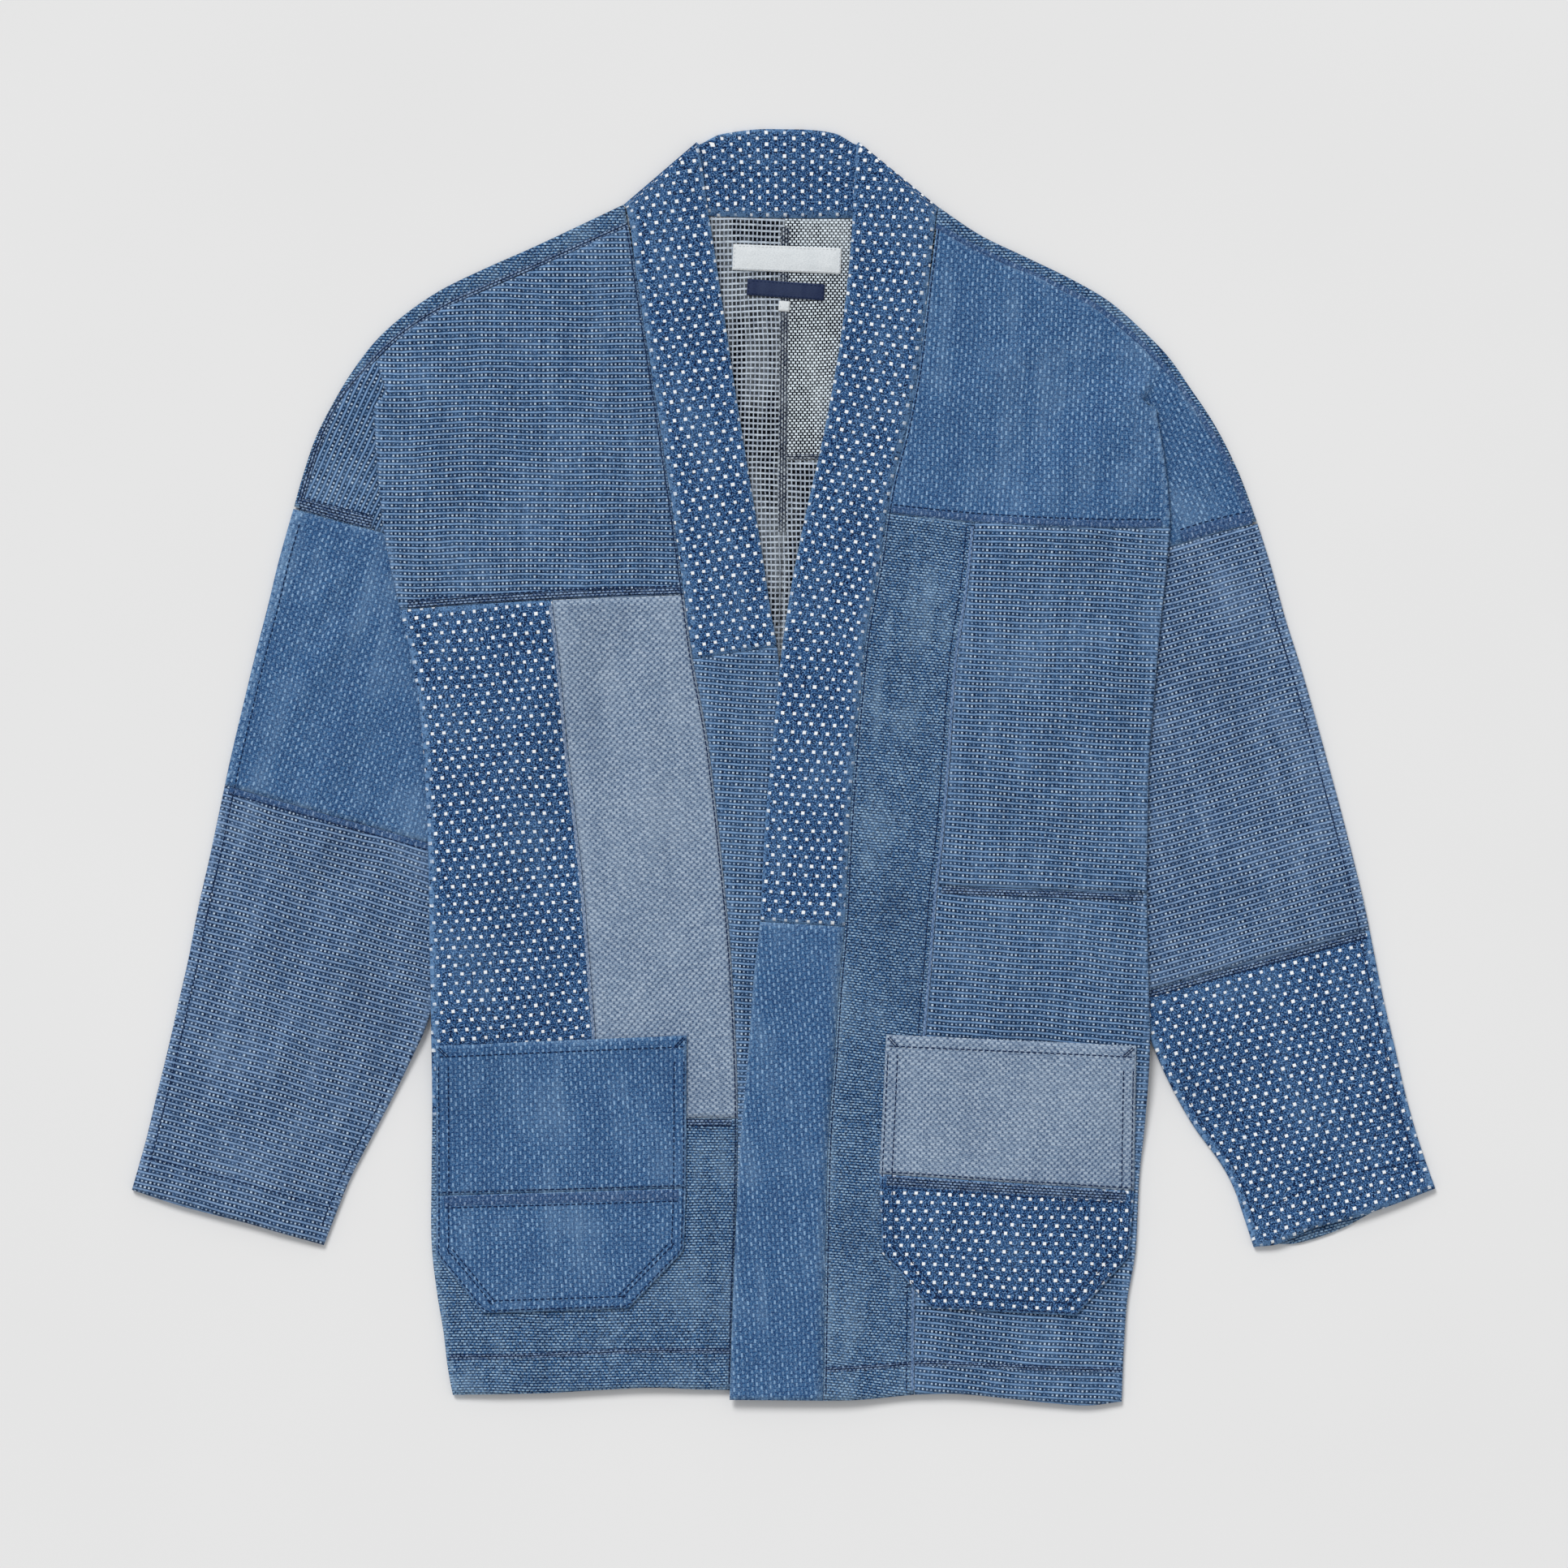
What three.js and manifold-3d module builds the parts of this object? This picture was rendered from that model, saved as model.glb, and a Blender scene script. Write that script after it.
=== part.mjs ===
// Patched indigo boro jacket, laid flat with its front up.
// Millimetres. +Z is up from the surface it lies on, +Y points to the collar, +X to the viewer's right.
// "Right" and "left" are the wearer's: the right front is on the -X side.
import * as THREE from 'three';
import { mergeVertices } from 'three/addons/utils/BufferGeometryUtils.js';
import Module from 'manifold-3d';

const wasm = await Module();
wasm.setup();

// Cloth thickness, and the distance between two layers that lie on each other
const CLOTH = 1.8;
const BAND_CLOTH = 2.4;
const LABEL_CLOTH = 1.0;
const PITCH = 2.4;

// Gaps between pieces
const SEAM = 0.5;
const LABEL_GAP = 0.3;
const SLEEVE_GAP = 1.5;
const SHOULDER_GAP = 0.8;
const ARMPIT_GAP = 4;
const SIDE_DROP = 3;
const RETURN_CLEARANCE = 2;

// Folds: the bend's radius, and how far a fold's outside lies beyond the end of its flat cloth
const BEND = PITCH / 2;
const EDGE = BEND + CLOTH / 2;
const RETURN = 8;

// Levels of the middle of the cloth
const FLOOR_LEVEL = CLOTH / 2;
const TOP_LEVEL = FLOOR_LEVEL + PITCH;
const COLLAR_LEVEL = 3.9;
const BAND_LEVEL = BAND_CLOTH / 2;
const BAND_BEND = (COLLAR_LEVEL - BAND_LEVEL) / 2;
const BAND_EDGE = BAND_BEND + BAND_CLOTH / 2;
const SLEEVE_LIFT = PITCH;
const FRONT_LIFT = 3 * PITCH;
const COLLAR_OVERLAP = 2.8;
const POCKET_RISE = CLOTH + 0.5;
const PUFF = 1.7;
const PUFF_SPAN = { front: 150, sleeve: 120 };

// How far a change of level reaches across the cloth, or where it begins and ends along Y
const FADE = 55;
const RAMP = 30;
const RAMP_END = 5;
const APEX_RAMP = 9;
const APEX_FADE = 20;
const EXIT_LENGTH = 78;
const SLEEVE_REST = 10;
const LAP = { top: 160, bottom: 105 };
const NECK_CORNER = 40;
const SETTLED_SHARE = 0.16;
const YOKE_FOLD_SHARE = 0.08;
const ARMHOLE_SHARE = { shoulder: 0.025, armpit: 0.955 };
const WRAP_SHARE = { from: 0.012, to: 0.995 };
const WRAP_INSET = 5;
const WRAP_TONGUE = 11;
const SLEEVE_LENGTH = 480;

// Steps of lines
const CURVE_STEPS = 10;
const PORTION_STEPS = 12;
const SEAM_STEPS = 16;
const RETURN_LINE_STEPS = 24;
const APEX_SEARCH_STEPS = 400;
const TANGENT_SHARE = 0.02;
const OUTLINE_STEP = 5;
const SIDE_STEP = 8;

// Cells of the walls
const RETURN_STEPS = 3;
const SLEEVE_RETURN_STEPS = 2;
const BEND_STEPS = 4;
const CAP_COLUMNS = 5;
const BODY_COLUMNS = 9;
const WRAP_STEPS = 16;
const BAND_ROWS = 16;
const NECK_ROWS = 8;
const LOWER_BAND_ROWS = 14;
const SLEEVE_BACK = { rows: 14, columns: 10 };
const SLEEVE_UPPER = { rows: 6, columns: 8 };
const SLEEVE_LOWER = { rows: 8, columns: 8 };
const PALE_PANEL = { rows: 10, columns: 4 };
const FINE_STRIP = { rows: 16, columns: 3 };
const POCKET_TOP = { rows: 7, columns: 12 };
const POCKET_BASE = { rows: 6, columns: 7 };

// Walls whose rows lie closer where the sleeve comes out from under them, as shares of their length
const YOKE_ROWS = [0, 0.06, 0.12, 0.16, 0.2, 0.24, 0.3, 0.4, 0.5, 0.6, 0.7, 0.8, 0.9, 1];
const DOT_PANEL = { rows: [0, 0.13, 0.27, 0.41, 0.55, 0.68, 0.77, 0.82, 0.87, 0.92, 0.96, 1], columns: 7 };
const SKIRT = { rows: [0, 0.05, 0.13, 0.27, 0.42, 0.6, 0.8, 1], columns: 9 };
const GRID_UPPER = { rows: [0, 0.14, 0.28, 0.42, 0.57, 0.72, 0.86, 1], columns: 8 };
const GRID_LOWER = { rows: [0, 0.12, 0.22, 0.3, 0.35, 0.4, 0.45, 0.5, 0.57, 0.7, 0.85, 1], columns: 9 };

// Outlines of the right half, on the -X side, from the neck down
const RIGHT = {
  inward: 1,
  shoulder: [[-108.5, 381.5], [-140, 366.5], [-171, 352], [-200.5, 339], [-231.5, 324], [-256, 307.5],
    [-276, 289.5], [-292.5, 268], [-306, 245.5], [-317, 223.5], [-325.5, 198.5], [-332, 175.5]],
  shoulderSeam: [[-105.5, 367], [-150, 347], [-197, 326.5], [-228, 312.5], [-255, 295.5], [-276, 277],
    [-299, 249], [-311, 226], [-320, 200], [-327.5, 174.2]],
  apex: [-276, 277],
  sleeveExit: -172,
  fold: [[-276, 277], [-277.5, 252], [-276.5, 226.5], [-273, 181], [-269, 151], [-259, 104], [-253, 78],
    [-247, 44], [-243, -2], [-240.5, -62], [-239.5, -123], [-238.5, -178], [-238, -227.5], [-238.5, -277],
    [-238.5, -321], [-235, -354], [-230.5, -381.5], [-227.5, -406.5], [-224, -425]],
  collarSeam: [[-108.5, 381.5], [-104, 361], [-96.5, 311.5], [-89.5, 267.5], [-81, 212.5], [-74.5, 168.5],
    [-67.5, 117], [-61.5, 73.5], [-52, 22.5], [-46, -24], [-41, -70], [-36.5, -115.5], [-33.5, -161.5],
    [-31.5, -207], [-31, -249.5], [-32, -304.5], [-34, -359.5], [-35.5, -421.5]],
  free: [[-59, 424], [-54.5, 396.5], [-48.5, 361], [-41, 311.5], [-32, 251], [-24, 201.5], [-16, 154.5],
    [-9, 108], [-4.5, 82], [2.5, 25.5], [8.5, -29.5], [13.5, -84.5], [17.5, -139.5], [20, -194.5],
    [21, -249.5], [21, -304.5], [20.5, -359.5], [19.5, -421.5]],
  outer: [[-332, 175.5], [-341.5, 142], [-349.5, 109], [-358, 76], [-366, 43], [-374.5, 7], [-381.5, -26],
    [-389, -61.5], [-396.5, -94.5], [-403, -128.5], [-410, -159.5], [-417, -190.5], [-424.5, -221],
    [-432, -252.5], [-441.5, -286]],
  armhole: [[-332, 175.5], [-300, 166.5], [-271.5, 159], [-223, 143], [-150, 112]],
  armpit: [-150, 112],
  underarm: [[-150, 112], [-171, 47.5], [-192, -18.5], [-215, -90], [-239, -167], [-251.5, -196],
    [-265, -223.5], [-280, -252], [-293, -277], [-302, -299], [-311.5, -323.5]],
  cuff: [[-441.5, -286], [-407.5, -297], [-363.5, -308.5], [-341.5, -315], [-311.5, -323.5]],
  cuffBack: [[-441.5, -285], [-407.5, -296], [-363.5, -307.5], [-341.5, -314], [-311.5, -322.5]],
  elbowOuter: -12,
  elbowInner: -61,
  yokeHem: { fold: 106.5, collar: 117, rise: 1.4 },
  hem: [[-224, -425], [-190, -424.5], [-157, -423.5], [-124, -421.5], [-91, -420], [-58, -421],
    [-35.5, -421.5]],
};

// Outlines of the left half, on the +X side, from the neck down
const LEFT = {
  inward: -1,
  shoulder: [[105.5, 379.5], [133, 361], [163, 346.5], [194, 331.5], [220.5, 316], [243.5, 296], [261, 278],
    [276, 256.5], [289.5, 236.5], [300.5, 216.5], [310.5, 194.5], [321, 165.5]],
  shoulderSeam: [[102.8, 366], [131, 350.5], [160, 337], [191, 322.5], [217, 307.5], [239.5, 288.5],
    [256, 271.5], [271.5, 251.5], [285, 232], [296.5, 212.5], [306, 192], [316.5, 164.3]],
  apex: [256, 271.5],
  sleeveExit: -192,
  fold: [[256, 271.5], [252.5, 256], [253, 238], [257, 215], [260.5, 186], [261.5, 163], [259, 132],
    [255, 96], [251, 50], [247.5, 7], [246.5, -35], [246, -84.5], [247, -139.5], [248, -189],
    [245, -238.5], [241, -277], [238.5, -326.5], [233, -359.5], [230.5, -392.5], [229, -429.5]],
  collarSeam: [[105.5, 379.5], [103, 361], [97, 315.5], [91.5, 270], [83.5, 229], [73, 188], [65, 135.5],
    [56.5, 91.5], [52.5, 53], [48, 3.5], [44.5, -46], [41.5, -107.5], [38, -145], [34.5, -197],
    [30.5, -249.5], [29, -304.5], [28, -359.5], [27, -428.5]],
  free: [[51, 424], [48.5, 391], [45.5, 352], [40, 300.5], [33.5, 259], [25.5, 218], [16, 176.5],
    [7.5, 135.5], [1.5, 99.5], [-3, 64], [-7.5, 17], [-12, -29.5], [-16, -104], [-20, -139.5], [-24, -194.5],
    [-29, -249.5], [-32, -304.5], [-34.5, -365], [-36.5, -428]],
  outer: [[321, 165.5], [330.5, 135.5], [339.5, 102.5], [349.5, 71], [359, 38.5], [368, 6], [377, -27],
    [385.5, -60], [393.5, -93], [399.5, -123], [406.5, -157.5], [414, -189], [421, -220], [430, -252],
    [441.5, -285]],
  armhole: [[321, 165.5], [290, 158], [262.5, 149.5], [211.5, 135], [131, 112]],
  armpit: [131, 112],
  underarm: [[131, 112], [153.5, 47.5], [181, -18.5], [211.5, -93], [249, -186], [262.5, -216],
    [277.5, -242.5], [294, -265], [304, -282.5], [311, -302], [318.5, -325]],
  cuff: [[441.5, -285], [410, -297], [385, -305], [359.5, -311.5], [345, -318], [332, -323.5], [318.5, -325]],
  elbowOuter: -110,
  elbowInner: -154,
  yokeHem: { fold: 162, collar: 172.5, rise: -3.6 },
  cuffBack: [[441.5, -286], [416.5, -294.5], [398.5, -303], [381, -312], [359, -320.5], [338.5, -326],
    [318.5, -326.5]],
  hem: [[229, -429.5], [208.5, -432], [184, -430.5], [151, -427], [118, -424], [88.5, -424.5], [52, -428],
    [27, -428.5]],
};

// Seams inside the fronts
const RIGHT_PALE_SEAM = { share: 0.537, points: [[-151, 67], [-145.5, 7.5], [-140, -38], [-135, -83.5],
  [-130.5, -138], [-127, -183.5], [-123.5, -237.5]] };
const RIGHT_SKIRT_TOP = -237.5;
const LEFT_STRIP_SEAM = { share: 0.69, points: [[125, 121.5], [117.5, 71.5], [113, 7.5], [108.5, -47.5],
  [104.5, -81], [100.5, -134], [96.5, -181.5], [93, -249.5], [90.5, -304.5], [89, -359.5], [88.5, -424.5]] };
const LEFT_MID_SEAM = { strip: -80, fold: -85 };
const RIGHT_BAND_SEAM = { seam: 73.5, free: 82 };
const LEFT_BAND_SEAM = { seam: -107.5, free: -104 };

// Neck
const NECK_SEAM = [[-108.5, 381.5], [-80, 377], [-50.5, 373.5], [0.5, 372], [47, 372], [76.5, 374],
  [105.5, 379.5]];
const COLLAR_TOP = [[-59, 424], [-47, 428], [-34.5, 430.5], [-17, 432.5], [0.5, 432.5], [19, 432],
  [35.5, 429.5], [51, 424]];
const BACK_HEM = -416;
const CENTRE_SEAM = [[1, 371.7], [-1, 135.5], [-3, -29.5], [-3, BACK_HEM]];
const BACK_SPLIT = 208.5;

// Patch pockets
const POCKET_RIGHT = {
  top: { left: [-235.3, -188], right: [-65.5, -181] },
  seam: { left: [-235, -289.5], right: [-66, -284.5] },
  shoulder: { left: [-235.2, -330], right: [-67.5, -327] },
  base: { left: [-203, -369.5], right: [-105, -366] },
};
const POCKET_LEFT = {
  top: { left: [69.5, -180.5], right: [238.5, -188] },
  seam: { left: [65, -275], right: [237.3, -286.5] },
  shoulder: { left: [66.5, -328.5], right: [234, -331] },
  base: { left: [100.5, -366], right: [197.5, -371] },
};

// Labels, all blank: centre, size and turn in degrees
const LABELS = {
  neck_label: { at: [2.3, 344.6], size: [73.5, 17.5], turn: -2.2 },
  origin_label: { at: [1.5, 323.8], size: [52.5, 11], turn: -4.2 },
  size_tab: { at: [0.4, 312.6], size: [7.5, 7], turn: -4.2 },
};

// Finishes: colour, roughness
const CLOTHS = {
  dots: [0x5b7391, 0.9],
  grid: [0x546d8d, 0.92],
  pale: [0x7a8da4, 0.9],
  fine: [0x4b688a, 0.9],
  blue: [0x4e6d94, 0.9],
  inside: [0x6a7889, 0.95],
  net: [0x8d9499, 0.95],
  white: [0xdce1e4, 0.7],
  navy: [0x2e3a4c, 0.7],
};

// Lines in plan

function smooth(points) {
  const curve = new THREE.SplineCurve(points.map(([x, y]) => new THREE.Vector2(x, y)));
  return curve.getPoints(points.length * CURVE_STEPS);
}

function straight(points) {
  return points.map(([x, y]) => new THREE.Vector2(x, y));
}

function lengths(line) {
  const steps = [0];
  for (let i = 1; i < line.length; i++) steps.push(steps[i - 1] + line[i].distanceTo(line[i - 1]));
  return steps;
}

function at(line, share) {
  const steps = lengths(line);
  const goal = THREE.MathUtils.clamp(share, 0, 1) * steps[steps.length - 1];
  let i = 1;
  while (i < line.length - 1 && steps[i] < goal) i++;
  const part = (goal - steps[i - 1]) / (steps[i] - steps[i - 1]);
  return line[i - 1].clone().lerp(line[i], part);
}

function xAt(line, y) {
  if (y >= line[0].y) return line[0].x;
  for (let i = 1; i < line.length; i++) {
    if (y >= line[i].y) {
      const part = (line[i - 1].y - y) / (line[i - 1].y - line[i].y);
      return THREE.MathUtils.lerp(line[i - 1].x, line[i].x, part);
    }
  }
  return line[line.length - 1].x;
}

function lastY(line) {
  return line[line.length - 1].y;
}

function between(line, top, bottom) {
  const inside = line.filter((p) => p.y < top - 0.5 && p.y > bottom + 0.5);
  const first = new THREE.Vector2(xAt(line, top), top);
  const last = new THREE.Vector2(xAt(line, bottom), bottom);
  return [first, ...inside, last];
}

function outward(line, share) {
  const before = at(line, share - TANGENT_SHARE);
  const after = at(line, share + TANGENT_SHARE);
  const along = after.sub(before).normalize();
  return new THREE.Vector2(along.y, -along.x);
}

function shifted(line, distance) {
  return line.map((point, i) => {
    const before = line[Math.max(0, i - 1)];
    const after = line[Math.min(line.length - 1, i + 1)];
    const along = after.clone().sub(before).normalize();
    return new THREE.Vector2(point.x + along.y * distance, point.y - along.x * distance);
  });
}

function every(line, step) {
  return line.filter((point, i) => i % step === 0 || i === line.length - 1);
}

function portion(line, from, to) {
  const share = (i) => THREE.MathUtils.lerp(from, to, i / PORTION_STEPS);
  return Array.from({ length: PORTION_STEPS + 1 }, (_, i) => at(line, share(i)));
}

function crossSeam(from, to, rise) {
  const line = [];
  for (let i = 0; i <= SEAM_STEPS; i++) {
    const share = i / SEAM_STEPS;
    const point = from.clone().lerp(to, share);
    point.y += 4 * rise * share * (1 - share);
    line.push(point);
  }
  return line;
}

// How far a line stands off the straight line between its ends
function bow(line, u) {
  return at(line, u).sub(line[0].clone().lerp(line[line.length - 1], u));
}

// A field between four lines: left and right run down, top and bottom run from left to right.
function patch(left, right, top, bottom) {
  return (u, v) => {
    const point = at(left, v).lerp(at(right, v), u);
    point.addScaledVector(bow(top, u), 1 - v);
    return point.addScaledVector(bow(bottom, u), v);
  };
}

// Walls of cloth

function wall(rows, thickness) {
  const height = rows.length;
  const width = rows[0].length;
  const positions = [];
  const sides = [thickness / 2, -thickness / 2];
  for (const side of sides) {
    for (let i = 0; i < height; i++) {
      for (let j = 0; j < width; j++) {
        const down = rows[Math.min(height - 1, i + 1)][j].clone().sub(rows[Math.max(0, i - 1)][j]);
        const across = rows[i][Math.min(width - 1, j + 1)].clone().sub(rows[i][Math.max(0, j - 1)]);
        const normal = across.cross(down).normalize();
        const point = rows[i][j].clone().addScaledVector(normal, side);
        positions.push(point.x, point.y, Math.round(point.z * 1e4) / 1e4);
      }
    }
  }
  const count = height * width;
  const faces = [];
  const quad = (a, b, c, d) => faces.push(a, b, c, a, c, d);
  for (let i = 0; i < height - 1; i++) {
    for (let j = 0; j < width - 1; j++) {
      const a = i * width + j;
      quad(a, a + 1, a + width + 1, a + width);
      quad(count + a, count + a + width, count + a + width + 1, count + a + 1);
    }
  }
  for (let i = 0; i < height - 1; i++) {
    const a = i * width;
    const b = a + width - 1;
    quad(a, a + width, count + a + width, count + a);
    quad(b, count + b, count + b + width, b + width);
  }
  for (let j = 0; j < width - 1; j++) {
    const a = j;
    const b = (height - 1) * width + j;
    quad(a, count + a, count + a + 1, a + 1);
    quad(b, b + 1, count + b + 1, count + b);
  }
  return facingOut(positions, faces);
}

function facingOut(positions, faces) {
  let volume = 0;
  const corner = (k) => new THREE.Vector3().fromArray(positions, 3 * k);
  for (let i = 0; i < faces.length; i += 3) {
    volume += corner(faces[i]).dot(corner(faces[i + 1]).cross(corner(faces[i + 2])));
  }
  if (volume < 0) {
    for (let i = 0; i < faces.length; i += 3) [faces[i + 1], faces[i + 2]] = [faces[i + 2], faces[i + 1]];
  }
  const geometry = new THREE.BufferGeometry();
  geometry.setAttribute('position', new THREE.Float32BufferAttribute(positions, 3));
  geometry.setIndex(faces);
  return geometry;
}

function toSolid(geometry) {
  const mesh = { numProp: 3 };
  mesh.vertProperties = new Float32Array(geometry.getAttribute('position').array);
  mesh.triVerts = new Uint32Array(geometry.getIndex().array);
  return new wasm.Manifold(new wasm.Mesh(mesh));
}

function fromSolid(solid) {
  const mesh = solid.getMesh();
  return facingOut(Array.from(mesh.vertProperties), Array.from(mesh.triVerts));
}

function gridRows(rows, columns, place) {
  const result = [];
  for (let i = 0; i <= rows; i++) {
    const row = [];
    for (let j = 0; j <= columns; j++) row.push(place(j / columns, i / rows));
    result.push(row);
  }
  return result;
}

function lifted(point, z) {
  return new THREE.Vector3(point.x, point.y, z);
}

function gapped(share, size) {
  const margin = SEAM / 2 / size;
  return margin + share * (1 - 2 * margin);
}

const ease = THREE.MathUtils.smoothstep;

// One half of the jacket: its lines and the heights of its layers.
class Half {
  constructor(shape) {
    this.inward = shape.inward;
    this.shape = shape;
    this.shoulder = smooth(shape.shoulder);
    this.shoulderSeam = smooth(shape.shoulderSeam);
    this.fold = smooth(shape.fold);
    this.collarSeam = smooth(shape.collarSeam);
    this.free = smooth(shape.free);
    this.outer = smooth(shape.outer);
    this.armhole = smooth(shape.armhole);
    this.underarm = smooth(shape.underarm);
    this.cuff = smooth(shape.cuff);
    this.hem = smooth(shape.hem);
    this.apexShare = this.shareOfApex();
    this.innerFold = straight([shape.apex, shape.armpit]);
    this.hidden = [...this.innerFold, ...this.underarm.slice(1)];
    this.yokeHem = this.across(shape.yokeHem.fold, shape.yokeHem.collar, shape.yokeHem.rise);
  }

  shareOfApex() {
    const apexX = this.shape.apex[0];
    for (let i = 0; i <= APEX_SEARCH_STEPS; i++) {
      const share = i / APEX_SEARCH_STEPS;
      if ((apexX - at(this.shoulderSeam, share).x) * this.inward > 0) return share;
    }
    return 1;
  }

  across(foldY, collarY, rise) {
    const from = new THREE.Vector2(xAt(this.fold, foldY), foldY);
    const to = new THREE.Vector2(xAt(this.collarSeam, collarY), collarY);
    return crossSeam(from, to, rise);
  }

  // How far a place lies inside the side fold, towards the middle of the body
  inside(x, y) {
    return (x - xAt(this.fold, y)) * this.inward;
  }

  // Share of the sleeve's thickness that lies under the front at this height
  stacked(y) {
    const apexY = this.shape.apex[1];
    const upper = 1 - ease(y, apexY - APEX_FADE, apexY);
    return upper * ease(y, this.shape.sleeveExit - EXIT_LENGTH, this.shape.sleeveExit);
  }

  // Where the front's side return ends, inside the fold
  returnEnd(y) {
    const hidden = (xAt(this.hidden, y) - xAt(this.fold, y)) * this.inward;
    return Math.max(hidden, RETURN + RETURN_CLEARANCE);
  }

  frontHeight(x, y) {
    const leftBound = y > this.shape.apex[1] ? xAt(this.shoulderSeam, y) : xAt(this.fold, y);
    const span = (xAt(this.collarSeam, y) - leftBound) * this.inward;
    const share = THREE.MathUtils.clamp((x - leftBound) * this.inward / Math.max(span, 1), 0, 1);
    const puff = PUFF * 4 * share * (1 - share) * Math.min(1, span / PUFF_SPAN.front);
    const depth = this.inside(x, y) - this.returnEnd(y);
    const lift = FRONT_LIFT * this.stacked(y) * (1 - ease(depth, 0, FADE));
    return TOP_LEVEL + (COLLAR_LEVEL - TOP_LEVEL) * share + puff + lift + this.lap(x, y);
  }

  // The left front rides over the right one at the collar
  lap(x, y) {
    if (this.inward > 0) return 0;
    const depth = x - xAt(this.collarSeam, y);
    const rise = COLLAR_OVERLAP * (1 - ease(y, LAP.bottom, LAP.top));
    return rise * (1 - ease(depth, 0, FADE));
  }

  returnHeight(y) {
    return FLOOR_LEVEL + FRONT_LIFT * this.stacked(y);
  }

  // The sleeve climbs on to the back panel inside the body
  sleeveRise(x, y) {
    const climb = ease(this.inside(x, y), -RAMP - RAMP_END, -RAMP_END);
    return SLEEVE_LIFT * climb * this.stacked(y);
  }

  sleeveHeight(x, y) {
    const outerLine = y > this.outer[0].y ? this.shoulderSeam : this.outer;
    const from = xAt(outerLine, y);
    const bodyEdge = this.inward * xAt(this.fold, y) - SLEEVE_REST;
    const openEdge = this.inward * xAt(this.underarm, y);
    const span = Math.min(bodyEdge, openEdge) - this.inward * from;
    const share = THREE.MathUtils.clamp((x - from) * this.inward / Math.max(span, 1), 0, 1);
    const full = THREE.MathUtils.clamp(span / PUFF_SPAN.sleeve, 0, 1);
    const puff = PUFF * 4 * share * (1 - share) * full;
    return TOP_LEVEL + puff + this.sleeveRise(x, y);
  }

  sleeveBackHeight(x, y) {
    return FLOOR_LEVEL + this.sleeveRise(x, y);
  }
}

// Points round a bend from the lower layer to the upper one, outward of a centre in plan
function bend(centre, direction, low, high) {
  const points = [];
  for (let k = 1; k < BEND_STEPS; k++) {
    const turn = Math.PI * (k / BEND_STEPS) - Math.PI / 2;
    const reach = BEND * Math.cos(turn);
    const z = (low + high) / 2 + (high - low) / 2 * Math.sin(turn);
    points.push(lifted(centre.clone().addScaledVector(direction, reach), z));
  }
  return points;
}

// Where a line's cloth starts its bend: the line moved in by the bend and half the cloth
function insetLine(line, towards) {
  return shifted(line, -EDGE * towards);
}

// A front panel whose outer side turns under and runs back below it
function foldedPanel(half, lines, { rows, columns }) {
  const { left, right, top, bottom, returnTop } = lines;
  const inset = insetLine(left, half.inward);
  const field = patch(inset, right, top, bottom);
  const lowest = left[left.length - 1].y;
  const height = left[0].y - lowest;
  const width = Math.abs(right[0].x - left[0].x);
  const inner = returnLine(half, returnTop ?? left[0].y, lowest);
  const grid = rows.map((share) => {
    const v = gapped(share, height);
    const centre = at(inset, v);
    const direction = outward(left, v).multiplyScalar(half.inward);
    const end = at(inner, v);
    const low = half.returnHeight(centre.y);
    const high = half.frontHeight(centre.x, centre.y);
    const row = [];
    for (let k = 0; k < RETURN_STEPS; k++) {
      const point = end.clone().lerp(centre, k / RETURN_STEPS);
      row.push(lifted(point, half.returnHeight(point.y)));
    }
    row.push(lifted(centre, low));
    row.push(...bend(centre, direction, low, high));
    for (let j = 0; j <= columns; j++) {
      const share = j / columns * (1 - SEAM / 2 / width);
      const point = field(share, v);
      row.push(lifted(point, half.frontHeight(point.x, point.y)));
    }
    return row;
  });
  return wall(grid, CLOTH);
}

// The inner edge of the cloth that turns under at the side
function returnLine(half, top, bottom) {
  const line = [];
  for (let i = 0; i <= RETURN_LINE_STEPS; i++) {
    const y = THREE.MathUtils.lerp(top, bottom, i / RETURN_LINE_STEPS);
    const reach = half.returnEnd(y) - RETURN_CLEARANCE;
    line.push(new THREE.Vector2(xAt(half.fold, y) + reach * half.inward, y));
  }
  return line;
}

// A plain panel between four seams
function flatPanel(half, lines, { rows, columns }) {
  const { left, right, top, bottom } = lines;
  const field = patch(left, right, top, bottom);
  const height = Math.abs(left[0].y - left[left.length - 1].y);
  const width = Math.abs(right[0].x - left[0].x);
  const place = (u, v) => {
    const point = field(gapped(u, width), gapped(v, height));
    return lifted(point, half.frontHeight(point.x, point.y));
  };
  return wall(gridRows(rows, columns, place), CLOTH);
}

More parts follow.
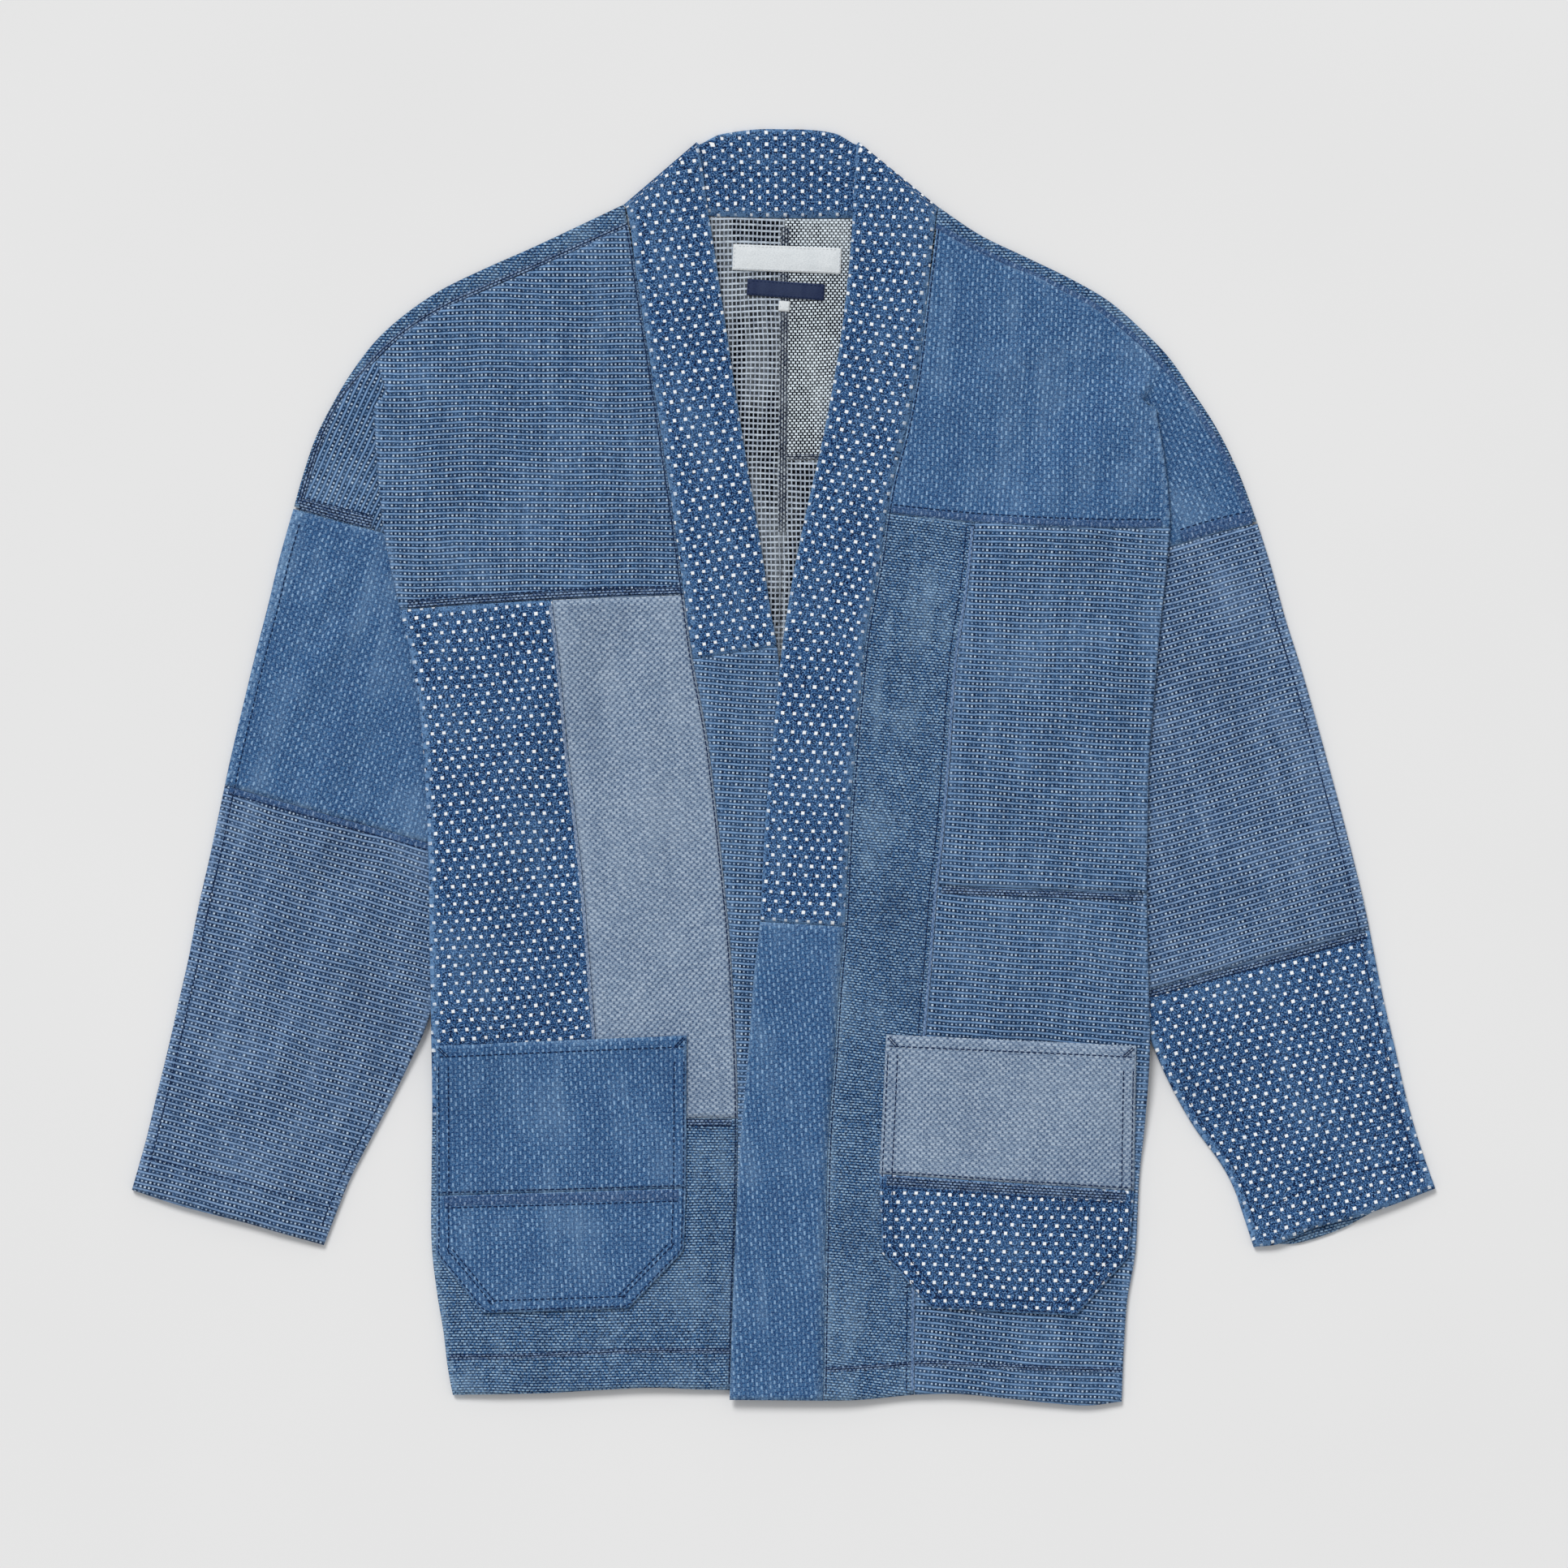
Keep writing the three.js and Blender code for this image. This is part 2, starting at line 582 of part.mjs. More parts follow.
// The yoke runs from the armhole seam in under the body, back out to the side fold and over to the collar.
function yoke(half) {
  const { apex, armpit, yokeHem } = half.shape;
  const seamEnd = half.shoulderSeam[0].y;
  const outerFold = between(half.fold, apex[1], yokeHem.fold);
  const collarLine = between(half.collarSeam, seamEnd, yokeHem.collar);
  const capTop = portion(half.shoulderSeam, 1, half.apexShare);
  const bodyTop = portion(half.shoulderSeam, half.apexShare, 0);
  const outerInset = insetLine(outerFold, half.inward);
  const innerFold = straight([apex, [armpit[0], armpit[1] + ARMPIT_GAP]]);
  const innerInset = insetLine(innerFold, -half.inward);
  const { shoulder: armholeTop, armpit: armholeFoot } = ARMHOLE_SHARE;
  const armhole = shifted(portion(half.armhole, armholeTop, armholeFoot), -SEAM / 2 * half.inward);
  const raised = APEX_FADE / (apex[1] - yokeHem.fold);
  const folded = raised + YOKE_FOLD_SHARE;
  const grid = YOKE_ROWS.map((share) => {
    const v = gapped(share, apex[1] - yokeHem.fold);
    const start = at(armhole, v);
    const end = at(collarLine, v);
    const inner = at(innerInset, v);
    const outer = at(outerInset, v);
    const middle = inner.clone().lerp(outer, 0.5);
    const along = end.clone().sub(start).normalize();
    end.addScaledVector(along, -SEAM / 2);
    const state = ease(v, raised, folded);
    const innerDirection = outward(innerFold, v).multiplyScalar(-half.inward);
    const outerDirection = outward(outerFold, v).multiplyScalar(half.inward);
    const turned = turnedPoints(half, inner, outer, innerDirection, outerDirection);
    const ramp = rampPoints(half, middle, along, turned.length);
    const crossing = turned.map((point, k) => ramp[k].lerp(point, state));
    const first = crossing[0];
    const last = crossing[crossing.length - 1];
    const row = [];
    for (let j = 0; j < CAP_COLUMNS; j++) {
      const u = j / CAP_COLUMNS;
      const point = start.clone().lerp(new THREE.Vector2(first.x, first.y), u);
      point.addScaledVector(bow(capTop, u), 1 - v);
      row.push(lifted(point, half.sleeveHeight(point.x, point.y)));
    }
    row.push(...crossing);
    for (let j = 1; j <= BODY_COLUMNS; j++) {
      const u = j / BODY_COLUMNS;
      const point = new THREE.Vector2(last.x, last.y).lerp(end, u);
      point.addScaledVector(bow(bodyTop, u), 1 - v);
      point.addScaledVector(bow(half.yokeHem, u), v);
      row.push(lifted(point, half.frontHeight(point.x, point.y)));
    }
    return row;
  });
  return wall(grid, CLOTH);
}

function turnedPoints(half, inner, outer, innerDirection, outerDirection) {
  const low = half.sleeveHeight(inner.x, inner.y);
  const high = half.frontHeight(outer.x, outer.y);
  const lowMiddle = half.returnHeight(inner.y);
  const highMiddle = half.returnHeight(outer.y);
  const points = [lifted(inner, low), ...bend(inner, innerDirection, low, lowMiddle)];
  for (let k = 0; k <= RETURN_STEPS; k++) {
    const share = k / RETURN_STEPS;
    const z = THREE.MathUtils.lerp(lowMiddle, highMiddle, share);
    points.push(lifted(inner.clone().lerp(outer, share), z));
  }
  points.push(...bend(outer, outerDirection, highMiddle, high), lifted(outer, high));
  return points;
}

function rampPoints(half, middle, along, count) {
  const from = middle.clone().addScaledVector(along, -APEX_RAMP / 2);
  const to = middle.clone().addScaledVector(along, APEX_RAMP / 2);
  const low = half.sleeveHeight(from.x, from.y);
  const high = half.frontHeight(to.x, to.y);
  const points = [];
  for (let k = 0; k < count; k++) {
    const share = k / (count - 1);
    points.push(lifted(from.clone().lerp(to, share), THREE.MathUtils.lerp(low, high, ease(share, 0, 1))));
  }
  return points;
}

// The front of a sleeve, with both long edges turned under
function sleeveFront(half, lines, { rows, columns }) {
  const { left, right, top, bottom } = lines;
  const outerInset = insetLine(left, half.inward);
  const innerInset = insetLine(right, -half.inward);
  const field = patch(outerInset, innerInset, top, bottom);
  const height = Math.abs(left[0].y - left[left.length - 1].y);
  const grid = [];
  for (let i = 0; i <= rows; i++) {
    const v = gapped(i / rows, height);
    const outerDirection = outward(left, v).multiplyScalar(half.inward);
    const innerDirection = outward(right, v).multiplyScalar(-half.inward);
    const row = sleeveReturn(half, at(outerInset, v), outerDirection);
    for (let j = 1; j < columns; j++) {
      const point = field(j / columns, v);
      row.push(lifted(point, half.sleeveHeight(point.x, point.y)));
    }
    row.push(...sleeveReturn(half, at(innerInset, v), innerDirection).reverse());
    grid.push(row);
  }
  return wall(grid, CLOTH);
}

function sleeveReturn(half, centre, direction) {
  const low = half.sleeveBackHeight(centre.x, centre.y);
  const high = half.sleeveHeight(centre.x, centre.y);
  const row = [];
  for (let k = 0; k < SLEEVE_RETURN_STEPS; k++) {
    const reach = (RETURN - EDGE) * (1 - k / SLEEVE_RETURN_STEPS);
    const point = centre.clone().addScaledVector(direction, -reach);
    row.push(lifted(point, half.sleeveBackHeight(point.x, point.y)));
  }
  row.push(lifted(centre, low), ...bend(centre, direction, low, high), lifted(centre, high));
  return row;
}

function sleeveBack(half) {
  const left = shifted(half.outer, -(RETURN + SLEEVE_GAP) * half.inward);
  const right = shifted(half.underarm, (RETURN + SLEEVE_GAP) * half.inward);
  const field = patch(left, right, half.armhole, smooth(half.shape.cuffBack));
  const place = (u, v) => {
    const point = field(u, gapped(v, SLEEVE_LENGTH));
    return lifted(point, half.sleeveBackHeight(point.x, point.y));
  };
  return wall(gridRows(SLEEVE_BACK.rows, SLEEVE_BACK.columns, place), CLOTH);
}

// The back lies flat on the surface
function backPlate(half) {
  const rim = shifted(half.shoulder, -WRAP_INSET * half.inward);
  const rimEnd = rim[rim.length - 1];
  const armhole = shifted(half.armhole, -SEAM / 2 * half.inward);
  const within = (p) => half.inside(p.x, p.y) < RETURN && Math.abs(p.x) < Math.abs(rimEnd.x) - 1;
  const outline = [...neckEdge(half), ...every(rim, OUTLINE_STEP)];
  outline.push(...every(armhole.filter(within), OUTLINE_STEP));
  const side = shifted(half.fold, -(RETURN + SEAM) * half.inward);
  outline.push(...every(between(side, lastY(outline) - SIDE_DROP, BACK_HEM), SIDE_STEP));
  outline.push(...shifted(straight(CENTRE_SEAM), SEAM / 2 * half.inward).reverse());
  const geometry = new THREE.ExtrudeGeometry(new THREE.Shape(outline), { depth: CLOTH, bevelEnabled: false });
  geometry.deleteAttribute('normal');
  geometry.deleteAttribute('uv');
  return mergeVertices(geometry);
}

// The neck edge of the back, from the centre out, drops to clear the turned collar
function neckEdge(half) {
  const line = smooth(NECK_SEAM).filter((p) => p.x * half.inward < -1);
  const fromCentre = half.inward > 0 ? line.reverse() : line;
  const corner = fromCentre[fromCentre.length - 1].x;
  const drop = (p) => SEAM / 2 + BAND_EDGE * (1 - ease(Math.abs(p.x - corner), 0, NECK_CORNER));
  return every(fromCentre, OUTLINE_STEP).map((p) => new THREE.Vector2(p.x, p.y - drop(p)));
}

// The back's cloth wraps over the shoulder to the seam on the front
function shoulderWrap(half) {
  const tongue = shifted(half.shoulder, -WRAP_TONGUE * half.inward);
  const inset = insetLine(half.shoulder, half.inward);
  const seam = shifted(half.shoulderSeam, SHOULDER_GAP * half.inward);
  const grid = [];
  for (let i = 0; i <= WRAP_STEPS; i++) {
    const share = THREE.MathUtils.lerp(WRAP_SHARE.from, WRAP_SHARE.to, i / WRAP_STEPS);
    const centre = at(inset, share);
    const direction = outward(half.shoulder, share).multiplyScalar(half.inward);
    const end = at(seam, share);
    const row = [lifted(at(tongue, share), FLOOR_LEVEL), lifted(centre, FLOOR_LEVEL)];
    row.push(...bend(centre, direction, FLOOR_LEVEL, TOP_LEVEL), lifted(centre, TOP_LEVEL));
    row.push(lifted(centre.clone().lerp(end, 0.5), TOP_LEVEL), lifted(end, TOP_LEVEL));
    grid.push(row);
  }
  return wall(grid, CLOTH);
}

function backPanel(half) {
  return toSolid(backPlate(half)).add(toSolid(shoulderWrap(half)));
}

// The collar band
function bandRows(half, seam, free, rows) {
  const result = [];
  for (let i = 0; i <= rows; i++) {
    const v = gapped(i / rows, seam[0].y - seam[seam.length - 1].y);
    const inner = at(seam, v);
    const outer = at(free, v);
    const z = COLLAR_LEVEL + half.lap(inner.x, inner.y);
    const from = SEAM / 2 / inner.distanceTo(outer);
    result.push([from, 0.5, 1].map((u) => lifted(inner.clone().lerp(outer, u), z)));
  }
  return result;
}

function neckTurn(half) {
  const seamPoint = half.collarSeam[0];
  const freePoint = half.free[0];
  const along = freePoint.clone().sub(seamPoint).normalize();
  return new THREE.Vector2(-along.y * half.inward, along.x * half.inward);
}

function moved(row, direction, reach) {
  return row.map((p) => new THREE.Vector3(p.x + direction.x * reach, p.y + direction.y * reach, p.z));
}

// Near the neck turn the band draws back by the bend
function settled(row, direction, share) {
  return moved(row, direction, -BAND_EDGE * (1 - ease(share, 0, SETTLED_SHARE)));
}

function frontBand(half, seamEnd) {
  const seam = between(half.collarSeam, half.collarSeam[0].y, seamEnd.seam);
  const free = between(half.free, half.free[0].y, seamEnd.free);
  const rows = bandRows(half, seam, free, BAND_ROWS);
  const direction = neckTurn(half);
  const shiftedRows = rows.map((row, i) => settled(row, direction, i / BAND_ROWS));
  const turn = [];
  for (let k = 1; k < BEND_STEPS; k++) {
    const angle = Math.PI / 2 - Math.PI * k / BEND_STEPS;
    const z = (COLLAR_LEVEL + BAND_LEVEL) / 2 + BAND_BEND * Math.sin(angle);
    turn.push(moved(shiftedRows[0], direction, BAND_BEND * Math.cos(angle)).map((p) => p.setZ(z)));
  }
  return [...shiftedRows.reverse(), ...turn];
}

function collarBand(right, left) {
  const neck = smooth(NECK_SEAM);
  const top = smooth(COLLAR_TOP);
  const back = [];
  for (let i = 0; i <= NECK_ROWS; i++) {
    const share = i / NECK_ROWS;
    const seamPoint = at(neck, share);
    const freePoint = at(top, share);
    const from = SEAM / 2 / seamPoint.distanceTo(freePoint);
    const row = [from, 0.5, 1].map((u) => lifted(seamPoint.clone().lerp(freePoint, u), BAND_LEVEL));
    back.push(settled(settled(row, neckTurn(right), share), neckTurn(left), 1 - share));
  }
  const rightRows = frontBand(right, RIGHT_BAND_SEAM);
  const leftRows = frontBand(left, LEFT_BAND_SEAM).reverse();
  return wall([...rightRows, ...back, ...leftRows], BAND_CLOTH);
}

function lowerBand(half, start) {
  const seam = between(half.collarSeam, start.seam, lastY(half.collarSeam));
  const free = between(half.free, start.free, lastY(half.free));
  return wall(bandRows(half, seam, free, LOWER_BAND_ROWS), BAND_CLOTH);
}

// A patch pocket rests on the panel below it
function pocketPiece(half, levels, { rows, columns }) {
  const left = levels.map((level) => level.left);
  const right = levels.map((level) => level.right);
  const top = straight([left[0], right[0]]);
  const bottom = straight([left[left.length - 1], right[right.length - 1]]);
  const field = patch(straight(left), straight(right), top, bottom);
  const height = left[0][1] - left[left.length - 1][1];
  const place = (u, v) => {
    const point = field(u, gapped(v, height));
    return lifted(point, half.frontHeight(point.x, point.y) + POCKET_RISE);
  };
  return wall(gridRows(rows, columns, place), CLOTH);
}

function pocketTop(half, pocket) {
  return pocketPiece(half, [pocket.top, pocket.seam], POCKET_TOP);
}

function pocketBase(half, pocket) {
  return pocketPiece(half, [pocket.seam, pocket.shoulder, pocket.base], POCKET_BASE);
}

// Lines shared by neighbouring pieces
const right = new Half(RIGHT);
const left = new Half(LEFT);
const jacket = new THREE.Group();

function add(name, geometry, cloth) {
  const [color, roughness] = CLOTHS[cloth];
  const material = new THREE.MeshStandardMaterial({ color, roughness, metalness: 0 });
  const mesh = new THREE.Mesh(geometry, material);
  mesh.name = name;
  jacket.add(mesh);
  return mesh;
}

function buildRightFront() {
  const { yokeHem, armpit } = RIGHT;
  const skirtTop = right.across(RIGHT_SKIRT_TOP, RIGHT_SKIRT_TOP, 0);
  const seamTop = at(right.yokeHem, RIGHT_PALE_SEAM.share);
  const paleSeam = smooth([[seamTop.x, seamTop.y], ...RIGHT_PALE_SEAM.points]);
  const paleFoot = paleSeam[paleSeam.length - 1];
  const footShare = (paleFoot.x - skirtTop[0].x) / (skirtTop[skirtTop.length - 1].x - skirtTop[0].x);
  const fold = right.fold;
  add('front_right_yoke', yoke(right), 'grid');
  add('front_right_dot_panel', foldedPanel(right, {
    left: between(fold, yokeHem.fold, RIGHT_SKIRT_TOP),
    right: paleSeam,
    top: portion(right.yokeHem, 0, RIGHT_PALE_SEAM.share),
    bottom: portion(skirtTop, 0, footShare),
    returnTop: armpit[1] - ARMPIT_GAP,
  }, DOT_PANEL), 'dots');
  add('front_right_pale_panel', flatPanel(right, {
    left: paleSeam,
    right: between(right.collarSeam, yokeHem.collar, RIGHT_SKIRT_TOP),
    top: portion(right.yokeHem, RIGHT_PALE_SEAM.share, 1),
    bottom: portion(skirtTop, footShare, 1),
  }, PALE_PANEL), 'pale');
  add('front_right_skirt', foldedPanel(right, {
    left: between(fold, RIGHT_SKIRT_TOP, lastY(fold)),
    right: between(right.collarSeam, RIGHT_SKIRT_TOP, lastY(right.collarSeam)),
    top: skirtTop,
    bottom: right.hem,
  }, SKIRT), 'fine');
  add('pocket_right_top', pocketTop(right, POCKET_RIGHT), 'blue');
  add('pocket_right_base', pocketBase(right, POCKET_RIGHT), 'blue');
}

function buildLeftFront() {
  const { yokeHem, armpit, hem } = LEFT;
  const seamTop = at(left.yokeHem, LEFT_STRIP_SEAM.share);
  const stripSeam = smooth([[seamTop.x, seamTop.y], ...LEFT_STRIP_SEAM.points]);
  const { strip, fold: foldSeam } = LEFT_MID_SEAM;
  const foldPoint = new THREE.Vector2(xAt(left.fold, foldSeam), foldSeam);
  const midSeam = crossSeam(foldPoint, new THREE.Vector2(xAt(stripSeam, strip), strip), 0);
  const stripFoot = hem.findIndex(([x]) => x === stripSeam[stripSeam.length - 1].x);
  add('front_left_yoke', yoke(left), 'blue');
  add('front_left_fine_strip', flatPanel(left, {
    left: between(left.collarSeam, yokeHem.collar, lastY(left.collarSeam)),
    right: stripSeam,
    top: portion(left.yokeHem, 1, LEFT_STRIP_SEAM.share),
    bottom: smooth(hem.slice(stripFoot).reverse()),
  }, FINE_STRIP), 'fine');
  add('front_left_grid_upper', foldedPanel(left, {
    left: between(left.fold, yokeHem.fold, foldSeam),
    right: between(stripSeam, seamTop.y, strip),
    top: portion(left.yokeHem, 0, LEFT_STRIP_SEAM.share),
    bottom: midSeam,
    returnTop: armpit[1] - ARMPIT_GAP,
  }, GRID_UPPER), 'grid');
  add('front_left_grid_lower', foldedPanel(left, {
    left: between(left.fold, foldSeam, lastY(left.fold)),
    right: between(stripSeam, strip, lastY(stripSeam)),
    top: midSeam,
    bottom: smooth(hem.slice(0, stripFoot + 1)),
  }, GRID_LOWER), 'grid');
  add('pocket_left_top', pocketTop(left, POCKET_LEFT), 'pale');
  add('pocket_left_base', pocketBase(left, POCKET_LEFT), 'dots');
}

function buildSleeve(half, side, upperCloth, lowerCloth, backCloth) {
  const { elbowOuter, elbowInner } = half.shape;
  const outerPoint = new THREE.Vector2(xAt(half.outer, elbowOuter), elbowOuter);
  const innerPoint = new THREE.Vector2(xAt(half.underarm, elbowInner), elbowInner);
  const elbow = crossSeam(outerPoint, innerPoint, 0);
  add(`sleeve_${side}_upper`, sleeveFront(half, {
    left: between(half.outer, half.outer[0].y, elbowOuter),
    right: between(half.underarm, half.underarm[0].y, elbowInner),
    top: half.armhole,
    bottom: elbow,
  }, SLEEVE_UPPER), upperCloth);
  add(`sleeve_${side}_lower`, sleeveFront(half, {
    left: between(half.outer, elbowOuter, lastY(half.outer)),
    right: between(half.underarm, elbowInner, lastY(half.underarm)),
    top: elbow,
    bottom: half.cuff,
  }, SLEEVE_LOWER), lowerCloth);
  add(`sleeve_${side}_back`, sleeveBack(half), backCloth);
}

function buildBack() {
  const leftBack = backPanel(left);
  const upper = leftBack.trimByPlane([0, 1, 0], BACK_SPLIT + SEAM / 2);
  const lower = leftBack.trimByPlane([0, -1, 0], SEAM / 2 - BACK_SPLIT);
  add('back_right', fromSolid(backPanel(right)), 'inside');
  add('back_left_upper', fromSolid(upper), 'net');
  add('back_left_lower', fromSolid(lower), 'inside');
}

function buildCollar() {
  add('collar_band_dots', collarBand(right, left), 'dots');
  add('collar_right_lower', lowerBand(right, RIGHT_BAND_SEAM), 'grid');
  add('collar_left_lower', lowerBand(left, LEFT_BAND_SEAM), 'blue');
}

function buildLabels() {
  const cloths = { neck_label: 'white', origin_label: 'navy', size_tab: 'white' };
  for (const [name, { at: [x, y], size, turn }] of Object.entries(LABELS)) {
    const label = add(name, new THREE.BoxGeometry(size[0], size[1], LABEL_CLOTH), cloths[name]);
    label.position.set(x, y, CLOTH + LABEL_GAP + LABEL_CLOTH / 2);
    label.rotation.z = THREE.MathUtils.degToRad(turn);
  }
}

buildRightFront();
buildLeftFront();
buildSleeve(right, 'right', 'blue', 'grid', 'fine');
buildSleeve(left, 'left', 'grid', 'dots', 'fine');
buildBack();
buildCollar();
buildLabels();

export default jacket;
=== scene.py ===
"""Dresses the patched boro jacket: cloth shells on the solids, seams, stitches, weaves, floor and light."""

import logging
import math
from collections.abc import Callable, Sequence
from dataclasses import dataclass
from enum import Enum

import bpy
import numpy as np
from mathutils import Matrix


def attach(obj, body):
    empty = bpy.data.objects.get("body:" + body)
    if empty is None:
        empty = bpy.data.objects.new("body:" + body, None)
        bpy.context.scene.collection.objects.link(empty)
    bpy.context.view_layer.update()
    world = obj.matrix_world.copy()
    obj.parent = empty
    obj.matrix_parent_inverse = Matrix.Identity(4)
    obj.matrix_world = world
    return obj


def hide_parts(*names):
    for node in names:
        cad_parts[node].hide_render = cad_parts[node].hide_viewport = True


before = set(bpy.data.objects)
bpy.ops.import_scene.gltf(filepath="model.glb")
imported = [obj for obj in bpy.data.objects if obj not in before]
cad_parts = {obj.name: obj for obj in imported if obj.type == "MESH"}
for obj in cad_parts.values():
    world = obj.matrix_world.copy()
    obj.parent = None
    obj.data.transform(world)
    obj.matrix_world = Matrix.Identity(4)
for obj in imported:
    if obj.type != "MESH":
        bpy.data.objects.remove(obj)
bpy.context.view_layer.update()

LOG = logging.getLogger("boro_jacket")
DOT_WHITE = (250, 253, 255)
SPECK_WHITE = (206, 226, 244)
Line = np.ndarray
Points = Sequence[tuple[float, float]]
Piece = bpy.types.Object
Surface = Callable[[np.ndarray], np.ndarray]

# Lengths are in millimetres until a mesh is made.
MM = 0.001
CLOTH = 1.8
BAND_CLOTH = 2.4
PITCH = 2.4
SEAM = 0.2
BEND = PITCH / 2
EDGE = BEND + CLOTH / 2
FLOOR_LEVEL = CLOTH / 2
RETURN = 8.0
TOP_LEVEL = FLOOR_LEVEL + PITCH
FRONT_LIFT = 3 * PITCH
FADE = 55.0
RAMP = 30.0
PUFF = 1.7
COLLAR_LEVEL = 3.9
COLLAR_OVERLAP = 2.8
BAND_LEVEL = BAND_CLOTH / 2
BAND_BEND = (COLLAR_LEVEL - BAND_LEVEL) / 2
BAND_EDGE = BAND_BEND + BAND_CLOTH / 2
APEX_FADE = 20.0
EXIT_LENGTH = 78.0
LAP_TOP = 160.0
LAP_BOTTOM = 105.0
CELL = 4.5
BEND_STEPS = 6
ARMPIT_GAP = 4.0
DEEPEST_TROUGH = -0.4
CREASE_DEPTH = 1.5
BACK_HEM = -416.0
BACK_SPLIT = 208.5
CENTRE_SEAM = ((1, 371.7), (-1, 135.5), (-3, -29.5), (-3, BACK_HEM))
NECK_SEAM = ((-108.5, 381.5), (-80, 377), (-50.5, 373.5), (0.5, 372), (47, 372), (76.5, 374), (105.5, 379.5))
COLLAR_TOP = ((-59, 424), (-47, 428), (-34.5, 430.5), (-17, 432.5), (0.5, 432.5), (19, 432), (35.5, 429.5),
              (51, 424))


def srgb(red: int, green: int, blue: int) -> tuple[float, float, float, float]:
    """A colour of 0 to 255 in sRGB as linear light, with its alpha."""
    linear = [((c / 255 + 0.055) / 1.055) ** 2.4 if c > 10 else c / 255 / 12.92 for c in (red, green, blue)]
    return (*linear, 1.0)


# Lines in plan


def smooth(points: Points) -> Line:
    """A smooth line through the points.

    Args:
        points: Places in plan, in order.

    Returns:
        The line, ten steps or more between two points.
    """
    given = np.array(points, float)
    last = len(given) - 1
    place = np.linspace(0, last, len(given) * 10 + 1)
    index = np.minimum(place.astype(int), last - 1)
    t = (place - index)[:, None]
    p0, p1 = given[np.maximum(index - 1, 0)], given[index]
    p2, p3 = given[index + 1], given[np.minimum(index + 2, last)]
    v0, v1 = (p2 - p0) / 2, (p3 - p1) / 2
    return (2 * p1 - 2 * p2 + v0 + v1) * t**3 + (-3 * p1 + 3 * p2 - 2 * v0 - v1) * t**2 + v0 * t + p1


def straight(points: Points) -> Line:
    """A line of straight pieces through the points."""
    return np.array(points, float)


def lengths(line: Line) -> np.ndarray:
    """How far each point lies along a line, from 0."""
    return np.concatenate([[0.0], np.cumsum(np.linalg.norm(np.diff(line, axis=0), axis=1))])


def at(line: Line, share: np.ndarray | float) -> np.ndarray:
    """The places at some shares of a line's length.

    Args:
        line: The line.
        share: Shares from 0 to 1.

    Returns:
        The places, one for each share.
    """
    steps = lengths(line)
    goal = np.clip(share, 0, 1) * steps[-1]
    return np.stack([np.interp(goal, steps, line[:, 0]), np.interp(goal, steps, line[:, 1])], axis=-1)


def x_at(line: Line, y: np.ndarray | float) -> np.ndarray:
    """The X at which a line that runs down crosses some heights in plan."""
    return np.interp(-np.asarray(y, float), -line[:, 1], line[:, 0])


def between(line: Line, top: float, bottom: float) -> Line:
    """The part of a line that lies between two heights in plan.

    Args:
        line: A line whose Y falls.
        top: The upper height.
        bottom: The lower height.

    Returns:
        That part, with its ends on the two heights.
    """
    inside = line[(line[:, 1] < top - 0.5) & (line[:, 1] > bottom + 0.5)]
    first, last = [x_at(line, top), top], [x_at(line, bottom), bottom]
    return np.vstack([first, inside, last])


def outward(line: Line, share: np.ndarray) -> np.ndarray:
    """The direction square to a line, to its right hand in plan.

    Args:
        line: The line.
        share: Shares of its length.

    Returns:
        One unit vector for each share.
    """
    along = at(line, share + 0.02) - at(line, share - 0.02)
    along /= np.linalg.norm(along, axis=-1, keepdims=True)
    return np.stack([along[..., 1], -along[..., 0]], axis=-1)


def shifted(line: Line, distance: float) -> Line:
    """A line moved to its right hand.

    Args:
        line: The line.
        distance: How far.

    Returns:
        The moved line.
    """
    ends = np.vstack([line[:1], line, line[-1:]])
    along = ends[2:] - ends[:-2]
    along /= np.linalg.norm(along, axis=1, keepdims=True)
    return line + np.stack([along[:, 1], -along[:, 0]], axis=1) * distance


def portion(line: Line, start: float, end: float) -> Line:
    """The part of a line between two shares of its length, in forty steps."""
    return at(line, np.linspace(start, end, 41))


def cross_seam(start: np.ndarray, end: np.ndarray, rise: float = 0.0) -> Line:
    """A seam across a panel, bowed up in its middle.

    Args:
        start: Its first point.
        end: Its last point.
        rise: How far its middle rises.

    Returns:
        The seam's line.
    """
    share = np.linspace(0, 1, 33)[:, None]
    line = blend(np.asarray(start), np.asarray(end), share)
    line[:, 1] += 4 * rise * share[:, 0] * (1 - share[:, 0])
    return line


def blend(first: np.ndarray, second: np.ndarray, share: np.ndarray | float) -> np.ndarray:
    """A mix of two values, with some share of the second."""
    return first * (1 - share) + second * share


def bow(line: Line, share: np.ndarray) -> np.ndarray:
    """How far a line stands off the straight line between its ends, at some shares."""
    return at(line, share) - blend(line[0], line[-1], share[..., None])


def ease(x: np.ndarray | float, low: float, high: float) -> np.ndarray:
    """A smooth step from 0 to 1 between two values of x."""
    t = np.clip((np.asarray(x, float) - low) / (high - low), 0, 1)
    return t * t * (3 - 2 * t)


def lifted(place: np.ndarray, z: np.ndarray | float) -> np.ndarray:
    """Places in plan as points at a height."""
    height = np.broadcast_to(np.asarray(z, float), place.shape[:-1])
    return np.concatenate([place, height[..., None]], axis=-1)


def laid(place: np.ndarray, surface: Surface, lift: np.ndarray | float = 0.0) -> np.ndarray:
    """Places in plan as points on a surface, or a distance above it."""
    return lifted(place, surface(place) + lift)


def gapped(share: np.ndarray, size: float) -> np.ndarray:
    """Shares of a size, narrowed by half a seam's gap at both ends."""
    margin = SEAM / 2 / size
    return margin + share * (1 - 2 * margin)


def shares(length: float, cell: float = CELL) -> np.ndarray:
    """Even shares from 0 to 1 for a grid whose cells have about one size."""
    return np.linspace(0, 1, max(3, round(length / cell)) + 1)


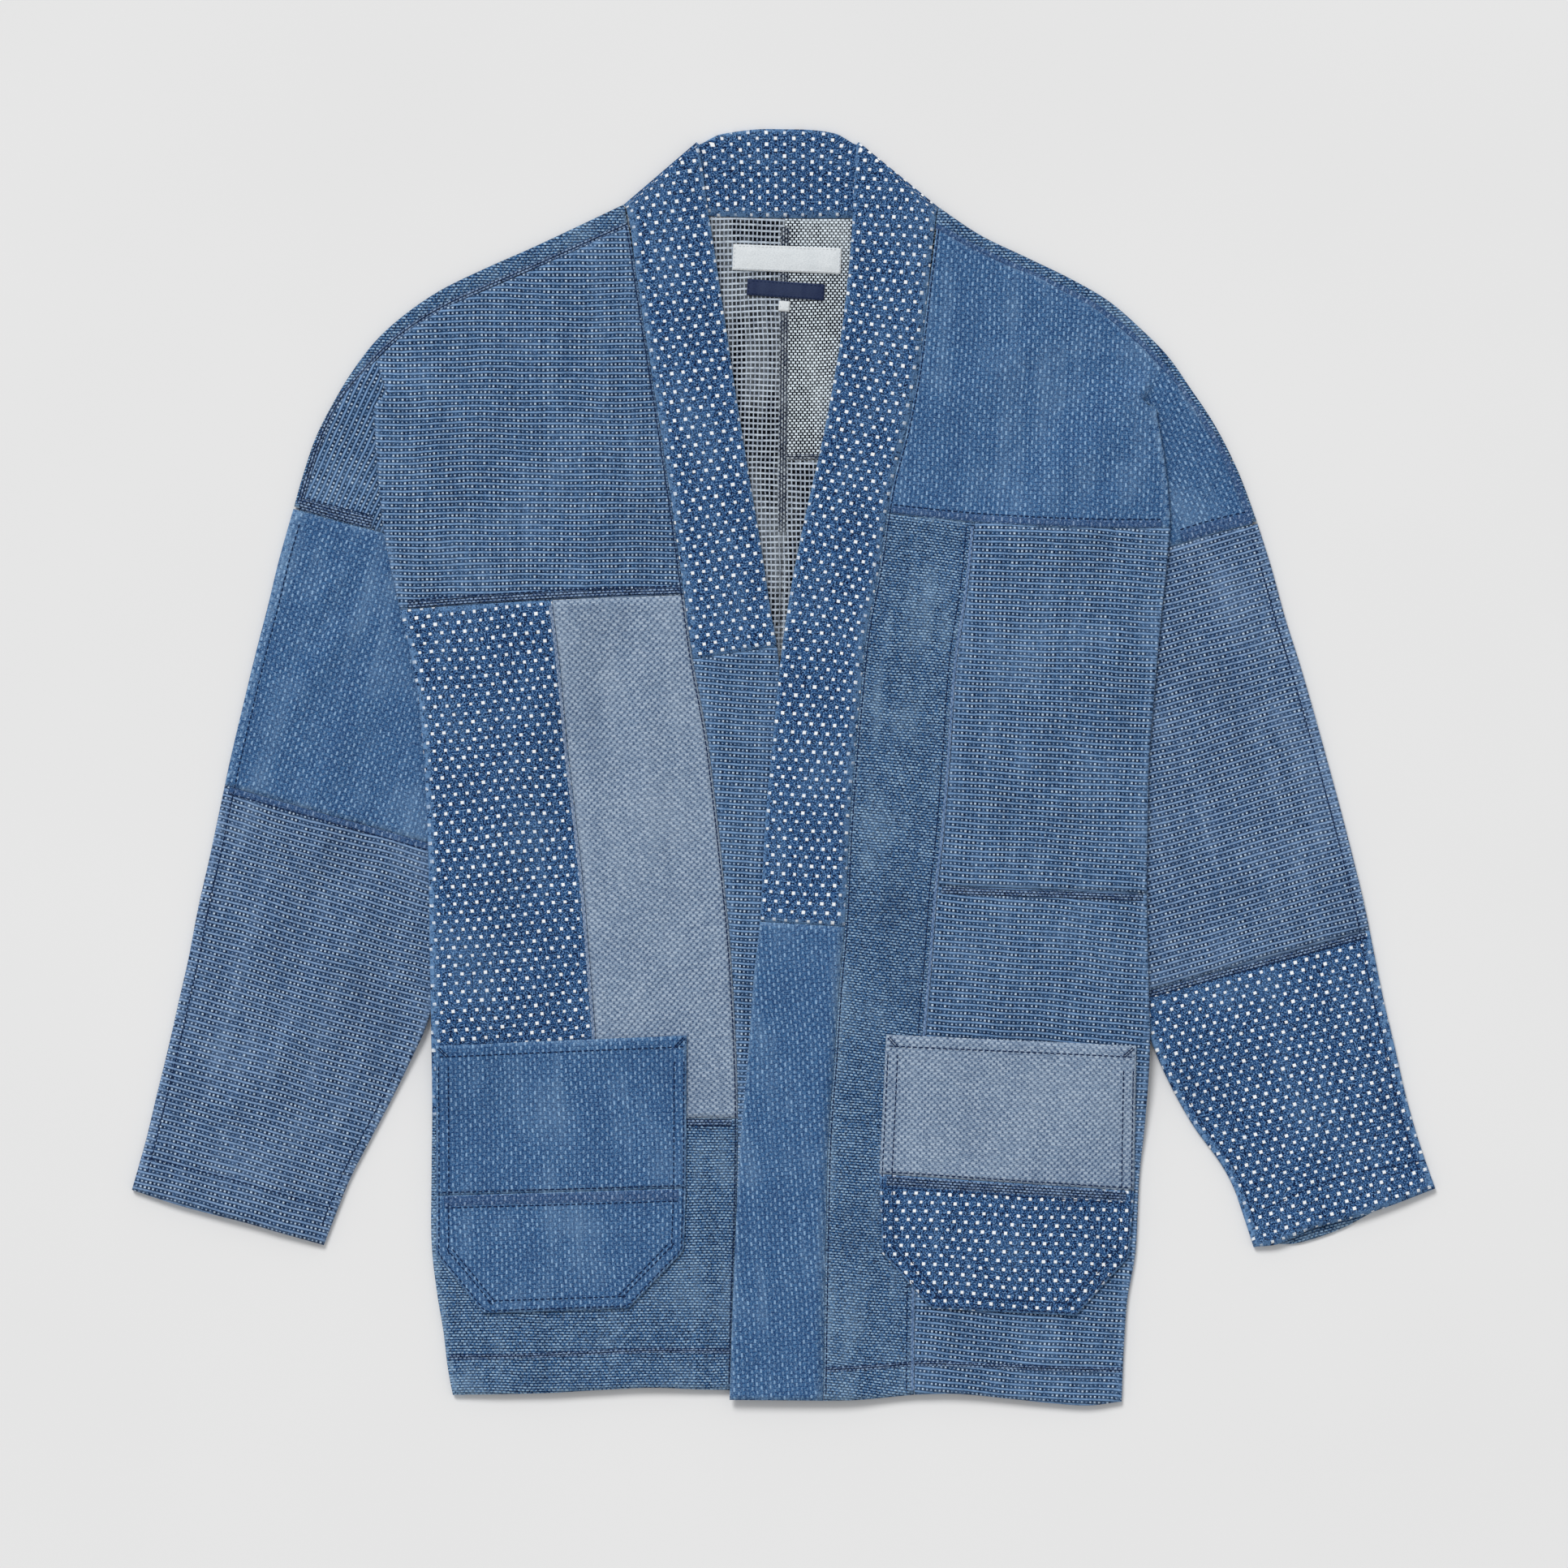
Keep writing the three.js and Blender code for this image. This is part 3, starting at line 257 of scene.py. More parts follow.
def turned(plan: np.ndarray, turn: float) -> np.ndarray:
    """Places in plan, turned clockwise about the origin by some degrees."""
    c, s = math.cos(math.radians(turn)), math.sin(math.radians(turn))
    return plan @ np.array([[c, -s], [s, c]])


@dataclass(frozen=True)
class Field:
    """A field of cloth between four lines: two that run down and two that run across."""

    left: Line
    right: Line
    top: Line
    bottom: Line

    @property
    def tall(self) -> float:
        """Its height in plan at its left side."""
        return abs(self.left[0, 1] - self.left[-1, 1])

    @property
    def wide(self) -> float:
        """Its width at its top."""
        return abs(self.right[0, 0] - self.left[0, 0])

    def places(self, u: np.ndarray, v: np.ndarray) -> np.ndarray:
        """Places in the field.

        Args:
            u: Shares across.
            v: Shares down.

        Returns:
            The places as a grid, rows down and columns across.
        """
        across, down = np.meshgrid(u, v)
        place = blend(at(self.left, v)[:, None], at(self.right, v)[:, None], across[..., None])
        down = down[..., None]
        return place + bow(self.top, across) * (1 - down) + bow(self.bottom, across) * down


@dataclass(frozen=True)
class Crease:
    """A soft ridge, or a trough where its height is below 0."""

    start: tuple[float, float]
    end: tuple[float, float]
    width: float
    height: float

    def lift(self, place: np.ndarray) -> np.ndarray:
        """How far the crease lifts the cloth.

        Args:
            place: Places in plan.

        Returns:
            The lift at each place.
        """
        x, y = place[..., 0] - self.start[0], place[..., 1] - self.start[1]
        span = np.subtract(self.end, self.start)
        share = np.clip((x * span[0] + y * span[1]) / (span @ span), 0, 1)
        distance = np.hypot(x - share * span[0], y - share * span[1])
        swell = 0.2 + 0.8 * np.sin(math.pi * share)
        return CREASE_DEPTH * self.height * np.exp(-((distance / self.width) ** 2)) * swell


@dataclass(frozen=True)
class Relief:
    """The creases of one layer of cloth, over slow waves."""

    creases: Sequence[Crease]
    phase: float = 0.0
    wave: float = 0.3
    ripple: float = 0.12

    def lift(self, place: np.ndarray) -> np.ndarray:
        """How far the layer is lifted.

        Args:
            place: Places in plan.

        Returns:
            The lift at each place.
        """
        x, y = place[..., 0], place[..., 1]
        total = self.wave * np.sin(x / 21 + y / 47 + self.phase) * np.sin(y / 29 - x / 63 + 1.3 * self.phase)
        total = total + self.ripple * np.sin(x / 7.5 - y / 17 + self.phase) * np.sin(y / 11 + x / 26)
        for crease in self.creases:
            total = total + crease.lift(place)
        return np.maximum(total, DEEPEST_TROUGH)


@dataclass(frozen=True)
class Outline:
    """The lines of one half of the jacket, from the neck down."""

    inward: int
    shoulder: Points
    shoulder_seam: Points
    apex: tuple[float, float]
    sleeve_exit: float
    fold: Points
    collar_seam: Points
    free: Points
    outer: Points
    armhole: Points
    armpit: tuple[float, float]
    underarm: Points
    cuff: Points
    cuff_back: Points
    elbow_outer: float
    elbow_inner: float
    yoke_fold: float
    yoke_collar: float
    yoke_rise: float
    hem: Points


RIGHT = Outline(
    inward=1,
    shoulder=((-108.5, 381.5), (-140, 366.5), (-171, 352), (-200.5, 339), (-231.5, 324), (-256, 307.5),
              (-276, 289.5), (-292.5, 268), (-306, 245.5), (-317, 223.5), (-325.5, 198.5), (-332, 175.5)),
    shoulder_seam=((-105.5, 367), (-150, 347), (-197, 326.5), (-228, 312.5), (-255, 295.5), (-276, 277),
                   (-299, 249), (-311, 226), (-320, 200), (-327.5, 174.2)),
    apex=(-276, 277),
    sleeve_exit=-172,
    fold=((-276, 277), (-277.5, 252), (-276.5, 226.5), (-273, 181), (-269, 151), (-259, 104), (-253, 78),
          (-247, 44), (-243, -2), (-240.5, -62), (-239.5, -123), (-238.5, -178), (-238, -227.5),
          (-238.5, -277), (-238.5, -321), (-235, -354), (-230.5, -381.5), (-227.5, -406.5), (-224, -425)),
    collar_seam=((-108.5, 381.5), (-104, 361), (-96.5, 311.5), (-89.5, 267.5), (-81, 212.5), (-74.5, 168.5),
                 (-67.5, 117), (-61.5, 73.5), (-52, 22.5), (-46, -24), (-41, -70), (-36.5, -115.5),
                 (-33.5, -161.5), (-31.5, -207), (-31, -249.5), (-32, -304.5), (-34, -359.5),
                 (-35.5, -421.5)),
    free=((-59, 424), (-54.5, 396.5), (-48.5, 361), (-41, 311.5), (-32, 251), (-24, 201.5), (-16, 154.5),
          (-9, 108), (-4.5, 82), (2.5, 25.5), (8.5, -29.5), (13.5, -84.5), (17.5, -139.5), (20, -194.5),
          (21, -249.5), (21, -304.5), (20.5, -359.5), (19.5, -421.5)),
    outer=((-332, 175.5), (-341.5, 142), (-349.5, 109), (-358, 76), (-366, 43), (-374.5, 7), (-381.5, -26),
           (-389, -61.5), (-396.5, -94.5), (-403, -128.5), (-410, -159.5), (-417, -190.5), (-424.5, -221),
           (-432, -252.5), (-441.5, -286)),
    armhole=((-332, 175.5), (-300, 166.5), (-271.5, 159), (-223, 143), (-150, 112)),
    armpit=(-150, 112),
    underarm=((-150, 112), (-171, 47.5), (-192, -18.5), (-215, -90), (-239, -167), (-251.5, -196),
              (-265, -223.5), (-280, -252), (-293, -277), (-302, -299), (-311.5, -323.5)),
    cuff=((-441.5, -286), (-407.5, -297), (-363.5, -308.5), (-341.5, -315), (-311.5, -323.5)),
    cuff_back=((-441.5, -285), (-407.5, -296), (-363.5, -307.5), (-341.5, -314), (-311.5, -322.5)),
    elbow_outer=-12,
    elbow_inner=-61,
    yoke_fold=106.5,
    yoke_collar=117,
    yoke_rise=1.4,
    hem=((-224, -425), (-190, -424.5), (-157, -423.5), (-124, -421.5), (-91, -420), (-58, -421),
         (-35.5, -421.5)),
)

LEFT = Outline(
    inward=-1,
    shoulder=((105.5, 379.5), (133, 361), (163, 346.5), (194, 331.5), (220.5, 316), (243.5, 296), (261, 278),
              (276, 256.5), (289.5, 236.5), (300.5, 216.5), (310.5, 194.5), (321, 165.5)),
    shoulder_seam=((102.8, 366), (131, 350.5), (160, 337), (191, 322.5), (217, 307.5), (239.5, 288.5),
                   (256, 271.5), (271.5, 251.5), (285, 232), (296.5, 212.5), (306, 192), (316.5, 164.3)),
    apex=(256, 271.5),
    sleeve_exit=-192,
    fold=((256, 271.5), (252.5, 256), (253, 238), (257, 215), (260.5, 186), (261.5, 163), (259, 132),
          (255, 96), (251, 50), (247.5, 7), (246.5, -35), (246, -84.5), (247, -139.5), (248, -189),
          (245, -238.5), (241, -277), (238.5, -326.5), (233, -359.5), (230.5, -392.5), (229, -429.5)),
    collar_seam=((105.5, 379.5), (103, 361), (97, 315.5), (91.5, 270), (83.5, 229), (73, 188), (65, 135.5),
                 (56.5, 91.5), (52.5, 53), (48, 3.5), (44.5, -46), (41.5, -107.5), (38, -145), (34.5, -197),
                 (30.5, -249.5), (29, -304.5), (28, -359.5), (27, -428.5)),
    free=((51, 424), (48.5, 391), (45.5, 352), (40, 300.5), (33.5, 259), (25.5, 218), (16, 176.5),
          (7.5, 135.5), (1.5, 99.5), (-3, 64), (-7.5, 17), (-12, -29.5), (-16, -104), (-20, -139.5),
          (-24, -194.5), (-29, -249.5), (-32, -304.5), (-34.5, -365), (-36.5, -428)),
    outer=((321, 165.5), (330.5, 135.5), (339.5, 102.5), (349.5, 71), (359, 38.5), (368, 6), (377, -27),
           (385.5, -60), (393.5, -93), (399.5, -123), (406.5, -157.5), (414, -189), (421, -220), (430, -252),
           (441.5, -285)),
    armhole=((321, 165.5), (290, 158), (262.5, 149.5), (211.5, 135), (131, 112)),
    armpit=(131, 112),
    underarm=((131, 112), (153.5, 47.5), (181, -18.5), (211.5, -93), (249, -186), (262.5, -216),
              (277.5, -242.5), (294, -265), (304, -282.5), (311, -302), (318.5, -325)),
    cuff=((441.5, -285), (410, -297), (385, -305), (359.5, -311.5), (345, -318), (332, -323.5),
          (318.5, -325)),
    cuff_back=((441.5, -286), (416.5, -294.5), (398.5, -303), (381, -312), (359, -320.5), (338.5, -326),
               (318.5, -326.5)),
    elbow_outer=-110,
    elbow_inner=-154,
    yoke_fold=162,
    yoke_collar=172.5,
    yoke_rise=-3.6,
    hem=((229, -429.5), (208.5, -432), (184, -430.5), (151, -427), (118, -424), (88.5, -424.5), (52, -428),
         (27, -428.5)),
)


class Half:
    """One half of the jacket: its lines and the heights of its layers, as the solids have them."""

    def __init__(self, shape: Outline, front: Relief, sleeve: Relief) -> None:
        """Makes the lines.

        Args:
            shape: The half's outline.
            front: The creases of its front.
            sleeve: The creases of its sleeve.
        """
        self.shape = shape
        self.inward = shape.inward
        self.front_relief = front
        self.sleeve_relief = sleeve
        self.shoulder = smooth(shape.shoulder)
        self.shoulder_seam = smooth(shape.shoulder_seam)
        self.fold = smooth(shape.fold)
        self.collar_seam = smooth(shape.collar_seam)
        self.free = smooth(shape.free)
        self.outer = smooth(shape.outer)
        self.armhole = smooth(shape.armhole)
        self.underarm = smooth(shape.underarm)
        self.cuff = smooth(shape.cuff)
        self.hem = smooth(shape.hem)
        along = np.linspace(0, 1, 401)
        past = (shape.apex[0] - at(self.shoulder_seam, along)[:, 0]) * self.inward > 0
        self.apex_share = float(along[np.argmax(past)])
        self.hidden = np.vstack([straight((shape.apex, shape.armpit)), self.underarm[1:]])
        self.yoke_hem = self.across(shape.yoke_fold, shape.yoke_collar, shape.yoke_rise)

    def across(self, fold_y: float, collar_y: float, rise: float = 0.0) -> Line:
        """A seam from the side fold to the collar.

        Args:
            fold_y: Its height in plan at the fold.
            collar_y: Its height in plan at the collar.
            rise: How far its middle rises.

        Returns:
            The seam's line.
        """
        start = np.array([x_at(self.fold, fold_y), fold_y])
        end = np.array([x_at(self.collar_seam, collar_y), collar_y])
        return cross_seam(start, end, rise)

    def inset(self, line: Line, distance: float) -> Line:
        """A line that runs down, moved towards the jacket's middle."""
        return shifted(line, -distance * self.inward)

    def inside(self, place: np.ndarray) -> np.ndarray:
        """How far places lie inside the side fold, below 0 outside it."""
        return (place[..., 0] - x_at(self.fold, place[..., 1])) * self.inward

    def stacked(self, y: np.ndarray) -> np.ndarray:
        """The share of the sleeve's thickness that lies under the front.

        Args:
            y: Heights in plan.

        Returns:
            Shares from 0 to 1.
        """
        apex_y = self.shape.apex[1]
        upper = 1 - ease(y, apex_y - APEX_FADE, apex_y)
        return upper * ease(y, self.shape.sleeve_exit - EXIT_LENGTH, self.shape.sleeve_exit)

    def return_end(self, y: np.ndarray) -> np.ndarray:
        """How far inside the fold the front's side return ends."""
        hidden = (x_at(self.hidden, y) - x_at(self.fold, y)) * self.inward
        return np.maximum(hidden, RETURN + 2)

    def front_height(self, place: np.ndarray) -> np.ndarray:
        """The level of the middle of the front's cloth.

        Args:
            place: Places in plan.

        Returns:
            The levels.
        """
        x, y = place[..., 0], place[..., 1]
        bound = np.where(y > self.shape.apex[1], x_at(self.shoulder_seam, y), x_at(self.fold, y))
        span = (x_at(self.collar_seam, y) - bound) * self.inward
        share = np.clip((x - bound) * self.inward / np.maximum(span, 1), 0, 1)
        puff = PUFF * 4 * share * (1 - share) * np.minimum(1, span / 150)
        depth = self.inside(place) - self.return_end(y)
        lift = FRONT_LIFT * self.stacked(y) * (1 - ease(depth, 0, FADE))
        quiet = ease((x_at(self.collar_seam, y) - x) * self.inward, 0, 14)
        relief = self.front_relief.lift(place) * quiet
        return TOP_LEVEL + (COLLAR_LEVEL - TOP_LEVEL) * share + puff + lift + self.lap(place) + relief

    def lap(self, place: np.ndarray) -> np.ndarray:
        """How far the left front rides over the right one at the collar.

        Args:
            place: Places in plan.

        Returns:
            The rise.
        """
        x, y = place[..., 0], place[..., 1]
        if self.inward > 0:
            return np.zeros(x.shape)
        rise = COLLAR_OVERLAP * (1 - ease(y, LAP_BOTTOM, LAP_TOP))
        return rise * (1 - ease(x - x_at(self.collar_seam, y), 0, FADE))

    def return_height(self, y: np.ndarray) -> np.ndarray:
        """The level of the ply that turns under at the side."""
        return FLOOR_LEVEL + FRONT_LIFT * self.stacked(y)

    def sleeve_rise(self, place: np.ndarray) -> np.ndarray:
        """How far the sleeve climbs on to the back panel."""
        return PITCH * ease(self.inside(place), -RAMP - 5, -5) * self.stacked(place[..., 1])

    def sleeve_height(self, place: np.ndarray) -> np.ndarray:
        """The level of the middle of the sleeve's front cloth.

        Args:
            place: Places in plan.

        Returns:
            The levels.
        """
        x, y = place[..., 0], place[..., 1]
        start = np.where(y > self.outer[0, 1], x_at(self.shoulder_seam, y), x_at(self.outer, y))
        body_edge = self.inward * x_at(self.fold, y) - 10
        open_edge = self.inward * x_at(self.underarm, y)
        span = np.minimum(body_edge, open_edge) - self.inward * start
        share = np.clip((x - start) * self.inward / np.maximum(span, 1), 0, 1)
        puff = PUFF * 4 * share * (1 - share) * np.clip(span / 120, 0, 1)
        quiet = (1 - ease(self.inside(place), -32, -9) * self.stacked(y)) * np.sin(math.pi * share) ** 0.5
        return TOP_LEVEL + puff + self.sleeve_rise(place) + self.sleeve_relief.lift(place) * quiet

    def sleeve_back_height(self, place: np.ndarray) -> np.ndarray:
        """The level of the middle of the sleeve's back cloth."""
        return FLOOR_LEVEL + self.sleeve_rise(place)

    def front_top(self, place: np.ndarray) -> np.ndarray:
        """The level of the front's upper face."""
        return self.front_height(place) + CLOTH / 2

    def sleeve_top(self, place: np.ndarray) -> np.ndarray:
        """The level of the sleeve's upper face."""
        return self.sleeve_height(place) + CLOTH / 2

    def seam_top(self, place: np.ndarray) -> np.ndarray:
        """The level of the upper face at the shoulder seam."""
        return np.full(place.shape[:-1], TOP_LEVEL + CLOTH / 2)


# Meshes


def plan_uv(rows: np.ndarray, first: int = 0, last: int | None = None, turn: float = 0.0) -> np.ndarray:
    """Texture places that follow the cloth round its folds.

    Args:
        rows: The grid of points.
        first: The first column of the upper ply.
        last: The last column of the upper ply, or None for the last of all.
        turn: How far the cloth's grain is turned, in degrees.

    Returns:
        The texture places, in millimetres along the cloth.
    """
    plan = rows[..., :2].copy()
    width = rows.shape[1]
    last = width - 1 if last is None else last
    steps = np.linalg.norm(np.diff(rows, axis=1), axis=-1)[..., None]
    if first > 0:
        ahead = plan[:, first + 1] - plan[:, first]
        ahead /= np.linalg.norm(ahead, axis=-1, keepdims=True)
        for j in range(first - 1, -1, -1):
            plan[:, j] = plan[:, j + 1] - ahead * steps[:, j]
    if last < width - 1:
        ahead = plan[:, last] - plan[:, last - 1]
        ahead /= np.linalg.norm(ahead, axis=-1, keepdims=True)
        for j in range(last + 1, width):
            plan[:, j] = plan[:, j - 1] + ahead * steps[:, j - 1]
    return turned(plan, turn)


def rim_mask(rows: np.ndarray, first: int = 0, last: int | None = None) -> np.ndarray:
    """Marks the borders of a piece's upper ply, where its cloth is folded and worn.

    Args:
        rows: The grid of points.
        first: The first column of the upper ply.
        last: The last column of the upper ply, or None for the last of all.

    Returns:
        1 on the borders and 0 elsewhere.
    """
    mask = np.zeros(rows.shape[:2])
    mask[0], mask[-1] = 1, 1
    mask[:, : first + 1] = 1
    mask[:, rows.shape[1] - 1 if last is None else last :] = 1
    return mask


def mesh_object(name: str, points: np.ndarray, faces: np.ndarray, uv: np.ndarray, edge: np.ndarray) -> Piece:
    """Makes a mesh object, linked to the scene.

    Args:
        name: The object's name.
        points: Its points, in millimetres.
        faces: Four point numbers for each face.
        uv: A texture place for each point, in millimetres.
        edge: How near each point is to an edge, from 0 to 1.

    Returns:
        The object.
    """
    mesh = bpy.data.meshes.new(name)
    mesh.from_pydata((points * MM).tolist(), [], faces.tolist())
    layer = mesh.uv_layers.new(name="Cloth")
    corners = np.empty(len(mesh.loops), np.int32)
    mesh.loops.foreach_get("vertex_index", corners)
    layer.data.foreach_set("uv", (uv[corners] * MM).astype(np.float32).ravel())
    attribute = mesh.attributes.new("edge", "FLOAT", "POINT")
    attribute.data.foreach_set("value", edge.astype(np.float32).ravel())
    mesh.polygons.foreach_set("use_smooth", np.ones(len(mesh.polygons), bool))
    mesh.update()
    obj = bpy.data.objects.new(name, mesh)
    bpy.context.scene.collection.objects.link(obj)
    return obj


def grid_faces(height: int, width: int, start: int = 0) -> np.ndarray:
    """The faces of a grid of points.

    Args:
        height: Its rows.
        width: Its columns.
        start: The number of its first point.

    Returns:
        Four point numbers for each face.
    """
    index = np.arange(height * width).reshape(height, width) + start
    corners = [index[:-1, :-1], index[:-1, 1:], index[1:, 1:], index[1:, :-1]]
    return np.stack([c.ravel() for c in corners], axis=1)


def facing_up(points: np.ndarray, faces: np.ndarray) -> np.ndarray:
    """Turns the faces of an open strip over where the first one looks down."""
    a, b, c = points[faces[0, :3]]
    return faces[:, ::-1] if np.cross(b - a, c - a)[2] < 0 else faces


def shell(name: str, rows: np.ndarray, uv: np.ndarray, edge: np.ndarray, thickness: float = CLOTH) -> Piece:
    """Makes a closed shell of cloth round a grid of points.

    Args:
        name: The object's name.
        rows: The points of the middle of the cloth.
        uv: Their texture places.
        edge: How near each is to an edge.
        thickness: The cloth's thickness.

    Returns:
        The object.
    """
    height, width = rows.shape[:2]
    padded = np.pad(rows, ((1, 1), (1, 1), (0, 0)), mode="edge")
    down = padded[2:, 1:-1] - padded[:-2, 1:-1]
    across = padded[1:-1, 2:] - padded[1:-1, :-2]
    normal = np.cross(across, down)
    normal /= np.linalg.norm(normal, axis=-1, keepdims=True)
    points = np.concatenate([(rows + normal * side * thickness / 2).reshape(-1, 3) for side in (1, -1)])
    count = height * width
    upper = grid_faces(height, width)
    lower = grid_faces(height, width, count)[:, ::-1]
    index = np.arange(count).reshape(height, width)
    ring = np.concatenate([index[0, :-1], index[:-1, -1], index[-1, :0:-1], index[:0:-1, 0]])
    after = np.roll(ring, -1)
    rim = np.stack([ring, ring + count, after + count, after], axis=1)
    faces = np.concatenate([upper, lower, rim])
    a, b, c, d = (points[faces[:, k]] for k in range(4))
    volume = np.einsum("ij,ij->", a, np.cross(b, c)) + np.einsum("ij,ij->", a, np.cross(c, d))
    if volume < 0:
        faces = faces[:, ::-1]
    obj = mesh_object(name, points, faces, np.tile(uv.reshape(-1, 2), (2, 1)), np.tile(edge.ravel(), 2))
    flat = np.ones(len(faces), bool)
    flat[len(upper) + len(lower) :] = False
    obj.data.polygons.foreach_set("use_smooth", flat)
    return obj


RIDGE_CELL = 2.5
RIDGE_WAVE = 5.2
RIDGE_ACROSS = np.array([-0.5, -0.42, -0.25, 0.0, 0.25, 0.42, 0.5])
RIDGE_PROFILE = np.array([-0.25, 0.6, 0.95, 1.0, 0.95, 0.6, -0.25])


def ridge(name: str, line: Line, surface: Surface, width: float, height: float) -> Piece:
    """Makes the raised band of a seam's folded allowance, lying on a surface.

    Args:
        name: The object's name.
        line: The band's middle line in plan.
        surface: The level of what it lies on.
        width: The band's width.
        height: How far its middle stands up.

    Returns:
        The object.
    """
    total = lengths(line)[-1]
    share = np.linspace(0, 1, max(4, round(total / RIDGE_CELL)) + 1)
    across = RIDGE_ACROSS * width
    place = at(line, share)[:, None] + outward(line, share)[:, None] * across[None, :, None]
    pull = 0.12 * height * np.sin(share * total * 2 * math.pi / RIDGE_WAVE)[:, None]
    points = laid(place, surface, RIDGE_PROFILE * height + pull)
    uv = np.stack(np.broadcast_arrays(share[:, None] * total, across[None]), axis=-1)
    flat = points.reshape(-1, 3)
    faces = facing_up(flat, grid_faces(*points.shape[:2]))
    return mesh_object(name, flat, faces, uv.reshape(-1, 2), np.zeros(len(flat)))


@dataclass(frozen=True)
class Thread:
    """A row of stitches: the length and width of one, and the gap to the next."""

    length: float = 2.9
    gap: float = 1.1
    width: float = 0.95
    height: float = 0.45


STITCH_ALONG = (-0.5, -0.36, 0.0, 0.36, 0.5)
STITCH_SWELL = (0.35, 0.95, 1.0, 0.95, 0.35)
STITCH_ACROSS = (-0.4, -0.2, 0.2, 0.4)
STITCH_SUNK = 0.15


def stitches_and_painted_shadow(name: str, lines: Sequence[Line], surface: Surface, thread: Thread) -> Piece:
    """Makes rows of stitches that lie on a surface.

    Args:
        name: The object's name.
        lines: The rows in plan.
        surface: The level of what they lie on.
        thread: The size of the stitches.

    Returns:
        One object with all the stitches.
    """
    points, faces = [], []
    for line in lines:
        count = max(1, int(lengths(line)[-1] / (thread.length + thread.gap)))
        centre = (np.arange(count) + 0.5) / count
        middle, side = at(line, centre), outward(line, centre)
        ahead = np.stack([-side[:, 1], side[:, 0]], axis=-1)
        ahead = ahead + side * 0.05 * np.sin(np.arange(count) * 2.4)[:, None]
        for k in range(count):
            faces.append(grid_faces(len(STITCH_ALONG), len(STITCH_ACROSS), len(points)))
            for step, size in zip(STITCH_ALONG, STITCH_SWELL):
                base = middle[k] + ahead[k] * step * thread.length
                z = float(surface(base))
                half = side[k] * thread.width / 2 * size
                top = z + thread.height * size
                points += [(*(base - half), z - STITCH_SUNK), (*(base - half * 0.6), top),
                           (*(base + half * 0.6), top), (*(base + half), z - STITCH_SUNK)]
    found = np.array(points)
    uv = np.array([(step * thread.length, place) for step in STITCH_ALONG for place in STITCH_ACROSS])
    uvs = np.tile(uv, (len(faces), 1))
    return mesh_object(name, found, facing_up(found, np.concatenate(faces)), uvs, np.zeros(len(found)))


def panel(name: str, place: np.ndarray, height: Surface, turn: float) -> Piece:
    """Makes a plain panel from its places in plan.

    Args:
        name: The object's name.
        place: The grid of places.
        height: The level of the cloth's middle.
        turn: The turn of its grain, in degrees.

    Returns:
        The object.
    """
    rows = laid(place, height)
    return shell(name, rows, plan_uv(rows, turn=turn), rim_mask(rows))


def bend_points(centre: np.ndarray, direction: np.ndarray, low: np.ndarray,
                high: np.ndarray) -> list[np.ndarray]:
    """Points round the bend from a lower ply to an upper one.

    Args:
        centre: Where the bend's cloth starts, for each row.
        direction: The way out, for each row.
        low: The lower level.
        high: The upper level.

    Returns:
        One column of points for each step inside the bend.
    """
    columns = []
    for k in range(1, BEND_STEPS):
        angle = math.pi * k / BEND_STEPS - math.pi / 2
        z = (low + high) / 2 + (high - low) / 2 * math.sin(angle)
        columns.append(lifted(centre + direction * BEND * math.cos(angle), z))
    return columns


def folded_panel(half: Half, name: str, area: Field, turn: float, return_top: float | None = None) -> Piece:
    """Makes a front panel whose outer side turns under and runs back below it.

    Args:
        half: The half it belongs to.
        name: The object's name.
        area: Its field, with its fold at the left.
        turn: The turn of its grain, in degrees.
        return_top: Where the ply below starts in plan, or None for the fold's own start.

    Returns:
        The object.
    """
    inset = half.inset(area.left, EDGE)
    y = np.linspace(area.left[0, 1] if return_top is None else return_top, area.left[-1, 1], 60)
    inner = np.stack([x_at(half.fold, y) + (half.return_end(y) - 2) * half.inward, y], axis=-1)
    v = gapped(shares(area.tall), area.tall)
    u = shares(area.wide) * (1 - SEAM / 2 / area.wide)
    centre, end = at(inset, v), at(inner, v)
    direction = outward(area.left, v) * half.inward
    low = half.return_height(centre[:, 1])
    columns = []
    reach = max(3, round(float(np.max(np.linalg.norm(end - centre, axis=1))) / 9))
    for k in range(reach):
        place = end + (centre - end) * k / reach
        columns.append(lifted(place, half.return_height(place[:, 1])))
    columns.append(lifted(centre, low))
    columns += bend_points(centre, direction, low, half.front_height(centre))
    first = len(columns)
    upper = laid(Field(inset, area.right, area.top, area.bottom).places(u, v), half.front_height)
    rows = np.concatenate([np.stack(columns, axis=1), upper], axis=1)
    return shell(name, rows, plan_uv(rows, first, turn=turn), rim_mask(rows, first))


def flat_panel(half: Half, name: str, area: Field, turn: float) -> Piece:
    """Makes a front panel between four seams.

    Args:
        half: The half it belongs to.
        name: The object's name.
        area: Its field.
        turn: The turn of its grain, in degrees.

    Returns:
        The object.
    """
    u, v = gapped(shares(area.wide), area.wide), gapped(shares(area.tall), area.tall)
    return panel(name, area.places(u, v), half.front_height, turn)


# Materials


class Cloth(Enum):
    """The cloths that the jacket is pieced from, by the record's slots."""

    DOTS = "dot_cloth"
    GRID = "grid_cloth"
    PALE = "pale_cloth"
    FINE = "fine_cloth"
    BLUE = "blue_cloth"
    INSIDE = "inside_cloth"
    NET = "net_cloth"
    WHITE = "white_label"
    NAVY = "navy_label"


Socket = bpy.types.NodeSocket
Value = Socket | float | tuple[float, ...]


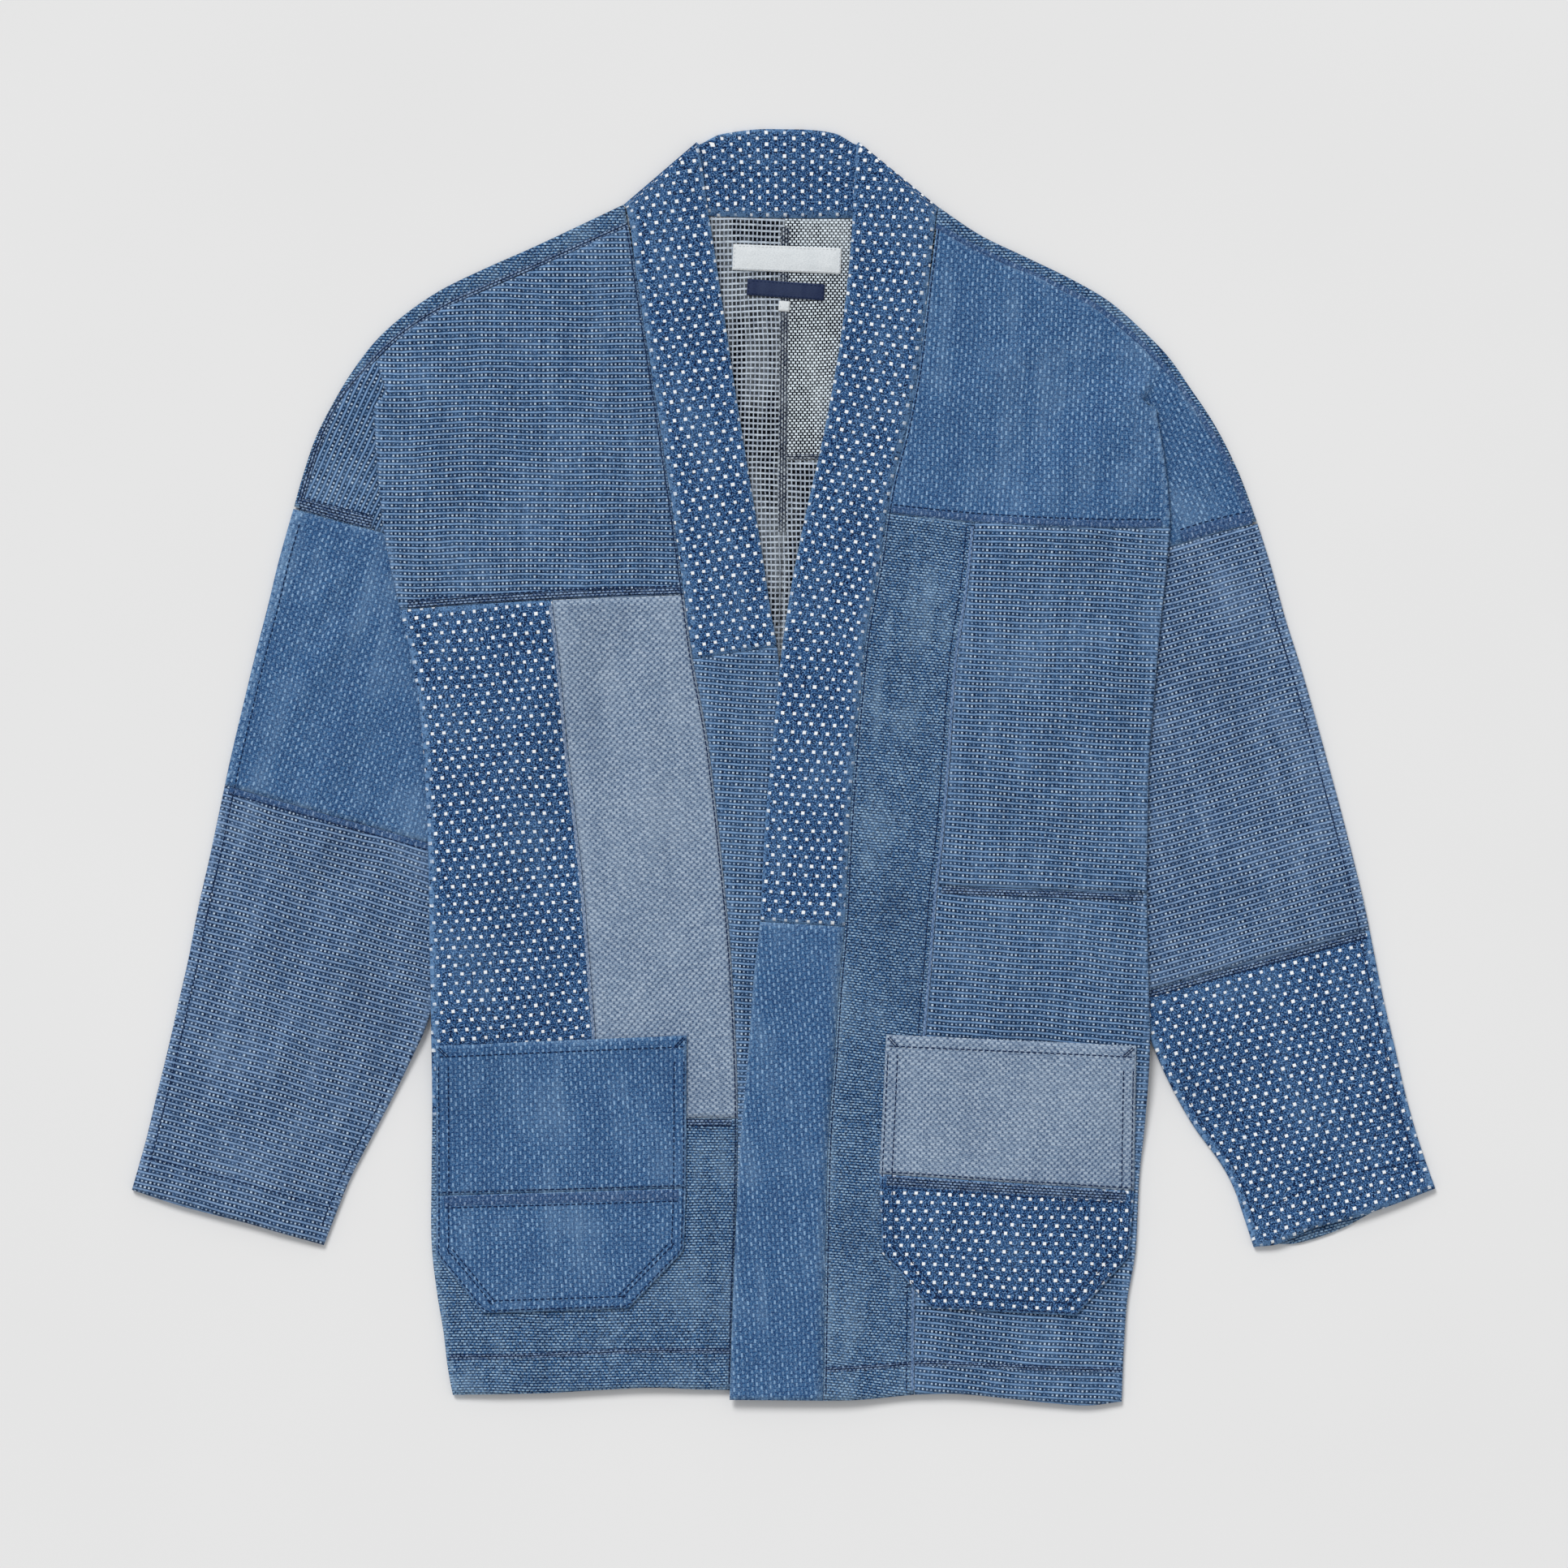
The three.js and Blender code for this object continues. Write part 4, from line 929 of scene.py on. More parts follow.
class Graph:
    """Short words for making the nodes of one tree."""

    def __init__(self, tree: bpy.types.NodeTree) -> None:
        """Keeps the tree that gets the nodes."""
        self.tree = tree

    def node(self, kind: str, **settings: object) -> bpy.types.Node:
        """Adds a node.

        Args:
            kind: The node's type.
            **settings: Its own settings.

        Returns:
            The node.
        """
        made = self.tree.nodes.new(kind)
        for name, value in settings.items():
            setattr(made, name, value)
        return made

    def feed(self, socket: Socket, value: Value) -> None:
        """Gives a socket its value or its link.

        Args:
            socket: The socket.
            value: A number, a colour or another socket.
        """
        if isinstance(value, Socket):
            self.tree.links.new(value, socket)
        else:
            socket.default_value = value

    def math(self, operation: str, *values: Value, clamp: bool = False) -> Socket:
        """Adds a math node.

        Args:
            operation: What it does.
            *values: Its inputs.
            clamp: Whether its result stays from 0 to 1.

        Returns:
            Its output.
        """
        made = self.node("ShaderNodeMath", operation=operation, use_clamp=clamp)
        for socket, value in zip(made.inputs, values):
            self.feed(socket, value)
        return made.outputs[0]

    def plus(self, first: Value, second: Value) -> Socket:
        """The sum of two values."""
        return self.math("ADD", first, second)

    def minus(self, first: Value, second: Value) -> Socket:
        """The first value less the second."""
        return self.math("SUBTRACT", first, second)

    def times(self, first: Value, second: Value) -> Socket:
        """The product of two values."""
        return self.math("MULTIPLY", first, second)

    def over(self, first: Value, second: Value) -> Socket:
        """The first value divided by the second."""
        return self.math("DIVIDE", first, second)

    def times_plus(self, first: Value, second: Value, third: Value) -> Socket:
        """The product of two values, plus a third."""
        return self.math("MULTIPLY_ADD", first, second, third)

    def step(self, value: Value, low: Value, high: Value) -> Socket:
        """Adds a smooth step from 0 to 1 between two values.

        Args:
            value: The value.
            low: Where it starts.
            high: Where it ends.

        Returns:
            Its output.
        """
        made = self.node("ShaderNodeMapRange", interpolation_type="SMOOTHSTEP")
        for word, given in (("Value", value), ("From Min", low), ("From Max", high)):
            self.feed(made.inputs[word], given)
        return made.outputs["Result"]

    def within(self, value: Value, reach: Value, soft: Value) -> Socket:
        """A mask that is 1 up to a reach and falls to 0 with a soft side."""
        return self.minus(1.0, self.step(value, self.minus(reach, soft), self.plus(reach, soft)))

    def centred(self, cells: Value, size: Value) -> Socket:
        """How far a place lies from the middle of its cell, in the cell's own size."""
        return self.times(self.minus(self.math("FRACT", cells), 0.5), size)

    def mix(self, share: Value, first: Value, second: Value) -> Socket:
        """Mixes two colours.

        Args:
            share: The share of the second.
            first: A colour.
            second: A colour.

        Returns:
            The mixed colour.
        """
        made = self.node("ShaderNodeMix", data_type="RGBA")
        for number, value in ((0, share), (6, first), (7, second)):
            self.feed(made.inputs[number], value)
        return made.outputs[2]

    def scaled(self, vector: Value, across: Value, along: Value) -> Socket:
        """Texture places scaled along their two directions."""
        x, y = self.split(vector)
        return self.join(self.times(x, across), self.times(y, along))

    def split(self, vector: Value) -> tuple[Socket, Socket]:
        """The two parts of texture places."""
        made = self.node("ShaderNodeSeparateXYZ")
        self.feed(made.inputs[0], vector)
        return made.outputs[0], made.outputs[1]

    def join(self, x: Value, y: Value) -> Socket:
        """Texture places from their two parts."""
        made = self.node("ShaderNodeCombineXYZ")
        self.feed(made.inputs[0], x)
        self.feed(made.inputs[1], y)
        return made.outputs[0]

    def noise(self, vector: Value, scale: Value, detail: float = 1.0, rough: float = 0.5) -> Socket:
        """Adds a noise texture.

        Args:
            vector: The texture places.
            scale: Its scale.
            detail: Its octaves.
            rough: How strong the fine ones are.

        Returns:
            Its value.
        """
        made = self.node("ShaderNodeTexNoise", noise_dimensions="2D")
        for word, value in (("Vector", vector), ("Scale", scale), ("Detail", detail), ("Roughness", rough)):
            self.feed(made.inputs[word], value)
        return made.outputs["Fac"]

    def bump(self, height: Value, strength: float, distance: float, normal: Value | None = None) -> Socket:
        """Adds a bump.

        Args:
            height: The height that it reads.
            strength: How strong it is.
            distance: How deep it is, in millimetres.
            normal: The normal that it starts from, or None for the mesh's own.

        Returns:
            Its normal.
        """
        made = self.node("ShaderNodeBump")
        self.feed(made.inputs["Strength"], strength)
        self.feed(made.inputs["Distance"], distance * MM)
        self.feed(made.inputs["Height"], height)
        if normal is not None:
            self.feed(made.inputs["Normal"], normal)
        return made.outputs["Normal"]


Sockets = dict[str, Socket]


def new_group(name: str, inputs: dict[str, float | None],
              outputs: Sequence[str]) -> tuple[Graph, Sockets, Sockets]:
    """Starts a shader node group.

    Args:
        name: The group's name.
        inputs: Its inputs, with a starting number, or None for texture places.
        outputs: Its outputs, all numbers.

    Returns:
        A graph of its tree, its inputs' sockets by name, and its outputs' sockets by name.
    """
    tree = bpy.data.node_groups.new(name, "ShaderNodeTree")
    for word, value in inputs.items():
        kind = "NodeSocketVector" if value is None else "NodeSocketFloat"
        socket = tree.interface.new_socket(word, in_out="INPUT", socket_type=kind)
        if value is not None:
            socket.default_value = value
    for word in outputs:
        tree.interface.new_socket(word, in_out="OUTPUT", socket_type="NodeSocketFloat")
    graph = Graph(tree)
    given = graph.node("NodeGroupInput")
    made = graph.node("NodeGroupOutput")
    return graph, {s.name: s for s in given.outputs if s.name}, {s.name: s for s in made.inputs if s.name}


class Effects:
    """The node groups that the cloths share."""

    slow_drift = (0.013, 4.5)
    quick_drift = (0.11, 0.45)

    def __init__(self) -> None:
        """Builds the groups once."""
        self.drift = self.build_drift()
        self.spots = self.build_spots()
        self.yarns = self.build_yarns()
        self.slubs = self.build_slubs()
        self.fading = self.build_fading()
        self.puckers = self.build_puckers()

    def build_drift(self) -> bpy.types.NodeTree:
        """Texture places pulled a little out of true, as a washed weave is.

        Returns:
            The group.
        """
        graph, given, made = new_group("weave_drift", {"Places": None, "Drift": 1.0}, ("Across", "Along"))
        x, y = graph.split(given["Places"])
        flipped = graph.join(y, x)
        for word, part, vector in (("Across", x, given["Places"]), ("Along", y, flipped)):
            slow, quick = (graph.times(graph.minus(graph.noise(vector, scale), 0.5), size)
                           for scale, size in (self.slow_drift, self.quick_drift))
            graph.feed(made[word], graph.times_plus(graph.plus(slow, quick), given["Drift"], part))
        return graph.tree

    def build_spots(self) -> bpy.types.NodeTree:
        """Soft oblong spots in rows, for woven dots, floats, open cells and running stitches.

        Returns:
            The group.
        """
        inputs = {"Places": None, "Across": 10.0, "Along": 5.0, "Spot Width": 2.4, "Spot Length": 2.4,
                  "Stagger": 0.5, "Softness": 0.4, "Unevenness": 0.2}
        graph, given, made = new_group("spots_in_rows", inputs, ("Mask", "Change"))
        x, y = graph.split(given["Places"])
        row = graph.over(y, given["Along"])
        number = graph.math("FLOOR", row)
        odd = graph.times(graph.math("FLOORED_MODULO", number, 2.0), given["Stagger"])
        column = graph.plus(graph.over(x, given["Across"]), odd)
        chance = graph.node("ShaderNodeTexWhiteNoise", noise_dimensions="2D")
        graph.feed(chance.inputs["Vector"], graph.join(graph.math("FLOOR", column), number))
        change = chance.outputs["Value"]
        size = graph.times_plus(graph.minus(change, 0.5), given["Unevenness"], 1.0)
        masks = []
        for cells, cell, spot in ((column, "Across", "Spot Width"), (row, "Along", "Spot Length")):
            offset = graph.math("ABSOLUTE", graph.centred(cells, given[cell]))
            reach = graph.times(graph.times(given[spot], 0.5), size)
            masks.append(graph.within(offset, reach, given["Softness"]))
        graph.feed(made["Mask"], graph.times(*masks))
        graph.feed(made["Change"], change)
        return graph.tree

    def build_yarns(self) -> bpy.types.NodeTree:
        """Even yarns that lie side by side along one direction.

        Returns:
            The group.
        """
        inputs = {"Places": None, "Pitch": 3.7, "Width": 1.2, "Softness": 0.5, "Breaks": 0.5}
        graph, given, made = new_group("yarns", inputs, ("Mask", "Height"))
        x, y = graph.split(given["Places"])
        row = graph.over(y, given["Pitch"])
        offset = graph.math("ABSOLUTE", graph.centred(row, given["Pitch"]))
        line = graph.within(offset, graph.times(given["Width"], 0.5), given["Softness"])
        along = graph.join(graph.times(x, 0.14), graph.times(graph.math("FLOOR", row), 3.7))
        gaps = graph.step(graph.noise(along, 1.0, 3.0, 0.7), 0.36, 0.62)
        kept = graph.minus(1.0, graph.times(given["Breaks"], graph.minus(1.0, gaps)))
        graph.feed(made["Mask"], graph.times(line, kept))
        graph.feed(made["Height"], line)
        return graph.tree

    def build_slubs(self) -> bpy.types.NodeTree:
        """Thick and thin places of hand-spun yarn, both ways of the cloth.

        Returns:
            The group.
        """
        inputs = {"Places": None, "Length": 5.0, "Thickness": 1.1}
        graph, given, made = new_group("slubs", inputs, ("Tone", "Dark", "Specks"))
        long, thin = graph.over(1.0, given["Length"]), graph.over(1.0, given["Thickness"])
        weft = graph.noise(graph.scaled(given["Places"], long, thin), 1.0)
        warp = graph.noise(graph.scaled(given["Places"], thin, long), 1.0)
        tone = graph.times(graph.plus(weft, warp), 0.5)
        fine = graph.noise(graph.scaled(given["Places"], thin, thin), 0.9, 1.0, 0.6)
        graph.feed(made["Tone"], tone)
        graph.feed(made["Dark"], graph.minus(1.0, graph.step(tone, 0.44, 0.51)))
        graph.feed(made["Specks"], graph.step(fine, 0.54, 0.62))
        return graph.tree

    def build_fading(self) -> bpy.types.NodeTree:
        """Washed-out clouds and streaks over a whole panel, and paler folded edges.

        Returns:
            The group.
        """
        inputs = {"Places": None, "Edge": 0.0, "Clouds": 0.5, "Streaks": 0.4, "Wear": 0.3}
        graph, given, made = new_group("fading", inputs, ("Pale",))
        clouds = graph.minus(graph.noise(given["Places"], 0.016, 3.0, 0.6), 0.5)
        stretched = graph.scaled(given["Places"], 0.09, 0.006)
        streaks = graph.minus(graph.noise(stretched, 1.0, 3.0, 0.6), 0.5)
        worn = graph.times(given["Edge"], graph.step(graph.noise(given["Places"], 0.25, 3.0, 0.7), 0.35, 0.6))
        pale = graph.times_plus(clouds, given["Clouds"], graph.times(streaks, given["Streaks"]))
        graph.feed(made["Pale"], graph.times_plus(worn, given["Wear"], pale))
        return graph.tree

    def build_puckers(self) -> bpy.types.NodeTree:
        """Small uneven hollows of washed cotton.

        Returns:
            The group.
        """
        graph, given, made = new_group("puckers", {"Places": None, "Size": 14.0}, ("Height",))
        graph.feed(made["Height"], graph.noise(given["Places"], graph.over(1.0, given["Size"]), 3.0, 0.55))
        return graph.tree


@dataclass(frozen=True)
class Spots:
    """A repeat of woven spots: its cell and its spot, across and along, in millimetres."""

    cell: tuple[float, float]
    spot: tuple[float, float]
    stagger: float = 0.5
    soft: float = 0.25
    uneven: float = 0.25
    shift: float = 0.0


@dataclass(frozen=True)
class Yarns:
    """Yarns side by side: the distance from one to the next and their width, in millimetres."""

    pitch: float
    width: float
    soft: float = 0.25
    breaks: float = 0.3
    shift: float = 0.0


WOVEN_DOTS = Spots((7.8, 6.1), (2.1, 2.05))
GRID_CELL = (2.84, 3.82)
GRID_ROWS = Yarns(3.82, 1.2, breaks=0.4, shift=1.91)
GRID_GAPS = Yarns(1.91, 0.75)
GRID_HOLES = Spots(GRID_CELL, (1.5, 1.9), stagger=0.0)
GRID_SPECKS = Spots(GRID_CELL, (1.05, 1.0), stagger=0.0, uneven=0.5, shift=1.42)
REVERSE_ROWS = Yarns(3.82, 1.35, breaks=0.4, shift=1.91)
REVERSE_HOLES = Spots(GRID_CELL, (1.9, 2.3), stagger=0.0)
REVERSE_FLOATS = Spots(GRID_CELL, (0.8, 2.2), stagger=0.0, shift=1.42)
TWILL = Yarns(3.1, 1.1, soft=0.5, breaks=0.6)
TWILL_FIGURE = Spots((4.3, 2.15), (2.6, 1.1), soft=0.4, uneven=0.5)
TWILL_HOLES = Spots((4.3, 2.15), (1.5, 0.8), soft=0.4, shift=2.15)
FINE_GAPS = Yarns(1.89, 0.75, shift=0.945)
FINE_WEFT = Spots((2.88, 1.89), (1.5, 0.85), soft=0.2, uneven=0.4)
NET_FLOATS = Spots((2.9, 1.89), (1.85, 1.3), soft=0.15, uneven=0.15)
BLUE_RIBS = Yarns(3.04, 0.8, soft=0.3, breaks=0.5, shift=1.52)
BLUE_ROWS = Yarns(2.86, 0.8, soft=0.3, breaks=0.5)
RUNNING_STITCH = Spots((5.72, 3.04), (2.3, 0.95), uneven=0.4)


@dataclass(frozen=True)
class Finish:
    """The colours of a cloth and the strength of its fading."""

    name: str
    cloth: Cloth
    ground: tuple[int, int, int]
    light: tuple[int, int, int]
    shade: tuple[int, int, int]
    wear: float = 0.35
    drift: float = 1.0
    clouds: float = 0.5
    streaks: float = 0.4


class Swatch:
    """The material of one finish while it is made: its colour and its height so far."""

    pucker_size = 13.0
    pucker_bump = (0.5, 1.6)
    yarn_bump = (0.6, 0.35)
    roughness = 0.95
    yarn_gloss = -0.08
    specular = 0.06
    sheen = 0.03
    sheen_roughness = 0.5

    def __init__(self, effects: Effects, finish: Finish) -> None:
        """Starts the material and its drifting texture places.

        Args:
            effects: The node groups that the materials share.
            finish: The finish.
        """
        self.effects = effects
        self.finish = finish
        self.material = bpy.data.materials.new(finish.name)
        self.material.use_nodes = True
        self.graph = Graph(self.material.node_tree)
        uv = self.graph.node("ShaderNodeUVMap", uv_map="Cloth").outputs[0]
        true = self.graph.scaled(uv, 1 / MM, 1 / MM)
        drift = self.use(effects.drift, Places=true, Drift=finish.drift)
        self.x, self.y = drift["Across"], drift["Along"]
        self.places = self.graph.join(self.x, self.y)
        self.colour: Value = srgb(*finish.ground)
        self.height: Value = 0.0

    def use(self, group: bpy.types.NodeTree, **values: Value) -> bpy.types.bpy_prop_collection:
        """Places a group in the material.

        Args:
            group: The group.
            **values: Its inputs, with _ for a space in a name.

        Returns:
            Its outputs.
        """
        made = self.graph.node("ShaderNodeGroup", node_tree=group)
        for word, value in values.items():
            self.graph.feed(made.inputs[word.replace("_", " ")], value)
        return made.outputs

    def paint(self, mask: Value, rgb: tuple[int, int, int], strength: float = 1.0) -> None:
        """Lays a colour where a mask says."""
        share = mask if strength == 1.0 else self.graph.times(mask, strength)
        self.colour = self.graph.mix(share, self.colour, srgb(*rgb))

    def ground(self, size: float, depth: float, specks: float) -> None:
        """Lays the slubby ground.

        Args:
            size: The thickness of its yarn.
            depth: How strong its dark places are.
            specks: How strong its pale specks are.
        """
        slubs = self.use(self.effects.slubs, Places=self.places, Length=size * 3, Thickness=size)
        self.paint(slubs["Dark"], self.finish.shade, depth)
        self.paint(slubs["Specks"], self.finish.light, specks)
        self.height = slubs["Tone"]

    def spots(self, kind: Spots, upright: bool = False) -> bpy.types.bpy_prop_collection:
        """Places a repeat of spots.

        Args:
            kind: The repeat.
            upright: Whether its rows run along the cloth.

        Returns:
            The outputs Mask, and Change with a value for each spot.
        """
        x, y = (self.y, self.x) if upright else (self.x, self.y)
        moved = self.graph.join(self.graph.plus(x, kind.shift), y)
        return self.use(self.effects.spots, Places=moved, Across=kind.cell[0], Along=kind.cell[1],
                        Spot_Width=kind.spot[0], Spot_Length=kind.spot[1], Stagger=kind.stagger,
                        Softness=kind.soft, Unevenness=kind.uneven)

    def yarns(self, kind: Yarns, along: Value, across: Value) -> bpy.types.bpy_prop_collection:
        """Places a set of yarns.

        Args:
            kind: The yarns.
            along: How far places lie along them.
            across: How far places lie across them.

        Returns:
            The outputs Mask and Height.
        """
        places = self.graph.join(along, self.graph.plus(across, kind.shift))
        return self.use(self.effects.yarns, Places=places, Pitch=kind.pitch, Width=kind.width,
                        Softness=kind.soft, Breaks=kind.breaks)

    def varied(self, spots: bpy.types.bpy_prop_collection, low: float, span: float) -> Socket:
        """A mask of spots that differ in strength, from low to low plus span."""
        return self.graph.times(spots["Mask"], self.graph.times_plus(spots["Change"], span, low))

    def dots(self) -> None:
        """Boucle indigo ground with soft white woven dots."""
        self.ground(1.0, 1.0, 0.95)
        dots = self.spots(WOVEN_DOTS)
        self.paint(self.varied(dots, 0.9, 0.1), DOT_WHITE)
        self.height = self.graph.times_plus(dots["Mask"], 0.9, self.height)

    def grid(self) -> None:
        """Indigo ground with pale yarns in rows, and dark cells with white specks between them."""
        graph = self.graph
        self.ground(0.9, 0.6, 0.5)
        rows = self.yarns(GRID_ROWS, self.x, self.y)
        gaps = self.yarns(GRID_GAPS, self.x, self.y)
        holes = self.varied(self.spots(GRID_HOLES), 0.6, 0.3)
        dark = graph.math("MAXIMUM", holes, graph.times(gaps["Mask"], 0.75))
        self.paint(dark, self.finish.shade)
        self.paint(rows["Mask"], self.finish.light, 0.85)
        specks = self.spots(GRID_SPECKS)
        self.paint(self.varied(specks, 0.3, 0.6), SPECK_WHITE)
        raised = graph.times_plus(specks["Mask"], 0.7, graph.times(rows["Height"], 0.8))
        self.height = graph.times_plus(self.height, 0.5, raised)

    def pale(self) -> None:
        """Faded twill with a fine diamond figure."""
        graph = self.graph
        self.ground(0.8, 0.6, 0.5)
        slope = graph.times(graph.minus(self.x, self.y), math.sqrt(0.5))
        self.paint(self.yarns(TWILL, self.y, slope)["Mask"], self.finish.shade, 0.35)
        figure = self.spots(TWILL_FIGURE)
        self.paint(self.varied(figure, 0.6, 0.4), self.finish.light)
        self.paint(self.spots(TWILL_HOLES)["Mask"], self.finish.shade, 0.9)
        self.height = graph.times_plus(figure["Mask"], 0.6, self.height)

    def fine(self) -> None:
        """Small plain weave with rows of pale specks."""
        self.ground(0.9, 0.8, 0.45)
        self.paint(self.yarns(FINE_GAPS, self.x, self.y)["Mask"], self.finish.shade, 0.85)
        weft = self.spots(FINE_WEFT)
        self.paint(self.varied(weft, 0.35, 0.6), self.finish.light)
        self.height = self.graph.times_plus(weft["Mask"], 0.6, self.height)

    def blue(self) -> None:
        """Blue cotton with upright running stitches."""
        self.ground(0.9, 0.6, 0.35)
        ribs = self.yarns(BLUE_RIBS, self.y, self.x)
        rows = self.yarns(BLUE_ROWS, self.x, self.y)
        self.paint(self.graph.math("MAXIMUM", ribs["Mask"], rows["Mask"]), self.finish.shade, 0.45)
        dashes = self.spots(RUNNING_STITCH, upright=True)
        self.paint(self.varied(dashes, 0.4, 0.5), self.finish.light)
        self.height = self.graph.times_plus(dashes["Mask"], 0.8, self.height)

    def inside(self) -> None:
        """The reverse of the grid cloth: a white net round dark cells."""
        self.ground(0.8, 0.6, 0.3)
        rows = self.yarns(REVERSE_ROWS, self.x, self.y)
        net = self.graph.math("MAXIMUM", rows["Mask"], self.varied(self.spots(REVERSE_FLOATS), 0.55, 0.4))
        self.paint(net, self.finish.light, 0.82)
        self.paint(self.spots(REVERSE_HOLES)["Mask"], self.finish.shade)
        self.height = self.graph.plus(net, self.height)

    def net(self) -> None:
        """The reverse of the fine cloth: white floats side by side on a dark ground."""
        self.ground(0.8, 0.6, 0.0)
        floats = self.spots(NET_FLOATS)
        self.paint(self.varied(floats, 0.8, 0.2), self.finish.light)
        self.height = self.graph.plus(floats["Mask"], self.height)

    def satin(self) -> None:
        """A close woven label."""
        self.ground(0.5, 0.3, 0.0)

    def done(self) -> bpy.types.Material:
        """Fades the colour, adds the bumps and joins the shader.

        Returns:
            The material.
        """
        graph, finish = self.graph, self.finish
        shader = self.material.node_tree.nodes["Principled BSDF"]
        edge = graph.node("ShaderNodeAttribute", attribute_name="edge").outputs["Fac"]
        pale = self.use(self.effects.fading, Places=self.places, Edge=edge, Clouds=finish.clouds,
                        Streaks=finish.streaks, Wear=finish.wear)["Pale"]
        self.paint(graph.math("MAXIMUM", pale, 0.0, clamp=True), finish.light)
        self.paint(graph.math("MULTIPLY", graph.math("MINIMUM", pale, 0.0), -1.0, clamp=True), finish.shade)
        puckers = self.use(self.effects.puckers, Places=self.places, Size=self.pucker_size)["Height"]
        hollow = graph.bump(puckers, *self.pucker_bump)
        roughness = graph.times_plus(self.height, self.yarn_gloss, self.roughness)
        for word, value in (("Base Color", self.colour), ("Roughness", roughness),
                            ("Normal", graph.bump(self.height, *self.yarn_bump, hollow))):
            graph.feed(shader.inputs[word], value)
        shader.inputs["Specular IOR Level"].default_value = self.specular
        shader.inputs["Sheen Weight"].default_value = self.sheen
        shader.inputs["Sheen Roughness"].default_value = self.sheen_roughness
        return self.material


PATTERNS = {
    Cloth.DOTS: Swatch.dots,
    Cloth.GRID: Swatch.grid,
    Cloth.PALE: Swatch.pale,
    Cloth.FINE: Swatch.fine,
    Cloth.BLUE: Swatch.blue,
    Cloth.INSIDE: Swatch.inside,
    Cloth.NET: Swatch.net,
    Cloth.WHITE: Swatch.satin,
    Cloth.NAVY: Swatch.satin,
}


GRID_BODY = Finish("grid_cloth_body", Cloth.GRID, (50, 92, 138), (128, 163, 204), (6, 18, 46))
GRID_SLEEVE = Finish("grid_cloth_sleeve", Cloth.GRID, (58, 96, 142), (138, 168, 206), (6, 18, 46))
DOTS_BODY = Finish("dot_cloth_body", Cloth.DOTS, (38, 76, 124), (108, 146, 188), (8, 20, 54), wear=0.8)
PALE_BODY = Finish("pale_cloth_body", Cloth.PALE, (126, 148, 174), (172, 188, 206), (48, 70, 106))
FINE_BODY = Finish("fine_cloth_body", Cloth.FINE, (50, 96, 146), (158, 190, 218), (6, 18, 50))
BLUE_BODY = Finish("blue_cloth_body", Cloth.BLUE, (62, 104, 150), (146, 180, 214), (14, 40, 88))
INSIDE_BACK = Finish("inside_cloth_back", Cloth.INSIDE, (36, 52, 84), (208, 220, 232), (3, 5, 12))
NET_BACK = Finish("net_cloth_back", Cloth.NET, (8, 14, 30), (232, 244, 252), (3, 5, 12))
WHITE_LABEL = Finish("white_label", Cloth.WHITE, (222, 227, 230), (235, 238, 240), (185, 192, 198), wear=0.1)
NAVY_LABEL = Finish("navy_label", Cloth.NAVY, (44, 54, 84), (90, 104, 128), (26, 34, 54), wear=0.1)
SPECKLED_FOLD = Finish("speckled_fold", Cloth.FINE, (38, 66, 110), (148, 174, 206), (5, 10, 28), drift=0.0)
# The blue cloth's own seam band, painted darker than the blue body cloth: painted shade on the raised fold.
SHADED_BLUE_FOLD = Finish("blue_fold_painted_shade", Cloth.BLUE, (60, 94, 138), (140, 164, 196), (22, 42, 84))
SEAM_CORD = Finish("seam_cord", Cloth.PALE, (92, 124, 164), (140, 164, 196), (40, 62, 104), drift=0.0)
PALE_CORD = Finish("pale_cord", Cloth.PALE, (118, 140, 170), (164, 180, 200), (50, 70, 106), drift=0.0)
INSIDE_SEAM = Finish("inside_seam", Cloth.FINE, (44, 56, 80), (190, 200, 208), (8, 12, 26), drift=0.0)
THREAD = Finish("thread", Cloth.NAVY, (24, 42, 78), (64, 88, 128), (12, 20, 46))
WHITE_THREAD = Finish("white_thread", Cloth.WHITE, (212, 218, 224), (235, 238, 240), (150, 160, 172))


class Tailor:
    """Dresses pieces, sews them and makes them ride on the jacket."""

    def __init__(self, effects: Effects) -> None:
        """Keeps the node groups, and the materials that are made already."""
        self.effects = effects
        self.made: dict[str, bpy.types.Material] = {}

    def material(self, finish: Finish) -> bpy.types.Material:
        """The material of a finish, made at its first use.

        Args:
            finish: The finish.

        Returns:
            The material.
        """
        if finish.name not in self.made:
            swatch = Swatch(self.effects, finish)
            PATTERNS[finish.cloth](swatch)
            self.made[finish.name] = swatch.done()
        return self.made[finish.name]

    def dress(self, obj: Piece, finish: Finish, node: str | None = None) -> Piece:
        """Gives a piece its finish and its place on the jacket.

        Args:
            obj: The piece.
            finish: Its finish.
            node: The solid that it stands for, or None for sewing.

        Returns:
            The piece.
        """
        obj.data.materials.append(self.material(finish))
        if node is not None:
            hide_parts(node)
        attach(obj, "root")
        area = sum(face.area for face in obj.data.polygons) / 2
        LOG.info("%s: %d faces, %.4f square metres", obj.name, len(obj.data.polygons), area)
        return obj

    def fold(self, name: str, line: Line, surface: Surface, size: tuple[float, float],
             finish: Finish) -> Piece:
        """Makes and dresses a seam's fold, of some width and height."""
        return self.dress(ridge(name, line, surface, *size), finish)

    def sew(self, name: str, rows: Sequence[Line], surface: Surface, thread: Thread = Thread(),
            finish: Finish = THREAD) -> Piece:
        """Makes and dresses rows of stitches."""
        return self.dress(stitches_and_painted_shadow(name, rows, surface, thread), finish)


# Sub-assemblies


